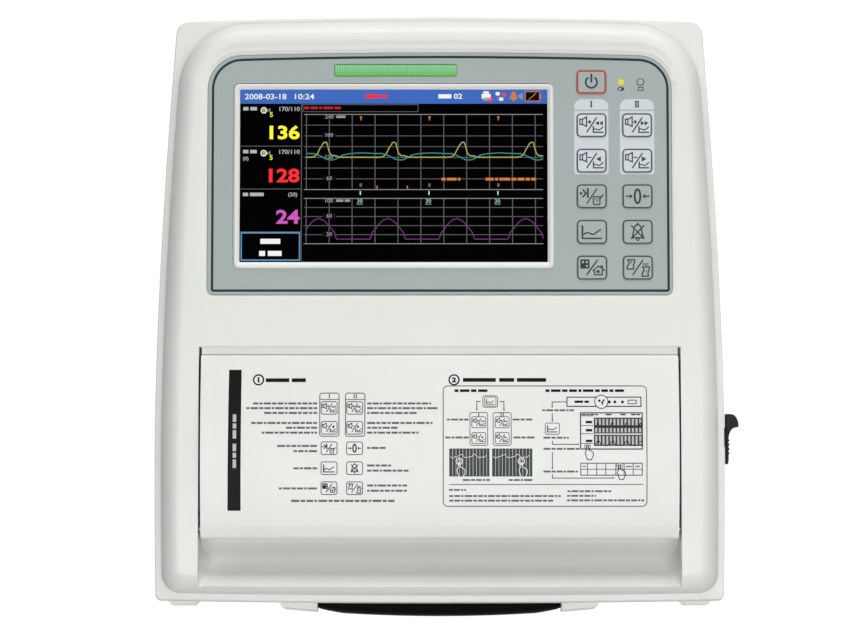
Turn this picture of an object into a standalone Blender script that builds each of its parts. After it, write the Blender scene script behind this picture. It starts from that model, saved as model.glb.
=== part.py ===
"""A desktop cardiotocograph: a wedge-shaped monitor with a touch screen, keys and a strip printer.

Lengths are metres. The front is a flat face that slopes up from the handle to the rear. On it, u runs across,
v runs up the face from the lower flange edge, and w stands out of it. Pieces in the base use x, y and z.
"""

import math

import bmesh
import bpy
from mathutils import Matrix, Vector

# Slope of the face, and its place where the bay ends and the panel begins
SLOPE = math.radians(8)
BAY_TOP_V = 0.1275

# Screen
SCREEN_WIDTH = 0.15408
SCREEN_HEIGHT = 0.08592
FRAME_BORDER = 0.0031
FRAME_RADIUS = 0.0025
FRAME_SINK = 0.0003
FRAME_CHAMFER = 0.0009
FRAME_BEVEL = 0.0021
WINDOW_DEPTH = 0.0035
GLASS_BORDER = 0.0031
GLASS_THICKNESS = 0.0014
MODULE_BORDER = 0.0055
MODULE_THICKNESS = 0.0065
BRACKET_BORDER = 0.007
BRACKET_THICKNESS = 0.0012
BRACKET_POST_RADIUS = 0.003
BRACKET_POST_BORDER = 0.004
BRACKET_POST_INSET = 0.00296
BRACKET_POST_RISE = SCREEN_HEIGHT / 2 - BRACKET_POST_INSET

# Control panel
SCREEN_LEFT_BORDER = 0.01581
KEY_AREA_WIDTH = 0.06261
OVERLAY_HALF_WIDTH = (SCREEN_LEFT_BORDER + SCREEN_WIDTH + KEY_AREA_WIDTH) / 2
SCREEN_LOW_BORDER = 0.01724
SCREEN_HIGH_BORDER = 0.01964
PANEL_TO_BAY = 0.0263
OVERLAY_LOW = BAY_TOP_V + PANEL_TO_BAY
OVERLAY_HIGH = OVERLAY_LOW + SCREEN_LOW_BORDER + SCREEN_HEIGHT + SCREEN_HIGH_BORDER
SCREEN_U = SCREEN_LEFT_BORDER + SCREEN_WIDTH / 2 - OVERLAY_HALF_WIDTH
SCREEN_V = OVERLAY_LOW + SCREEN_LOW_BORDER + SCREEN_HEIGHT / 2
OVERLAY_ARCH = 0.0019
OVERLAY_TOP_RADIUS = 0.0166
OVERLAY_BOTTOM_RADIUS = 0.003
OVERLAY_SINK = 0.0009
OVERLAY_THICKNESS = 0.0012
RECESS_BORDER = 0.003
RECESS_CHAMFER_DEPTH = 0.0013
RECESS_TOP_STEP = 0.0042
RECESS_TOP_STEP_DEPTH = 0.0007

# Keys
KEY_WIDTH = 0.0148
KEY_HEIGHT = 0.0119
KEY_RADIUS = 0.0022
KEY_PROUD = 0.0004
KEY_EDGE = 0.0004
KEY_FLANGE_BORDER = 0.0011
KEY_FLANGE_THICKNESS = 0.0012
KEY_TRAVEL = 0.0005
KEY_RIGHT_BORDER = 0.01705
KEY_PITCH_U = 0.0229
KEY_RIGHT_U = OVERLAY_HALF_WIDTH - KEY_RIGHT_BORDER
KEY_LEFT_U = KEY_RIGHT_U - KEY_PITCH_U
POWER_KEY_TOP_BORDER = 0.0156
POWER_KEY_SPACE = 0.0219
LAST_KEY_LOW_BORDER = 0.0135
POWER_KEY_V = OVERLAY_HIGH - POWER_KEY_TOP_BORDER
KEY_FIRST_ROW_V = POWER_KEY_V - POWER_KEY_SPACE
KEY_PITCH_V = (KEY_FIRST_ROW_V - OVERLAY_LOW - LAST_KEY_LOW_BORDER) / 4
KEY_NAMES = (
    ("key_volume_up_1", "key_volume_up_2"),
    ("key_volume_down_1", "key_volume_down_2"),
    ("key_mark", "key_zero"),
    ("key_trend", "key_alarm_silence"),
    ("key_home", "key_print"),
)
LED_V = POWER_KEY_V
POWER_LED_SPACE = 0.015
POWER_LED_U = KEY_LEFT_U + POWER_LED_SPACE
LED_PITCH = 0.0097
BATTERY_LED_U = POWER_LED_U + LED_PITCH
LED_RADIUS = 0.0015
LAMP_WIDTH = 0.0614
LAMP_HEIGHT = 0.0058
LAMP_SHIFT = 0.0013
LAMP_TOP_BORDER = 0.0096
LAMP_U = SCREEN_U + LAMP_SHIFT
LAMP_V = OVERLAY_HIGH - LAMP_TOP_BORDER
LAMP_RADIUS = 0.0008
LAMP_PROUD = 0.0003
KEY_BOARD_BORDER = 0.0023
KEY_BOARD_THICKNESS = 0.0016
KEY_POST_RADIUS = 0.002

# Case
CASE_SIDE_BORDER = 0.02855
FACE_TOP_BORDER = 0.0198
CASE_HALF = OVERLAY_HALF_WIDTH + CASE_SIDE_BORDER
CASE_WIDTH = 2 * CASE_HALF
FACE_LENGTH = OVERLAY_HIGH + FACE_TOP_BORDER
WIDEST_V = 0.085
TOP_TAPER = 0.0105
TAPER_POWER = 1.6
BOTTOM_TAPER = 0.0009
TOP_ARCH = 0.0025
BOTTOM_BOW = 0.0013
SKIRT_DRAFT = 0.0013
FLANGE_WIDTH = 0.0036
FLANGE_DEPTH = 0.0134
FLANGE_ROUND = 0.0006
PILLOW_WIDTH = 0.0105
PARTING_DEPTH = 0.027
OUTER_TOP_RADIUS = 0.0065
OUTER_BOTTOM_RADIUS = 0.003
PILLOW_TOP_RADIUS = 0.031
PILLOW_BOTTOM_RADIUS = 0.010
FACE_TOP_RADIUS = 0.025
FACE_BOTTOM_RADIUS = 0.004
WALL = 0.0026
FACE_WALL = 0.0028
PAD_DEPTH = 0.005
PAD_BORDER = 0.004
GAP = 0.0003
OVERRUN = 0.004
CORNER_STEPS = 6
HIDDEN_CORNER_STEPS = 3
PILLOW_STEPS = 5
SIDE_SHARES = (0.0, 0.2, 0.4, 0.6, 0.8, 1.0)
EDGE_SHARES = (0.5, 0.0, -0.5)
CASE_LOW_V = -SKIRT_DRAFT
CASE_HIGH_V = FACE_LENGTH + SKIRT_DRAFT
REAR_Y = CASE_HIGH_V * math.cos(SLOPE) + PARTING_DEPTH * math.sin(SLOPE)
FRONT_WALL_Y = CASE_LOW_V * math.cos(SLOPE) + PARTING_DEPTH * math.sin(SLOPE)

# Rear case
WALL_DRAFT = 0.0015
BASE_ROUND = 0.004
BASE_STEPS = 3
FOOT_HEIGHT = 0.004
BUMPER_SIDE_BORDER = 0.0068
BUMPER_WIDTH = 0.016
BUMPER_OUTER = CASE_HALF - BUMPER_SIDE_BORDER
BUMPER_INNER = BUMPER_OUTER - BUMPER_WIDTH
BUMPER_REACH = 0.0005
BUMPER_CHAMFER = 0.002
BUMPER_HEIGHT = 0.005

# Handle
HANDLE_REACH = 0.0028
HANDLE_BOW = 0.0039
LUG_HALF_SPAN = 0.079
GRIP_HALF_SPAN = 0.062
HANDLE_SIDE = 0.013
HANDLE_CORNER = 0.0042
HANDLE_LOW = 0.0075
CORE_SIDE = 0.007
POCKET_HALF_WIDTH = 0.066
POCKET_DEPTH = 0.0215
POCKET_SPARE = 0.001
POCKET_ROOF = HANDLE_LOW + HANDLE_SIDE + POCKET_SPARE
WALL_OVER_POCKET = 0.0047114
ORIGIN_HEIGHT = POCKET_ROOF + WALL_OVER_POCKET + PARTING_DEPTH
LUG_FLARE = 0.002
LUG_ROOT = 0.0065
GRIP_STATIONS = 10
GRIP_END_SHARE = 0.8

# Paper bay and door
BAY_SIDE_BORDER = 0.0245
BAY_HALF_WIDTH = CASE_HALF - BAY_SIDE_BORDER
BAY_WALL_DEPTH = 0.0226
CREST_V = 0.0082
CREST_DEPTH = 0.0023
TROUGH_LENGTH = 0.0235
TROUGH_DEPTH = 0.0175
TROUGH_WALL = 0.0027
TROUGH_STEPS = 8
BAY_LIP_DEPTH = 0.0055
BAY_SHELF_LENGTH = 0.0024
BAY_SHELF_V = BAY_TOP_V - BAY_SHELF_LENGTH
BAY_SHELF_DEPTH = 0.0035
BAY_LIP_RIB = 0.0025
DOOR_SIDE_GAP = 0.0009
DOOR_TO_CREST = 0.0238
DOOR_LOW_V = CREST_V + DOOR_TO_CREST
PAPER_SLOT = 0.0037
DOOR_HIGH_V = BAY_TOP_V - PAPER_SLOT
DOOR_CROWN = 0.0036
DOOR_EDGE_SINK = 0.0008
DOOR_LIP_LENGTH = 0.0062
DOOR_LIP_V = DOOR_LOW_V + DOOR_LIP_LENGTH
DOOR_LIP_DEPTH = 0.0075
DOOR_TOP_ROUND = 0.0016
DOOR_WALL = 0.0026
DOOR_STEPS = 10
HINGE_INSET = 0.005
HINGE_V = DOOR_LOW_V + HINGE_INSET
HINGE_DEPTH = 0.0085
PIN_RADIUS = 0.002
PIN_HEAD_RADIUS = 0.0035
PIN_HEAD_THICKNESS = 0.0012
EAR_RADIUS = 0.0046
EAR_THICKNESS = 0.005
EAR_INSET = 0.0008
EAR_STEPS = 8

# Printer
PLATEN_INSET = 0.0055
PLATEN_V = DOOR_HIGH_V - PLATEN_INSET
PLATEN_DEPTH = 0.0112
PLATEN_RADIUS = 0.006
PLATEN_HALF_LENGTH = 0.0765
SHAFT_RADIUS = 0.0025
SHAFT_END_SPARE = 0.0006
ARM_RADIUS = 0.0062
ARM_THICKNESS = 0.0034
ARM_CLEARANCE = 0.0031
ARM_STEPS = 8
BEARING_RADIUS = 0.005
BEARING_WIDTH = 0.004
GEAR_MODULE = 0.0007
GEAR_WIDTH = 0.004
PRESSURE_ANGLE = math.radians(20)
GEAR_BACKLASH_SHARE = 0.08
ADDENDUM_SHARE = 0.9
DEDENDUM_SHARE = 1.2
PLATEN_TEETH = 16
IDLER_TEETH = 20
PINION_TEETH = 10
CENTRE_SLACK = 0.0001
CHEEK_THICKNESS = 0.0012
CHEEK_REACH = 0.0103
CHEEK_FRONT_V = PLATEN_V - CHEEK_REACH
CHASSIS_TOP_DEPTH = 0.006
CHASSIS_REACH = 0.0147
CHASSIS_BACK_V = PLATEN_V + CHASSIS_REACH
CHASSIS_FLANGE = 0.0064
HEAD_END = 0.0025
HEAD_HALF_LENGTH = PLATEN_HALF_LENGTH + HEAD_END
HEAD_LOW_DEPTH = 0.019
HEAD_CHAMFER = 0.0015
IDLER_PIN_RADIUS = 0.002
IDLER_PIN_HEAD = 0.0032
IDLER_PIN_HEAD_THICKNESS = 0.001
MOTOR_RADIUS = 0.0125
MOTOR_LENGTH = 0.014
MOTOR_SHAFT_RADIUS = 0.001
MOTOR_SHAFT_DEPTH = 0.006
TRAY_HALF_WIDTH = PLATEN_HALF_LENGTH
TRAY_WALL = 0.002
TRAY_PLATE = 0.0024
TRAY_DEPTH = 0.040
TRAY_FRONT_INSET = 0.002
TRAY_FRONT_V = DOOR_LOW_V + TRAY_FRONT_INSET
TRAY_REACH = 0.0062
TRAY_BACK_V = PLATEN_V + TRAY_REACH
DRIVE_NOTCH_START = 0.0065
DRIVE_NOTCH_WIDTH = 0.024
DRIVE_NOTCH_INNER = PLATEN_HALF_LENGTH + DRIVE_NOTCH_START
DRIVE_NOTCH_OUTER = DRIVE_NOTCH_INNER + DRIVE_NOTCH_WIDTH
DRIVE_NOTCH_REACH = 0.0113
DRIVE_NOTCH_V = PLATEN_V - DRIVE_NOTCH_REACH

# Door latch
LEVER_REACH = 0.0064
LEVER_TO_BAY_TOP = 0.0585
LEVER_LENGTH = 0.0255
LEVER_LOW_V = BAY_TOP_V - LEVER_TO_BAY_TOP
LEVER_HIGH_V = LEVER_LOW_V + LEVER_LENGTH
LEVER_TOP_DEPTH = 0.0165
LEVER_HEIGHT = 0.008
LEVER_BODY = 0.0012
LEVER_RIB = 0.0008
LEVER_RIB_COUNT = 4
LEVER_RIB_PITCH = 0.0022
LEVER_RIB_START = 0.0058
LEVER_FIRST_RIB_V = LEVER_LOW_V + LEVER_RIB_START
LEVER_STEM_START = 0.009
LEVER_STEM_LENGTH = 0.0095
LEVER_STEM_LOW_V = LEVER_LOW_V + LEVER_STEM_START
LEVER_STEM_HIGH_V = LEVER_STEM_LOW_V + LEVER_STEM_LENGTH
LEVER_STEM_HEIGHT = 0.004
LEVER_TRAVEL = 0.006
HOOK_SHARES = ((0.45, 0.90), (0.95, 0.77), (1.0, 0.73), (0.86, 0.69), (0.42, 0.67), (0.22, 0.60))
SLIDE_SIDE_BORDER = 0.0093
SLIDE_WIDTH = 0.0045
SLIDE_OUTER_U = CASE_HALF - SLIDE_SIDE_BORDER
SLIDE_INNER_U = SLIDE_OUTER_U - SLIDE_WIDTH
SLIDE_START = 0.005
SLIDE_LOW_V = LEVER_LOW_V + SLIDE_START
SLIDE_DEPTH = 0.0185
SLIDE_THICKNESS = 0.0025
HOOK_REACH = 0.0153
HOOK_END_U = BAY_HALF_WIDTH - HOOK_REACH
HOOK_WIDTH = 0.005
CATCH_TO_DOOR_TOP = 0.0024
CATCH_BACK_V = DOOR_HIGH_V - CATCH_TO_DOOR_TOP
CATCH_THICKNESS = 0.0039
CATCH_NOTCH = 0.002
CATCH_SIDE_BORDER = 0.0143
CATCH_U = BAY_HALF_WIDTH - CATCH_SIDE_BORDER
CATCH_WIDTH = 0.006
CATCH_LEDGE = 0.0012
HOOK_CLEARANCE = 0.0004
SPRING_RADIUS = 0.0018
SPRING_WIRE = 0.0004
SPRING_TURNS = 5
SPRING_LENGTH = 0.0135
SPRING_TURN_POINTS = 8
SPRING_RIB_THICKNESS = 0.002
SPRING_RIB_HALF_WIDTH = 0.004
GUIDE_START = 0.0035
GUIDE_LOW_V = LEVER_HIGH_V + GUIDE_START
GUIDE_LENGTH = 0.010

# Screws and feet
POST_RADIUS = 0.004
POST_TOP_DEPTH = 0.0045
UPPER_POST_SIDE_BORDER = 0.0268
UPPER_POST_U = CASE_HALF - UPPER_POST_SIDE_BORDER
UPPER_POST_TOP_BORDER = 0.0046
UPPER_POST_V = OVERLAY_HIGH - UPPER_POST_TOP_BORDER
LOWER_POST_SIDE_BORDER = 0.0123
LOWER_POST_U = CASE_HALF - LOWER_POST_SIDE_BORDER
LOWER_POST_V = 0.022
BOSS_RADIUS = 0.0058
COUNTERBORE_RADIUS = 0.0037
SCREW_SEAT_DEPTH = 0.036
SCREW_SEAT_WALL = 0.003
SCREW_RADIUS = 0.0015
SCREW_HEAD_RADIUS = 0.0033
SCREW_HEAD_HEIGHT = 0.0024
SCREW_LENGTH = 0.016
SCREW_SLOT_WIDTH = 0.0009
SCREW_SLOT_DEPTH = 0.001
FOOT_RADIUS = 0.007
FOOT_SINK = 0.001
FOOT_CHAMFER = 0.001
FOOT_SIDE_BORDER = 0.0268
FOOT_X = CASE_HALF - FOOT_SIDE_BORDER
FOOT_FRONT_Y = 0.052
FOOT_REAR_BORDER = 0.03656
FOOT_REAR_Y = REAR_Y - FOOT_REAR_BORDER

# Boards, battery and speaker
BOARD_HALF_WIDTH = 0.0850
BOARD_X = -0.009
BOARD_REAR_BORDER = 0.02856
BOARD_REAR_Y = REAR_Y - BOARD_REAR_BORDER
BOARD_LENGTH = 0.118
BOARD_FRONT_Y = BOARD_REAR_Y - BOARD_LENGTH
BOARD_LOW_Z = 0.0334
BOARD_THICKNESS = 0.0016
BOARD_POST_RADIUS = 0.0035
BOARD_POST_BORDER = 0.005
CHIP_WIDTH = 0.024
CHIP_HEIGHT = 0.003
BATTERY_WIDTH = 0.105
BATTERY_LENGTH = 0.055
BATTERY_HEIGHT = 0.0198
BATTERY_X = 0.0475
BATTERY_REAR_BORDER = 0.10606
BATTERY_Y = REAR_Y - BATTERY_REAR_BORDER
BATTERY_ROUND = 0.003
COVER_BORDER = 0.003
COVER_THICKNESS = 0.0024
COVER_GRIP_LENGTH = 0.014
COVER_GRIP_DEPTH = 0.0012
COVER_GRIP_WIDTH = 0.003
SPEAKER_RADIUS = 0.020
SPEAKER_MAGNET_RADIUS = 0.011
SPEAKER_CONE_HEIGHT = 0.005
SPEAKER_HEIGHT = 0.014
SPEAKER_X = -0.062
SPEAKER_REAR_BORDER = 0.08356
SPEAKER_Y = REAR_Y - SPEAKER_REAR_BORDER
GRILLE_SLOTS = 6
GRILLE_PITCH = 0.005
GRILLE_WIDTH = 0.0022
GRILLE_LENGTH = 0.026

# Sockets
SOCKET_PITCH = 0.024
SOCKET_NAMES = ("us_socket_1", "us_socket_2", "toco_socket", "marker_socket")
SOCKET_PANEL_REAR_BORDER = 0.05256
SOCKET_PANEL_LENGTH = SOCKET_PITCH * len(SOCKET_NAMES)
SOCKET_PANEL_REAR_Y = REAR_Y - SOCKET_PANEL_REAR_BORDER
SOCKET_PANEL_FRONT_Y = SOCKET_PANEL_REAR_Y - SOCKET_PANEL_LENGTH
SOCKET_PANEL_LOW_Z = 0.018
SOCKET_PANEL_HIGH_Z = 0.044
SOCKET_PANEL_SINK = 0.0148
SOCKET_PANEL_X = CASE_HALF - SOCKET_PANEL_SINK
SOCKET_BODY_RADIUS = 0.007
SOCKET_FLANGE_RADIUS = 0.0095
SOCKET_FLANGE_THICKNESS = 0.0022
SOCKET_BARREL_RADIUS = 0.0078
SOCKET_BARREL_LENGTH = 0.004
SOCKET_BORE_RADIUS = 0.0056
SOCKET_BORE_DEPTH = 0.010
SOCKET_REAR_LENGTH = 0.008
PORT_PANEL_LEFT_X = -0.040
PORT_PANEL_RIGHT_X = 0.050
PORT_PANEL_SINK = 0.01156
PORT_PANEL_Y = REAR_Y - PORT_PANEL_SINK
PORT_PROUD = 0.001
PORT_DEPTH = 0.014
INLET_X = -0.025
INLET_SIDE = 0.011
INLET_BORE_RADIUS = 0.0032
INLET_PIN_RADIUS = 0.0009
LAN_X = 0.0045
LAN_WIDTH = 0.0160
LAN_HEIGHT = 0.0135
LAN_HOLE_WIDTH = 0.0118
LAN_HOLE_HEIGHT = 0.0084
LAN_HOLE_DEPTH = 0.011
USB_X = 0.034
USB_WIDTH = 0.0145
USB_HEIGHT = 0.0072
USB_HOLE_WIDTH = 0.0125
USB_HOLE_HEIGHT = 0.0051
USB_TONGUE_HEIGHT = 0.0018
USB_TONGUE_WIDTH = 0.0100
USB_HOLE_DEPTH = 0.0105

# Counts of sides on round pieces, and the angle that shows as an edge
ROLLER_SIDES = 24
ROUND_SIDES = 16
SMALL_SIDES = 12
KEY_CORNER_STEPS = 2
EDGE_ANGLE = math.radians(35)

# Colours
FINISHES = {
    "case_white": ((0.76, 0.77, 0.73), 0.45, 0.0),
    "door_white": ((0.80, 0.81, 0.77), 0.45, 0.0),
    "overlay_grey": ((0.37, 0.41, 0.40), 0.45, 0.0),
    "key_grey": ((0.42, 0.46, 0.45), 0.5, 0.0),
    "black_rubber": ((0.012, 0.012, 0.013), 0.7, 0.0),
    "black_plastic": ((0.015, 0.015, 0.016), 0.4, 0.0),
    "screen_glass": ((0.008, 0.008, 0.010), 0.1, 0.0),
    "lamp_green": ((0.22, 0.62, 0.30), 0.3, 0.0),
    "led_yellow": ((0.90, 0.84, 0.10), 0.3, 0.0),
    "led_clear": ((0.45, 0.48, 0.47), 0.3, 0.0),
    "board_green": ((0.02, 0.12, 0.05), 0.5, 0.0),
    "bare_steel": ((0.55, 0.55, 0.56), 0.35, 1.0),
    "aluminium": ((0.70, 0.70, 0.71), 0.4, 1.0),
    "platen_rubber": ((0.03, 0.03, 0.03), 0.8, 0.0),
    "gear_white": ((0.80, 0.79, 0.74), 0.4, 0.0),
    "battery_wrap": ((0.03, 0.06, 0.14), 0.4, 0.0),
    "socket_grey": ((0.16, 0.17, 0.18), 0.5, 0.0),
}

# Places that follow from the sizes above
CREASE_INSET = SKIRT_DRAFT + FLANGE_WIDTH
FLAT_INSET = CREASE_INSET + PILLOW_WIDTH
BASE_TOP_Z = FOOT_HEIGHT + WALL
SEAT_DEPTH = OVERLAY_SINK + OVERLAY_THICKNESS
TROUGH_END_V = CREST_V + TROUGH_LENGTH
ARM_INNER_U = PLATEN_HALF_LENGTH + ARM_CLEARANCE + GAP
GEAR_INNER_U = ARM_INNER_U + ARM_THICKNESS + GAP + GAP * 3
GEAR_OUTER_U = GEAR_INNER_U + GEAR_WIDTH
CHEEK_INNER_U = GEAR_OUTER_U + GAP * 4
CHEEK_OUTER_U = CHEEK_INNER_U + CHEEK_THICKNESS
IDLER_DEPTH = PLATEN_DEPTH + (PLATEN_TEETH + IDLER_TEETH) * GEAR_MODULE / 2 + CENTRE_SLACK
PINION_V = PLATEN_V + (IDLER_TEETH + PINION_TEETH) * GEAR_MODULE / 2 + CENTRE_SLACK
HEAD_FRONT_V = PLATEN_V + PLATEN_RADIUS + GAP
KEY_BACK_DEPTH = PAD_DEPTH + GAP + KEY_FLANGE_THICKNESS
KEY_BOARD_TOP_DEPTH = KEY_BACK_DEPTH + KEY_TRAVEL + GAP
GLASS_TOP_DEPTH = WINDOW_DEPTH + GAP
MODULE_TOP_DEPTH = GLASS_TOP_DEPTH + GLASS_THICKNESS + GAP
BRACKET_TOP_DEPTH = MODULE_TOP_DEPTH + MODULE_THICKNESS + GAP
HOOK_LOW_V = CATCH_BACK_V + HOOK_CLEARANCE
SLIDE_HIGH_V = HOOK_LOW_V + HOOK_WIDTH
SPRING_U = (SLIDE_INNER_U + SLIDE_OUTER_U) / 2
SPRING_DEPTH = SLIDE_DEPTH + SLIDE_THICKNESS / 2
SPRING_SEAT_V = SLIDE_HIGH_V + GAP + SPRING_LENGTH + GAP
PANEL_MID_Z = (SOCKET_PANEL_LOW_Z + SOCKET_PANEL_HIGH_Z) / 2


# Scene helpers


def clear_scene():
    for old in list(bpy.data.objects):
        bpy.data.objects.remove(old)


def make_finish(name):
    colour, roughness, metallic = FINISHES[name]
    finish = bpy.data.materials.new(name)
    finish.use_nodes = True
    shader = finish.node_tree.nodes["Principled BSDF"]
    shader.inputs["Base Color"].default_value = (*colour, 1)
    shader.inputs["Roughness"].default_value = roughness
    shader.inputs["Metallic"].default_value = metallic
    return finish


def make_empty(name, location, parent=None, tilt=0.0):
    empty = bpy.data.objects.new(name, None)
    bpy.context.collection.objects.link(empty)
    empty.parent = parent
    empty.location = location
    empty.rotation_euler = (tilt, 0, 0)
    return empty


def make_object(name, shape, parent, origin):
    """Turns a bmesh given in the parent's frame into an object whose own origin is at origin."""
    bmesh.ops.recalc_face_normals(shape, faces=shape.faces)
    bmesh.ops.translate(shape, verts=shape.verts, vec=-Vector(origin))
    mesh = bpy.data.meshes.new(name)
    shape.to_mesh(mesh)
    shape.free()
    made = bpy.data.objects.new(name, mesh)
    bpy.context.collection.objects.link(made)
    made.parent = parent
    made.location = origin
    return made


def add_piece(name, shape, finish, parent, origin=(0, 0, 0)):
    made = make_object(name, shape, parent, origin)
    made.data.materials.append(FINISH[finish])
    made.data.shade_smooth()
    made.data.set_sharp_from_angle(angle=EDGE_ANGLE)
    return made


def combine(target, shape, parent, operation, label):
    """Cuts shape from target, or joins it on, with a helper object that isn't rendered."""
    helper = make_object(f"{target.name}_{label}", shape, parent, (0, 0, 0))
    helper.hide_render = True
    helper.display_type = "WIRE"
    change = target.modifiers.new(label, "BOOLEAN")
    change.operation = operation
    change.solver = "EXACT"
    change.object = helper
    return helper


def cut(target, shape, parent, label):
    return combine(target, shape, parent, "DIFFERENCE", label)


def join(target, shape, parent, label):
    return combine(target, shape, parent, "UNION", label)


# Outlines


def circle(radius, sides, centre=(0, 0), start=0.0, sweep=2 * math.pi):
    closed = sweep >= 2 * math.pi
    count = sides if closed else sides + 1
    turn = [start + sweep * k / sides for k in range(count)]
    return [(centre[0] + radius * math.cos(t), centre[1] + radius * math.sin(t)) for t in turn]


def rounded(corners, steps):
    """The outline through corners (a, b, radius), with each radius as an arc of this many steps."""
    outline = []
    for k, (a, b, radius) in enumerate(corners):
        here = Vector((a, b))
        if radius <= 0:
            outline.append((a, b))
            continue
        back = (Vector(corners[k - 1][:2]) - here).normalized()
        ahead = (Vector(corners[(k + 1) % len(corners)][:2]) - here).normalized()
        half = back.angle(ahead) / 2
        centre = here + (back + ahead).normalized() * (radius / math.sin(half))
        first = back * (radius / math.tan(half)) + here - centre
        last = ahead * (radius / math.tan(half)) + here - centre
        turn = first.angle_signed(last)
        for step in range(steps + 1):
            spoke = first.copy()
            spoke.rotate(Matrix.Rotation(-turn * step / steps, 2))
            outline.append((centre.x + spoke.x, centre.y + spoke.y))
    return outline


def rectangle(width, height, centre=(0, 0), radius=0.0, steps=KEY_CORNER_STEPS):
    left, right = centre[0] - width / 2, centre[0] + width / 2
    low, high = centre[1] - height / 2, centre[1] + height / 2
    corners = ((left, low), (right, low), (right, high), (left, high))
    return rounded([(a, b, radius) for a, b in corners], steps)


def case_half(v):
    """Half the width of the case at the parting line, at this place up the face."""
    if v < WIDEST_V:
        return CASE_HALF - BOTTOM_TAPER * ((WIDEST_V - v) / WIDEST_V) ** 2
    return CASE_HALF - TOP_TAPER * ((v - WIDEST_V) / (FACE_LENGTH - WIDEST_V)) ** TAPER_POWER


def case_outline(inset, top_radius, bottom_radius, steps=CORNER_STEPS):
    """The case seen square to its face, drawn in by inset all round."""
    low, high = CASE_LOW_V + inset, CASE_HIGH_V - inset
    low_half = case_half(low) - inset
    high_half = case_half(high) - inset
    side_low = low + BOTTOM_BOW + bottom_radius * 1.5
    side_high = high - TOP_ARCH - top_radius * 1.2
    corners = [(-low_half, low + BOTTOM_BOW, bottom_radius)]
    corners += [(-s * low_half, low + BOTTOM_BOW * s * s, 0) for s in EDGE_SHARES]
    corners.append((low_half, low + BOTTOM_BOW, bottom_radius))
    sides = [side_low + (side_high - side_low) * s for s in SIDE_SHARES]
    corners += [(case_half(v) - inset, v, 0) for v in sides]
    corners.append((high_half, high - TOP_ARCH, top_radius))
    corners += [(s * high_half, high - TOP_ARCH * s * s, 0) for s in EDGE_SHARES]
    corners.append((-high_half, high - TOP_ARCH, top_radius))
    corners += [(inset - case_half(v), v, 0) for v in reversed(sides)]
    return rounded(corners, steps)


def overlay_outline(grow, grow_top=None, steps=CORNER_STEPS):
    """The control panel's arched outline, larger all round by grow, and by grow_top at its upper edge."""
    over = grow if grow_top is None else grow_top
    half, low, high = OVERLAY_HALF_WIDTH + grow, OVERLAY_LOW - grow, OVERLAY_HIGH + over
    top_radius, bottom_radius = OVERLAY_TOP_RADIUS + grow, OVERLAY_BOTTOM_RADIUS + grow
    corners = [(-half, low, bottom_radius), (half, low, bottom_radius)]
    corners.append((half, high - OVERLAY_ARCH, top_radius))
    corners += [(s * half, high - OVERLAY_ARCH * s * s, 0) for s in EDGE_SHARES]
    corners.append((-half, high - OVERLAY_ARCH, top_radius))
    return rounded(corners, steps)


def gear_outline(teeth, phase):
    """Involute teeth, one of them centred on the angle phase."""
    pitch_radius = teeth * GEAR_MODULE / 2
    base_radius = pitch_radius * math.cos(PRESSURE_ANGLE)
    tip = pitch_radius + GEAR_MODULE * ADDENDUM_SHARE
    root = pitch_radius - GEAR_MODULE * DEDENDUM_SHARE
    half_pitch = math.pi / teeth / 2 * (1 - GEAR_BACKLASH_SHARE)

    def roll(radius):
        turn = math.acos(min(1, base_radius / radius))
        return math.tan(turn) - turn

    flank = []
    for radius in (max(root, base_radius), pitch_radius, tip):
        flank.append((radius, half_pitch + roll(pitch_radius) - roll(radius)))
    outline = []
    for tooth in range(teeth):
        middle = phase + 2 * math.pi * tooth / teeth
        sides = [(root, -flank[0][1])] if root < base_radius else []
        sides += [(radius, -spread) for radius, spread in flank]
        sides += [(radius, spread) for radius, spread in reversed(flank)]
        sides += [(root, flank[0][1])] if root < base_radius else []
        outline += [(r * math.cos(middle + a), r * math.sin(middle + a)) for r, a in sides]
    return outline


# Solids


def across(a, b, c):
    """Places an outline drawn in (v, w) and run along u."""
    return Vector((c, a, b))


def outward(a, b, c):
    """Places an outline drawn in (u, v) and run along w."""
    return Vector((a, b, c))


def along(a, b, c):
    """Places an outline drawn in (x, z) and run along y."""
    return Vector((a, c, b))


def add_loft(shape, rings):
    """Closes a run of rings, each the same number of points, into one solid."""
    rows = [[shape.verts.new(point) for point in ring] for ring in rings]
    count = len(rows[0])
    for low, high in zip(rows, rows[1:]):
        for k in range(count):
            after = (k + 1) % count
            shape.faces.new((low[k], low[after], high[after], high[k]))
    shape.faces.new(rows[0][::-1])
    shape.faces.new(rows[-1])
    return shape


def loft(rings):
    return add_loft(bmesh.new(), rings)


def stack(levels, place=outward, shape=None):
    """A solid through (outline, distance) levels."""
    rings = [[place(a, b, c) for a, b in outline] for outline, c in levels]
    return add_loft(shape or bmesh.new(), rings)


def prism(outline, low, high, place=outward, shape=None):
    return stack([(outline, low), (outline, high)], place, shape)


def box(low, high, shape=None):
    outline = ((low[0], low[1]), (high[0], low[1]), (high[0], high[1]), (low[0], high[1]))
    return prism(outline, low[2], high[2], outward, shape)


def turned(profile, centre, place, sides=ROUND_SIDES, shape=None):
    """A round solid from (radius, distance) steps about the line through centre."""
    return stack([(circle(radius, sides, centre), c) for radius, c in profile], place, shape)


def add_rod(radius, ends, centre, place, shape):
    """A plain pin or hole of few sides, added to a bmesh."""
    return turned([(radius, ends[0]), (radius, ends[1])], centre, place, SMALL_SIDES, shape)


def both_sides(make):
    """One bmesh with a solid for each side, from make(side, shape)."""
    shape = bmesh.new()
    for side in (-1, 1):
        make(side, shape)
    return shape


# Front cover


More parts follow.
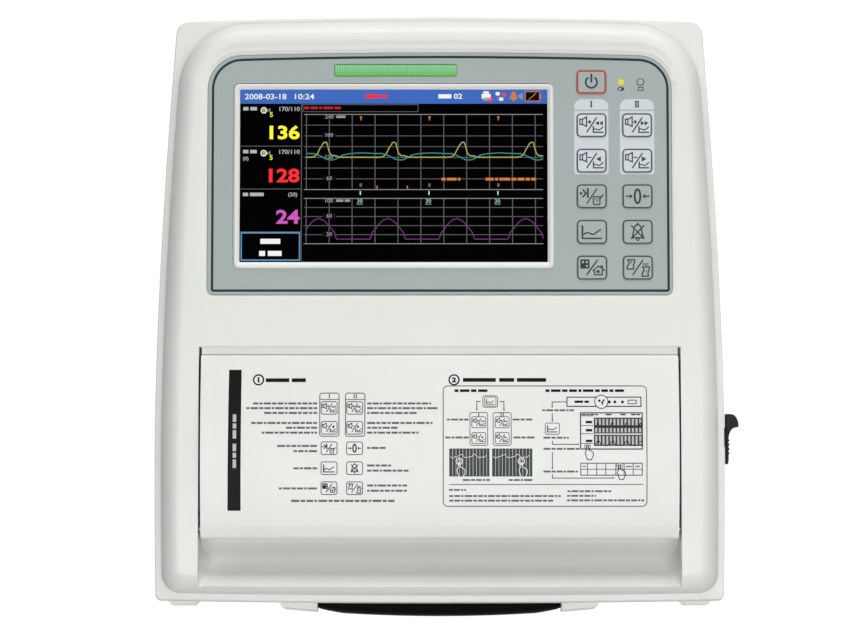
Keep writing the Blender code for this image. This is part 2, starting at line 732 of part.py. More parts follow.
def pillow_rings(inset, width, drop, rise, steps):
    """(inset, w) steps of the quarter ellipse that rises from the flange to the flat face."""
    turns = [math.pi / 2 * k / steps for k in range(steps + 1)]
    return [(inset + width * (1 - math.cos(t)), rise - drop * (1 - math.sin(t)), t) for t in turns]


def cover_levels(extra, face_w, below, steps, corner_steps):
    """The cover's skin, drawn in by extra. With extra 0 it is the outside."""
    ends = (OUTER_TOP_RADIUS, OUTER_BOTTOM_RADIUS, corner_steps)
    levels = [(case_outline(extra, *ends), -PARTING_DEPTH - below)]
    levels.append((case_outline(SKIRT_DRAFT + extra, *ends), face_w - FLANGE_DEPTH - FLANGE_ROUND))
    start = CREASE_INSET + extra
    for inset, w, turn in pillow_rings(start, PILLOW_WIDTH, FLANGE_DEPTH, face_w, steps):
        share = 1 - math.cos(turn)
        top = PILLOW_TOP_RADIUS + (FACE_TOP_RADIUS - PILLOW_TOP_RADIUS) * share
        bottom = PILLOW_BOTTOM_RADIUS + (FACE_BOTTOM_RADIUS - PILLOW_BOTTOM_RADIUS) * share
        levels.append((case_outline(inset, top, bottom, corner_steps), w))
    return levels


def trough_point(share, drop=0.0, back=0.0):
    """A point (v, w) on the finger trough below the door."""
    fall = TROUGH_DEPTH * (1 - (1 - share) ** 2)
    return (CREST_V + TROUGH_LENGTH * share - back, -CREST_DEPTH - fall - drop)


def bay_profile():
    shares = [k / TROUGH_STEPS for k in range(TROUGH_STEPS + 1)]
    curve = [trough_point(s) for s in shares]
    low = -BAY_WALL_DEPTH - OVERRUN
    shelf = [(BAY_SHELF_V, low), (BAY_SHELF_V, -BAY_SHELF_DEPTH), (BAY_TOP_V, -BAY_SHELF_DEPTH)]
    return [(CREST_V, OVERRUN), *curve, (TROUGH_END_V, low), *shelf, (BAY_TOP_V, OVERRUN)]


def under_trough_profile():
    shares = [k / TROUGH_STEPS for k in range(1, TROUGH_STEPS + 1)]
    curve = [trough_point(s, TROUGH_WALL) for s in shares]
    low = -BAY_WALL_DEPTH - OVERRUN
    first = curve[0][0]
    return [(first, low), *curve, (TROUGH_END_V + OVERRUN, curve[-1][1]), (TROUGH_END_V + OVERRUN, low)]


def bay_block_profile():
    """The solid that the bay and its side walls are cut from, kept inside the cover's outer skin."""
    first = trough_point(1 / TROUGH_STEPS)
    top = -FACE_WALL / 2
    back = BAY_TOP_V + WALL
    start = CREST_V + (first[0] - CREST_V) / 4
    return [
        (start, -BAY_WALL_DEPTH),
        (back, -BAY_WALL_DEPTH),
        (back, top),
        (first[0] + FACE_WALL, top),
        (start, first[1] - TROUGH_WALL / 2),
    ]


def key_places():
    """Every key's name and centre."""
    places = [("key_power", KEY_LEFT_U, POWER_KEY_V)]
    for row, names in enumerate(KEY_NAMES):
        v = KEY_FIRST_ROW_V - KEY_PITCH_V * row
        places.append((names[0], KEY_LEFT_U, v))
        places.append((names[1], KEY_RIGHT_U, v))
    return places


def panel_holes():
    """The wells for the keys, the lamp and the two indicators, through the overlay and the cover."""
    shape = bmesh.new()
    low, high = -PAD_DEPTH - OVERRUN, OVERRUN
    for _, u, v in key_places():
        outline = rectangle(KEY_WIDTH + 2 * GAP, KEY_HEIGHT + 2 * GAP, (u, v), KEY_RADIUS + GAP)
        prism(outline, low, high, outward, shape)
    size = (LAMP_WIDTH + 2 * GAP, LAMP_HEIGHT + 2 * GAP)
    prism(rectangle(*size, (LAMP_U, LAMP_V), LAMP_RADIUS + GAP), low, high, outward, shape)
    for u in (POWER_LED_U, BATTERY_LED_U):
        add_rod(LED_RADIUS + GAP, (low, high), (u, LED_V), outward, shape)
    return shape


def screen_rectangle(border, radius=0.0):
    size = (SCREEN_WIDTH + 2 * border, SCREEN_HEIGHT + 2 * border)
    return rectangle(*size, (SCREEN_U, SCREEN_V), radius)


def post_places():
    return [
        (side * u, v)
        for u, v in ((LOWER_POST_U, LOWER_POST_V), (UPPER_POST_U, UPPER_POST_V))
        for side in (-1, 1)
    ]


def cover_posts():
    """Screw posts, posts for the screen's bracket and for the key board."""
    shape = bmesh.new()
    for place in post_places():
        add_rod(POST_RADIUS, (-PARTING_DEPTH, -POST_TOP_DEPTH), place, outward, shape)
    reach = SCREEN_WIDTH / 2 + MODULE_BORDER + BRACKET_POST_BORDER
    high = -PAD_DEPTH + GAP
    for side in (-1, 1):
        for rise in (-1, 1):
            place = (SCREEN_U + side * reach, SCREEN_V + rise * BRACKET_POST_RISE)
            add_rod(BRACKET_POST_RADIUS, (-BRACKET_TOP_DEPTH + GAP, high), place, outward, shape)
    for row in (1, 3):
        place = ((KEY_LEFT_U + KEY_RIGHT_U) / 2, KEY_FIRST_ROW_V - KEY_PITCH_V * (row - 1 / 2))
        add_rod(KEY_POST_RADIUS, (-KEY_BOARD_TOP_DEPTH + GAP, high), place, outward, shape)
    return shape


def screw_holes(low, high):
    shape = bmesh.new()
    for place in post_places():
        add_rod(SCREW_RADIUS + GAP, (low, high), place, outward, shape)
    return shape


def latch_ribs():
    """The spring's seat and the slide's guide, beside the bay's right wall."""
    seat = (SPRING_U - SPRING_RIB_HALF_WIDTH, SPRING_SEAT_V, -SPRING_DEPTH - SPRING_RIB_HALF_WIDTH)
    seat_end = (SPRING_U + SPRING_RIB_HALF_WIDTH, SPRING_SEAT_V + SPRING_RIB_THICKNESS, -FLANGE_DEPTH + WALL)
    shape = box(seat, seat_end)
    guide = (BAY_HALF_WIDTH + WALL / 2, GUIDE_LOW_V, -BAY_WALL_DEPTH)
    guide_end = (SLIDE_INNER_U - GAP, GUIDE_LOW_V + GUIDE_LENGTH, -SLIDE_DEPTH + SLIDE_THICKNESS)
    return box(guide, guide_end, shape)


def recess_levels():
    """The sunk seat of the overlay, with its chamfered border."""
    wide = RECESS_BORDER
    return [
        (overlay_outline(wide), OVERRUN),
        (overlay_outline(wide), 0),
        (overlay_outline(GAP), -RECESS_CHAMFER_DEPTH),
        (overlay_outline(GAP), -SEAT_DEPTH - GAP),
    ]


def make_front_cover(face):
    skin = cover_levels(0, 0, 0, PILLOW_STEPS, CORNER_STEPS)
    cover = add_piece("front_cover", stack(skin), "case_white", face)
    hollow = cover_levels(WALL, -FACE_WALL, OVERRUN, PILLOW_STEPS - 1, HIDDEN_CORNER_STEPS)
    cut(cover, stack(hollow), face, "hollow")
    pad_low = -PAD_DEPTH
    join(cover, prism(overlay_outline(PAD_BORDER), pad_low, -FACE_WALL / 2), face, "pad")
    wide = BAY_HALF_WIDTH + WALL
    join(cover, prism(bay_block_profile(), -wide, wide, across), face, "bay_block")
    join(cover, cover_posts(), face, "posts")
    join(cover, latch_ribs(), face, "latch_ribs")
    cut(cover, prism(bay_profile(), -BAY_HALF_WIDTH, BAY_HALF_WIDTH, across), face, "bay")
    cut(cover, prism(under_trough_profile(), -BAY_HALF_WIDTH, BAY_HALF_WIDTH, across), face, "under_trough")
    inner = BAY_HALF_WIDTH - BAY_LIP_RIB
    lip_low = (-inner, BAY_TOP_V - OVERRUN, -BAY_WALL_DEPTH - OVERRUN)
    cut(cover, box(lip_low, (inner, BAY_TOP_V + WALL + OVERRUN, -BAY_LIP_DEPTH)), face, "under_lip")
    cut(cover, stack(recess_levels()), face, "overlay_recess")
    cut(cover, stack(step_levels()), face, "top_step")
    join(cover, stack(frame_levels()), face, "screen_frame")
    cut(cover, stack(window_levels()), face, "window")
    pocket = screen_rectangle(GLASS_BORDER + GAP)
    cut(cover, prism(pocket, -PAD_DEPTH - OVERRUN, -WINDOW_DEPTH), face, "glass_pocket")
    cut(cover, panel_holes(), face, "panel_holes")
    cut(cover, screw_holes(-PARTING_DEPTH - OVERRUN, -PARTING_DEPTH + SCREW_LENGTH / 2), face, "screw_holes")
    cut(cover, latch_openings(), face, "latch_openings")
    cut(cover, pin_holes(), face, "pin_holes")


def step_levels():
    """The extra shallow step above the overlay, at the arched top of the recess."""
    return [
        (overlay_outline(RECESS_BORDER, RECESS_BORDER + RECESS_TOP_STEP), OVERRUN),
        (overlay_outline(RECESS_BORDER, RECESS_BORDER + RECESS_TOP_STEP), 0),
        (overlay_outline(RECESS_BORDER / 2, RECESS_BORDER), -RECESS_TOP_STEP_DEPTH),
    ]


def frame_levels():
    """The raised frame that stands round the screen through the overlay."""
    edge = screen_rectangle(FRAME_BORDER, FRAME_RADIUS)
    crest = screen_rectangle(FRAME_BORDER - FRAME_CHAMFER, FRAME_RADIUS - FRAME_CHAMFER)
    return [(edge, -WINDOW_DEPTH + GAP), (edge, -FRAME_SINK - FRAME_CHAMFER), (crest, -FRAME_SINK)]


def window_levels():
    mouth = screen_rectangle(FRAME_BEVEL)
    return [
        (mouth, OVERRUN),
        (mouth, -FRAME_SINK),
        (screen_rectangle(0), -WINDOW_DEPTH + FRAME_CHAMFER),
        (screen_rectangle(0), -WINDOW_DEPTH - OVERRUN),
    ]


def latch_openings():
    """The lever's slot in the side wall, and the notch that lets the hook into the bay."""
    middle = -SLIDE_DEPTH - SLIDE_THICKNESS / 2
    half = LEVER_STEM_HEIGHT / 2 + GAP
    slot_low = (CASE_HALF - WALL * 3, LEVER_STEM_LOW_V - GAP, middle - half)
    slot_high = (CASE_HALF + OVERRUN, LEVER_STEM_HIGH_V + LEVER_TRAVEL + GAP, middle + half)
    shape = box(slot_low, slot_high)
    notch_low = (BAY_HALF_WIDTH - BAY_LIP_RIB - OVERRUN, HOOK_LOW_V - GAP, -BAY_WALL_DEPTH - OVERRUN)
    notch_high = (BAY_HALF_WIDTH + WALL + OVERRUN, BAY_TOP_V + WALL + OVERRUN, -SLIDE_DEPTH + GAP)
    return box(notch_low, notch_high, shape)


def pin_holes():
    def hole(side, shape):
        ends = sorted((side * (BAY_HALF_WIDTH - WALL), side * (BAY_HALF_WIDTH + WALL + GAP * 2)))
        add_rod(PIN_RADIUS + GAP, ends, (HINGE_V, -HINGE_DEPTH), across, shape)

    return both_sides(hole)


# Rear case


def wall_ring(inset, rise=None, steps=CORNER_STEPS):
    """A ring of the rear case, straight below the parting line at the height rise, or on the parting line."""
    ring = []
    w = -PARTING_DEPTH - GAP
    for u, v in case_outline(inset, OUTER_TOP_RADIUS, OUTER_BOTTOM_RADIUS, steps):
        y = v * math.cos(SLOPE) - w * math.sin(SLOPE)
        z = ORIGIN_HEIGHT + v * math.sin(SLOPE) + w * math.cos(SLOPE)
        ring.append(Vector((u, y, z if rise is None else rise)))
    return ring


def make_rear_case(stand):
    rings = [wall_ring(0)]
    for k in range(BASE_STEPS + 1):
        turn = math.pi / 2 * k / BASE_STEPS
        inset = WALL_DRAFT + BASE_ROUND * (1 - math.cos(turn))
        rings.append(wall_ring(inset, FOOT_HEIGHT + BASE_ROUND * (1 - math.sin(turn))))
    case = add_piece("rear_case", loft(rings[::-1]), "case_white", stand)
    rim = wall_ring(WALL, steps=HIDDEN_CORNER_STEPS)
    lift = Vector((0, 0, OVERRUN))
    floor_inset = WALL + WALL_DRAFT
    hollow = [
        [point + lift for point in rim],
        rim,
        wall_ring(floor_inset, BASE_TOP_Z + BASE_ROUND / 2, HIDDEN_CORNER_STEPS),
        wall_ring(floor_inset + BASE_ROUND / 2, BASE_TOP_Z, HIDDEN_CORNER_STEPS),
    ]
    cut(case, loft(hollow), stand, "hollow")
    join(case, boss_tubes(), FACE, "bosses")
    join(case, panel_blocks(), stand, "panel_blocks")
    join(case, board_posts(), stand, "board_posts")
    join(case, tray_ribs(), stand, "tray_ribs")
    join(case, pocket_block(), stand, "pocket_block")
    cut(case, pocket_space(), stand, "pocket")
    join(case, handle_lugs(), stand, "lugs")
    join(case, handle_core(0, POCKET_HALF_WIDTH), stand, "core")
    join(case, bumpers(), stand, "bumpers")
    cut(case, panel_spaces(), stand, "panel_spaces")
    cut(case, base_spaces(), stand, "base_spaces")
    cut(case, counterbores(), FACE, "counterbores")
    cut(case, screw_holes(-SCREW_SEAT_DEPTH - SCREW_SEAT_WALL - OVERRUN, 0), FACE, "screw_holes")


def base_w(v, rise):
    """How deep below the face a world height lies, at this v."""
    return (rise - ORIGIN_HEIGHT - v * math.sin(SLOPE)) / math.cos(SLOPE)


def boss_tubes():
    """Screw bosses: a tall tube from the base, with a thick floor near the parting line."""
    shape = bmesh.new()
    for u, v in post_places():
        low = base_w(v + BOSS_RADIUS, BASE_TOP_Z) - WALL / 4
        add_rod(BOSS_RADIUS, (low, -PARTING_DEPTH - GAP), (u, v), outward, shape)
    return shape


def counterbores():
    shape = bmesh.new()
    for u, v in post_places():
        low = base_w(v, FOOT_HEIGHT) - OVERRUN
        add_rod(COUNTERBORE_RADIUS, (low, -SCREW_SEAT_DEPTH), (u, v), outward, shape)
    return shape


def bow_y(x):
    """The front of the handle in plan."""
    return -HANDLE_REACH + HANDLE_BOW * (x / LUG_HALF_SPAN) ** 2


def pocket_block():
    wide = POCKET_HALF_WIDTH + WALL
    low = (-wide, FRONT_WALL_Y + WALL * 0.8, FOOT_HEIGHT + BASE_ROUND / 4)
    return box(low, (wide, bow_y(0) + HANDLE_SIDE + POCKET_DEPTH + WALL, POCKET_ROOF + WALL))


def pocket_space():
    low = (-POCKET_HALF_WIDTH, -OVERRUN * 3, -OVERRUN)
    return box(low, (POCKET_HALF_WIDTH, bow_y(0) + HANDLE_SIDE + POCKET_DEPTH, POCKET_ROOF))


def handle_lugs():
    def lug(side, shape):
        front = [GRIP_HALF_SPAN + GAP + (LUG_HALF_SPAN - GRIP_HALF_SPAN) * k / 3 for k in range(4)]
        outline = [(side * x, bow_y(x)) for x in front]
        outline.append((side * (LUG_HALF_SPAN + LUG_FLARE), FRONT_WALL_Y))
        outline.append((side * (LUG_HALF_SPAN + LUG_FLARE), FRONT_WALL_Y + LUG_ROOT))
        outline.append((side * (GRIP_HALF_SPAN + GAP), FRONT_WALL_Y + LUG_ROOT))
        prism(outline, HANDLE_LOW, HANDLE_LOW + HANDLE_SIDE, outward, shape)

    return both_sides(lug)


def handle_core(grow, half_span):
    """The bar inside the grip."""
    count = GRIP_STATIONS
    spans = [half_span * (2 * k / count - 1) for k in range(count + 1)]
    middle = HANDLE_SIDE / 2
    near = middle - CORE_SIDE / 2 - grow
    far = middle + CORE_SIDE / 2 + grow
    outline = [(x, bow_y(x) + near) for x in spans] + [(x, bow_y(x) + far) for x in reversed(spans)]
    return prism(outline, HANDLE_LOW + near, HANDLE_LOW + far)


def bumpers():
    """The corner bumpers that stand just proud of the front wall."""

    def bumper(side, shape):
        outline = [
            (side * BUMPER_INNER, FRONT_WALL_Y + WALL / 2),
            (side * (BUMPER_INNER + BUMPER_CHAMFER), FRONT_WALL_Y - BUMPER_REACH),
            (side * (BUMPER_OUTER - BUMPER_CHAMFER), FRONT_WALL_Y - BUMPER_REACH),
            (side * BUMPER_OUTER, FRONT_WALL_Y + WALL / 2),
        ]
        high = ORIGIN_HEIGHT - PARTING_DEPTH * math.cos(SLOPE) - GAP * 4
        prism(outline, high - BUMPER_HEIGHT, high, outward, shape)

    return both_sides(bumper)


def panel_blocks():
    """Solid backing for the two sunk connector panels."""
    low = (-SOCKET_PANEL_X, SOCKET_PANEL_FRONT_Y - WALL, SOCKET_PANEL_LOW_Z - WALL)
    inner = -SOCKET_PANEL_X + WALL
    outer = -case_half(SOCKET_PANEL_REAR_Y) + WALL * 1.2
    high = (inner, SOCKET_PANEL_REAR_Y + WALL, SOCKET_PANEL_HIGH_Z + WALL)
    shape = box((outer, low[1], low[2]), high)
    first = (PORT_PANEL_LEFT_X - WALL, PORT_PANEL_Y - WALL, SOCKET_PANEL_LOW_Z - WALL)
    last = (PORT_PANEL_RIGHT_X + WALL, REAR_Y - WALL * 1.2, SOCKET_PANEL_HIGH_Z + WALL)
    return box(first, last, shape)


def panel_spaces():
    """The two sunk panels, with the holes that their sockets pass through."""
    out = -CASE_HALF - OVERRUN
    low = (out, SOCKET_PANEL_FRONT_Y, SOCKET_PANEL_LOW_Z)
    shape = box(low, (-SOCKET_PANEL_X, SOCKET_PANEL_REAR_Y, SOCKET_PANEL_HIGH_Z))
    first = (PORT_PANEL_LEFT_X, PORT_PANEL_Y, SOCKET_PANEL_LOW_Z)
    return box(first, (PORT_PANEL_RIGHT_X, REAR_Y + OVERRUN, SOCKET_PANEL_HIGH_Z), shape)


def socket_y(k):
    middle = (SOCKET_PANEL_FRONT_Y + SOCKET_PANEL_REAR_Y) / 2
    return middle + SOCKET_PITCH * (k - (len(SOCKET_NAMES) - 1) / 2)


def base_spaces():
    """Holes through the base and the connector panels."""
    shape = bmesh.new()
    width = BATTERY_WIDTH + 2 * (COVER_BORDER + GAP)
    length = BATTERY_LENGTH + 2 * (COVER_BORDER + GAP)
    prism(rectangle(width, length, (BATTERY_X, BATTERY_Y)), 0, BASE_TOP_Z + GAP, outward, shape)
    for k in range(GRILLE_SLOTS):
        x = SPEAKER_X + GRILLE_PITCH * (k - (GRILLE_SLOTS - 1) / 2)
        outline = rectangle(GRILLE_WIDTH, GRILLE_LENGTH, (x, SPEAKER_Y))
        prism(outline, 0, BASE_TOP_Z + GAP, outward, shape)
    for x in (-FOOT_X, FOOT_X):
        for y in (FOOT_FRONT_Y, FOOT_REAR_Y):
            profile = [(FOOT_RADIUS + GAP, 0), (FOOT_RADIUS + GAP, FOOT_HEIGHT + FOOT_SINK)]
            turned(profile, (x, y), outward, ROUND_SIDES, shape)
    for k in range(len(SOCKET_NAMES)):
        ends = (-SOCKET_PANEL_X - WALL, -SOCKET_PANEL_X + 2 * WALL)
        add_rod(SOCKET_BODY_RADIUS + GAP, ends, (socket_y(k), PANEL_MID_Z), across, shape)
    for x, width, height in port_places():
        outline = rectangle(width + 2 * GAP, height + 2 * GAP, (x, PANEL_MID_Z))
        prism(outline, PORT_PANEL_Y - 2 * WALL, PORT_PANEL_Y + WALL, along, shape)
    return shape


def port_places():
    """The x, width and height of the three connectors in the rear wall."""
    return (
        (INLET_X, INLET_SIDE, INLET_SIDE),
        (LAN_X, LAN_WIDTH, LAN_HEIGHT),
        (USB_X, USB_WIDTH, USB_HEIGHT),
    )


def board_places():
    left = BOARD_X - BOARD_HALF_WIDTH + BOARD_POST_BORDER
    right = BOARD_X + BOARD_HALF_WIDTH - BOARD_POST_BORDER
    ends = (BOARD_FRONT_Y + BOARD_POST_BORDER, BOARD_REAR_Y - BOARD_POST_BORDER)
    return [(x, y) for x in (left, right) for y in ends]


def board_posts():
    shape = bmesh.new()
    for place in board_places():
        add_rod(BOARD_POST_RADIUS, (FOOT_HEIGHT + WALL / 2, BOARD_LOW_Z - GAP), place, outward, shape)
    return shape


def tray_ribs():
    """Two ribs on the base whose sloping tops carry the paper tray."""

    def rib(side, shape):
        front, back = TRAY_FRONT_V + TRAY_WALL * 4, TRAY_BACK_V - TRAY_WALL
        top = []
        for v in (back, front):
            w = -TRAY_DEPTH - GAP
            y = v * math.cos(SLOPE) - w * math.sin(SLOPE)
            top.append((y, ORIGIN_HEIGHT + v * math.sin(SLOPE) + w * math.cos(SLOPE)))
        low = FOOT_HEIGHT + WALL / 2
        outline = [(top[1][0], low), (top[0][0], low), *top]
        place = side * (POCKET_HALF_WIDTH + WALL * 3)
        prism(outline, place - WALL / 2, place + WALL / 2, across, shape)

    return both_sides(rib)


# Handle grip, feet and screws


def make_handle_grip(stand):
    count = GRIP_STATIONS
    rings = []
    centre = (HANDLE_SIDE / 2, HANDLE_LOW + HANDLE_SIDE / 2)
    section = rectangle(HANDLE_SIDE, HANDLE_SIDE, centre, HANDLE_CORNER)
    for k in range(count + 1):
        x = GRIP_HALF_SPAN * (2 * k / count - 1)
        share = GRIP_END_SHARE if k in (0, count) else 1
        ring = [Vector(centre) + (Vector(point) - Vector(centre)) * share for point in section]
        rings.append([Vector((x, bow_y(x) + depth, rise)) for depth, rise in ring])
    grip = add_piece("handle_grip", loft(rings), "black_rubber", stand)
    cut(grip, handle_core(GAP, POCKET_HALF_WIDTH), stand, "core")


def make_feet(stand):
    for rear, y in (("front", FOOT_FRONT_Y), ("rear", FOOT_REAR_Y)):
        for side, x in (("left", -FOOT_X), ("right", FOOT_X)):
            profile = [
                (FOOT_RADIUS - FOOT_CHAMFER, 0),
                (FOOT_RADIUS, FOOT_CHAMFER),
                (FOOT_RADIUS, FOOT_HEIGHT + FOOT_SINK - GAP),
            ]
            shape = turned(profile, (x, y), outward)
            add_piece(f"foot_{rear}_{side}", shape, "black_rubber", stand, (x, y, 0))


def make_screws(face):
    names = ("front_left", "front_right", "rear_left", "rear_right")
    for name, (u, v) in zip(names, post_places()):
        seat = -SCREW_SEAT_DEPTH - GAP
        profile = [
            (SCREW_HEAD_RADIUS, seat - SCREW_HEAD_HEIGHT),
            (SCREW_HEAD_RADIUS, seat),
            (SCREW_RADIUS, seat),
            (SCREW_RADIUS, seat + SCREW_LENGTH),
        ]
        shape = turned(profile, (u, v), outward, SMALL_SIDES)
        screw = add_piece(f"case_screw_{name}", shape, "bare_steel", face, (u, v, seat))
        low = seat - SCREW_HEAD_HEIGHT
        half = SCREW_SLOT_WIDTH / 2
        reach = SCREW_HEAD_RADIUS / 2
        slot = box((u - reach, v - half, low - OVERRUN), (u + reach, v + half, low + SCREW_SLOT_DEPTH))
        cut(screw, slot, face, "slot")


# Control panel


def make_overlay(face):
    levels = [(overlay_outline(0), -SEAT_DEPTH), (overlay_outline(0), -OVERLAY_SINK)]
    overlay = add_piece("control_overlay", stack(levels), "overlay_grey", face)
    window = screen_rectangle(FRAME_BORDER + GAP, FRAME_RADIUS + GAP)
    cut(overlay, prism(window, -SEAT_DEPTH - OVERRUN, OVERRUN), face, "frame_window")
    cut(overlay, panel_holes(), face, "holes")


def button_levels(width, height, centre, radius, high):
    """A cap with a retaining flange under the cover and a chamfered top at this height."""
    wide = KEY_FLANGE_BORDER
    flange = rectangle(width + 2 * wide, height + 2 * wide, centre, radius + wide)
    cap = rectangle(width, height, centre, radius)
    top = rectangle(width - 2 * KEY_EDGE, height - 2 * KEY_EDGE, centre, radius - KEY_EDGE)
    shelf = -PAD_DEPTH - GAP
    return [(flange, -KEY_BACK_DEPTH), (flange, shelf), (cap, shelf), (cap, high - KEY_EDGE), (top, high)]


def make_keys(face):
    high = -OVERLAY_SINK + KEY_PROUD
    for name, u, v in key_places():
        levels = button_levels(KEY_WIDTH, KEY_HEIGHT, (u, v), KEY_RADIUS, high)
        add_piece(name, stack(levels), "key_grey", face, (u, v, high))


def make_lamps(face):
    top = -OVERLAY_SINK + KEY_PROUD
    low = -KEY_BOARD_TOP_DEPTH + GAP
    profile = [(LED_RADIUS, low), (LED_RADIUS, top - KEY_EDGE), (LED_RADIUS / 2, top)]
    for name, u in (("power_led", POWER_LED_U), ("battery_led", BATTERY_LED_U)):
        finish = "led_yellow" if name == "power_led" else "led_clear"
        add_piece(name, turned(profile, (u, LED_V), outward, SMALL_SIDES), finish, face)
    high = -OVERLAY_SINK + LAMP_PROUD
    levels = button_levels(LAMP_WIDTH, LAMP_HEIGHT, (LAMP_U, LAMP_V), LAMP_RADIUS, high)
    add_piece("alarm_lamp_lens", stack(levels), "lamp_green", face)


def make_screen(face):
    glass = prism(screen_rectangle(GLASS_BORDER), -GLASS_TOP_DEPTH - GLASS_THICKNESS, -GLASS_TOP_DEPTH)
    add_piece("touch_panel", glass, "screen_glass", face)
    top = -MODULE_TOP_DEPTH
    module = prism(screen_rectangle(MODULE_BORDER), top - MODULE_THICKNESS, top)
    add_piece("lcd_module", module, "bare_steel", face)
    top = -BRACKET_TOP_DEPTH
    plate = prism(screen_rectangle(MODULE_BORDER + BRACKET_BORDER), top - BRACKET_THICKNESS, top)
    bracket = add_piece("lcd_bracket", plate, "aluminium", face)
    opening = screen_rectangle(-BRACKET_BORDER * 2)
    cut(bracket, prism(opening, top - OVERRUN, top + OVERRUN), face, "opening")


def make_key_board(face):
    left = KEY_LEFT_U - KEY_WIDTH / 2 - KEY_BOARD_BORDER
    right = KEY_RIGHT_U + KEY_WIDTH / 2 + KEY_BOARD_BORDER
    last_row = KEY_FIRST_ROW_V - KEY_PITCH_V * (len(KEY_NAMES) - 1)
    low = last_row - KEY_HEIGHT / 2 - KEY_BOARD_BORDER
    high = POWER_KEY_V + KEY_HEIGHT / 2 + KEY_BOARD_BORDER
    top = -KEY_BOARD_TOP_DEPTH
    board = box((left, low, top - KEY_BOARD_THICKNESS), (right, high, top))
    add_piece("key_board", board, "board_green", face)


# Paper door


def door_curve(depth):
    """The crowned line of the door in (v, w), this far below its outer surface."""
    points = []
    length = DOOR_HIGH_V - DOOR_LIP_V
    for k in range(DOOR_STEPS + 1):
        share = k / DOOR_STEPS
        crown = DOOR_CROWN * 4 * share * (1 - share)
        v = DOOR_HIGH_V - length * share
        points.append((v, crown - DOOR_EDGE_SINK - depth))
    return points


def door_profile():
    """The panel's section: crowned, rounded at the top edge and bent back at the bottom."""
    outer = door_curve(0)
    inner = door_curve(DOOR_WALL)
    top = outer[0]
    outline = [(top[0] - DOOR_TOP_ROUND, top[1]), *outer[1:]]
    outline.append((DOOR_LOW_V + DOOR_WALL * 0.6, -DOOR_EDGE_SINK - DOOR_WALL * 0.6))
    outline.append((DOOR_LOW_V, -DOOR_LIP_DEPTH / 2))
    outline.append((DOOR_LOW_V, -DOOR_LIP_DEPTH))
    outline.append((DOOR_LOW_V + DOOR_WALL, -DOOR_LIP_DEPTH))
    outline.append((DOOR_LOW_V + DOOR_WALL, -DOOR_EDGE_SINK - DOOR_WALL * 1.4))
    outline += inner[:0:-1]
    outline.append((top[0], top[1] - DOOR_WALL))
    outline.append((top[0], top[1] - DOOR_TOP_ROUND))
    return outline


def arm_outline():
    """The arm under the door's top edge that carries a platen bearing."""
    centre = (PLATEN_V, -PLATEN_DEPTH)
    below = circle(ARM_RADIUS, ARM_STEPS, centre, math.pi, math.pi)
    top = -DOOR_EDGE_SINK - DOOR_WALL / 2
    return [(PLATEN_V - ARM_RADIUS, top), *below, (DOOR_HIGH_V - DOOR_WALL, top)]


def ear_outline():
    """The hinge ear at the door's lower edge."""
    centre = (HINGE_V, -HINGE_DEPTH)
    below = circle(EAR_RADIUS, EAR_STEPS, centre, math.pi, math.pi)
    top = -DOOR_WALL
    return [(HINGE_V - EAR_RADIUS, top), *below, (HINGE_V + EAR_RADIUS, top)]


def make_door(face):
    origin = (0, HINGE_V, -HINGE_DEPTH)
    half = BAY_HALF_WIDTH - DOOR_SIDE_GAP
    door = add_piece("paper_door", prism(door_profile(), -half, half, across), "door_white", face, origin)

    def arm(side, shape):
        ends = sorted((side * ARM_INNER_U, side * (ARM_INNER_U + ARM_THICKNESS)))
        prism(arm_outline(), *ends, across, shape)

    def ear(side, shape):
        ends = sorted((side * (half - EAR_INSET), side * (half - EAR_INSET - EAR_THICKNESS)))
        prism(ear_outline(), *ends, across, shape)

    def bearing_seat(side, shape):
        ends = sorted((side * (ARM_INNER_U - OVERRUN), side * (ARM_INNER_U + ARM_THICKNESS + OVERRUN)))
        radius = BEARING_RADIUS + GAP
        turned([(radius, ends[0]), (radius, ends[1])], (PLATEN_V, -PLATEN_DEPTH), across, ROUND_SIDES, shape)

    def pin_seat(side, shape):
        ends = sorted((side * (half + OVERRUN), side * (half - EAR_INSET - EAR_THICKNESS - OVERRUN)))
        radius = PIN_RADIUS + GAP
        turned([(radius, ends[0]), (radius, ends[1])], (HINGE_V, -HINGE_DEPTH), across, SMALL_SIDES, shape)

    join(door, both_sides(arm), face, "arms")
    join(door, both_sides(ear), face, "ears")
    join(door, catch_block(), face, "catch")
    cut(door, both_sides(bearing_seat), face, "bearing_seats")
    cut(door, both_sides(pin_seat), face, "pin_seats")


def catch_block():
    """The hooked tab that the latch holds."""
    low = -BAY_WALL_DEPTH + GAP
    ledge = -SLIDE_DEPTH - SLIDE_THICKNESS - GAP
    top = -DOOR_EDGE_SINK - DOOR_WALL / 2
    front = CATCH_BACK_V - CATCH_THICKNESS
    notch = -SLIDE_DEPTH + SLIDE_THICKNESS
    outline = [
        (front, low),
        (CATCH_BACK_V - GAP * 2, low),
        (CATCH_BACK_V, low + GAP * 2),
        (CATCH_BACK_V, ledge),
        (CATCH_BACK_V - CATCH_NOTCH, ledge),
        (CATCH_BACK_V - CATCH_NOTCH, notch),
        (CATCH_BACK_V, notch + CATCH_NOTCH),
        (CATCH_BACK_V, top),
        (front, top),
    ]
    return prism(outline, CATCH_U, CATCH_U + CATCH_WIDTH, across)


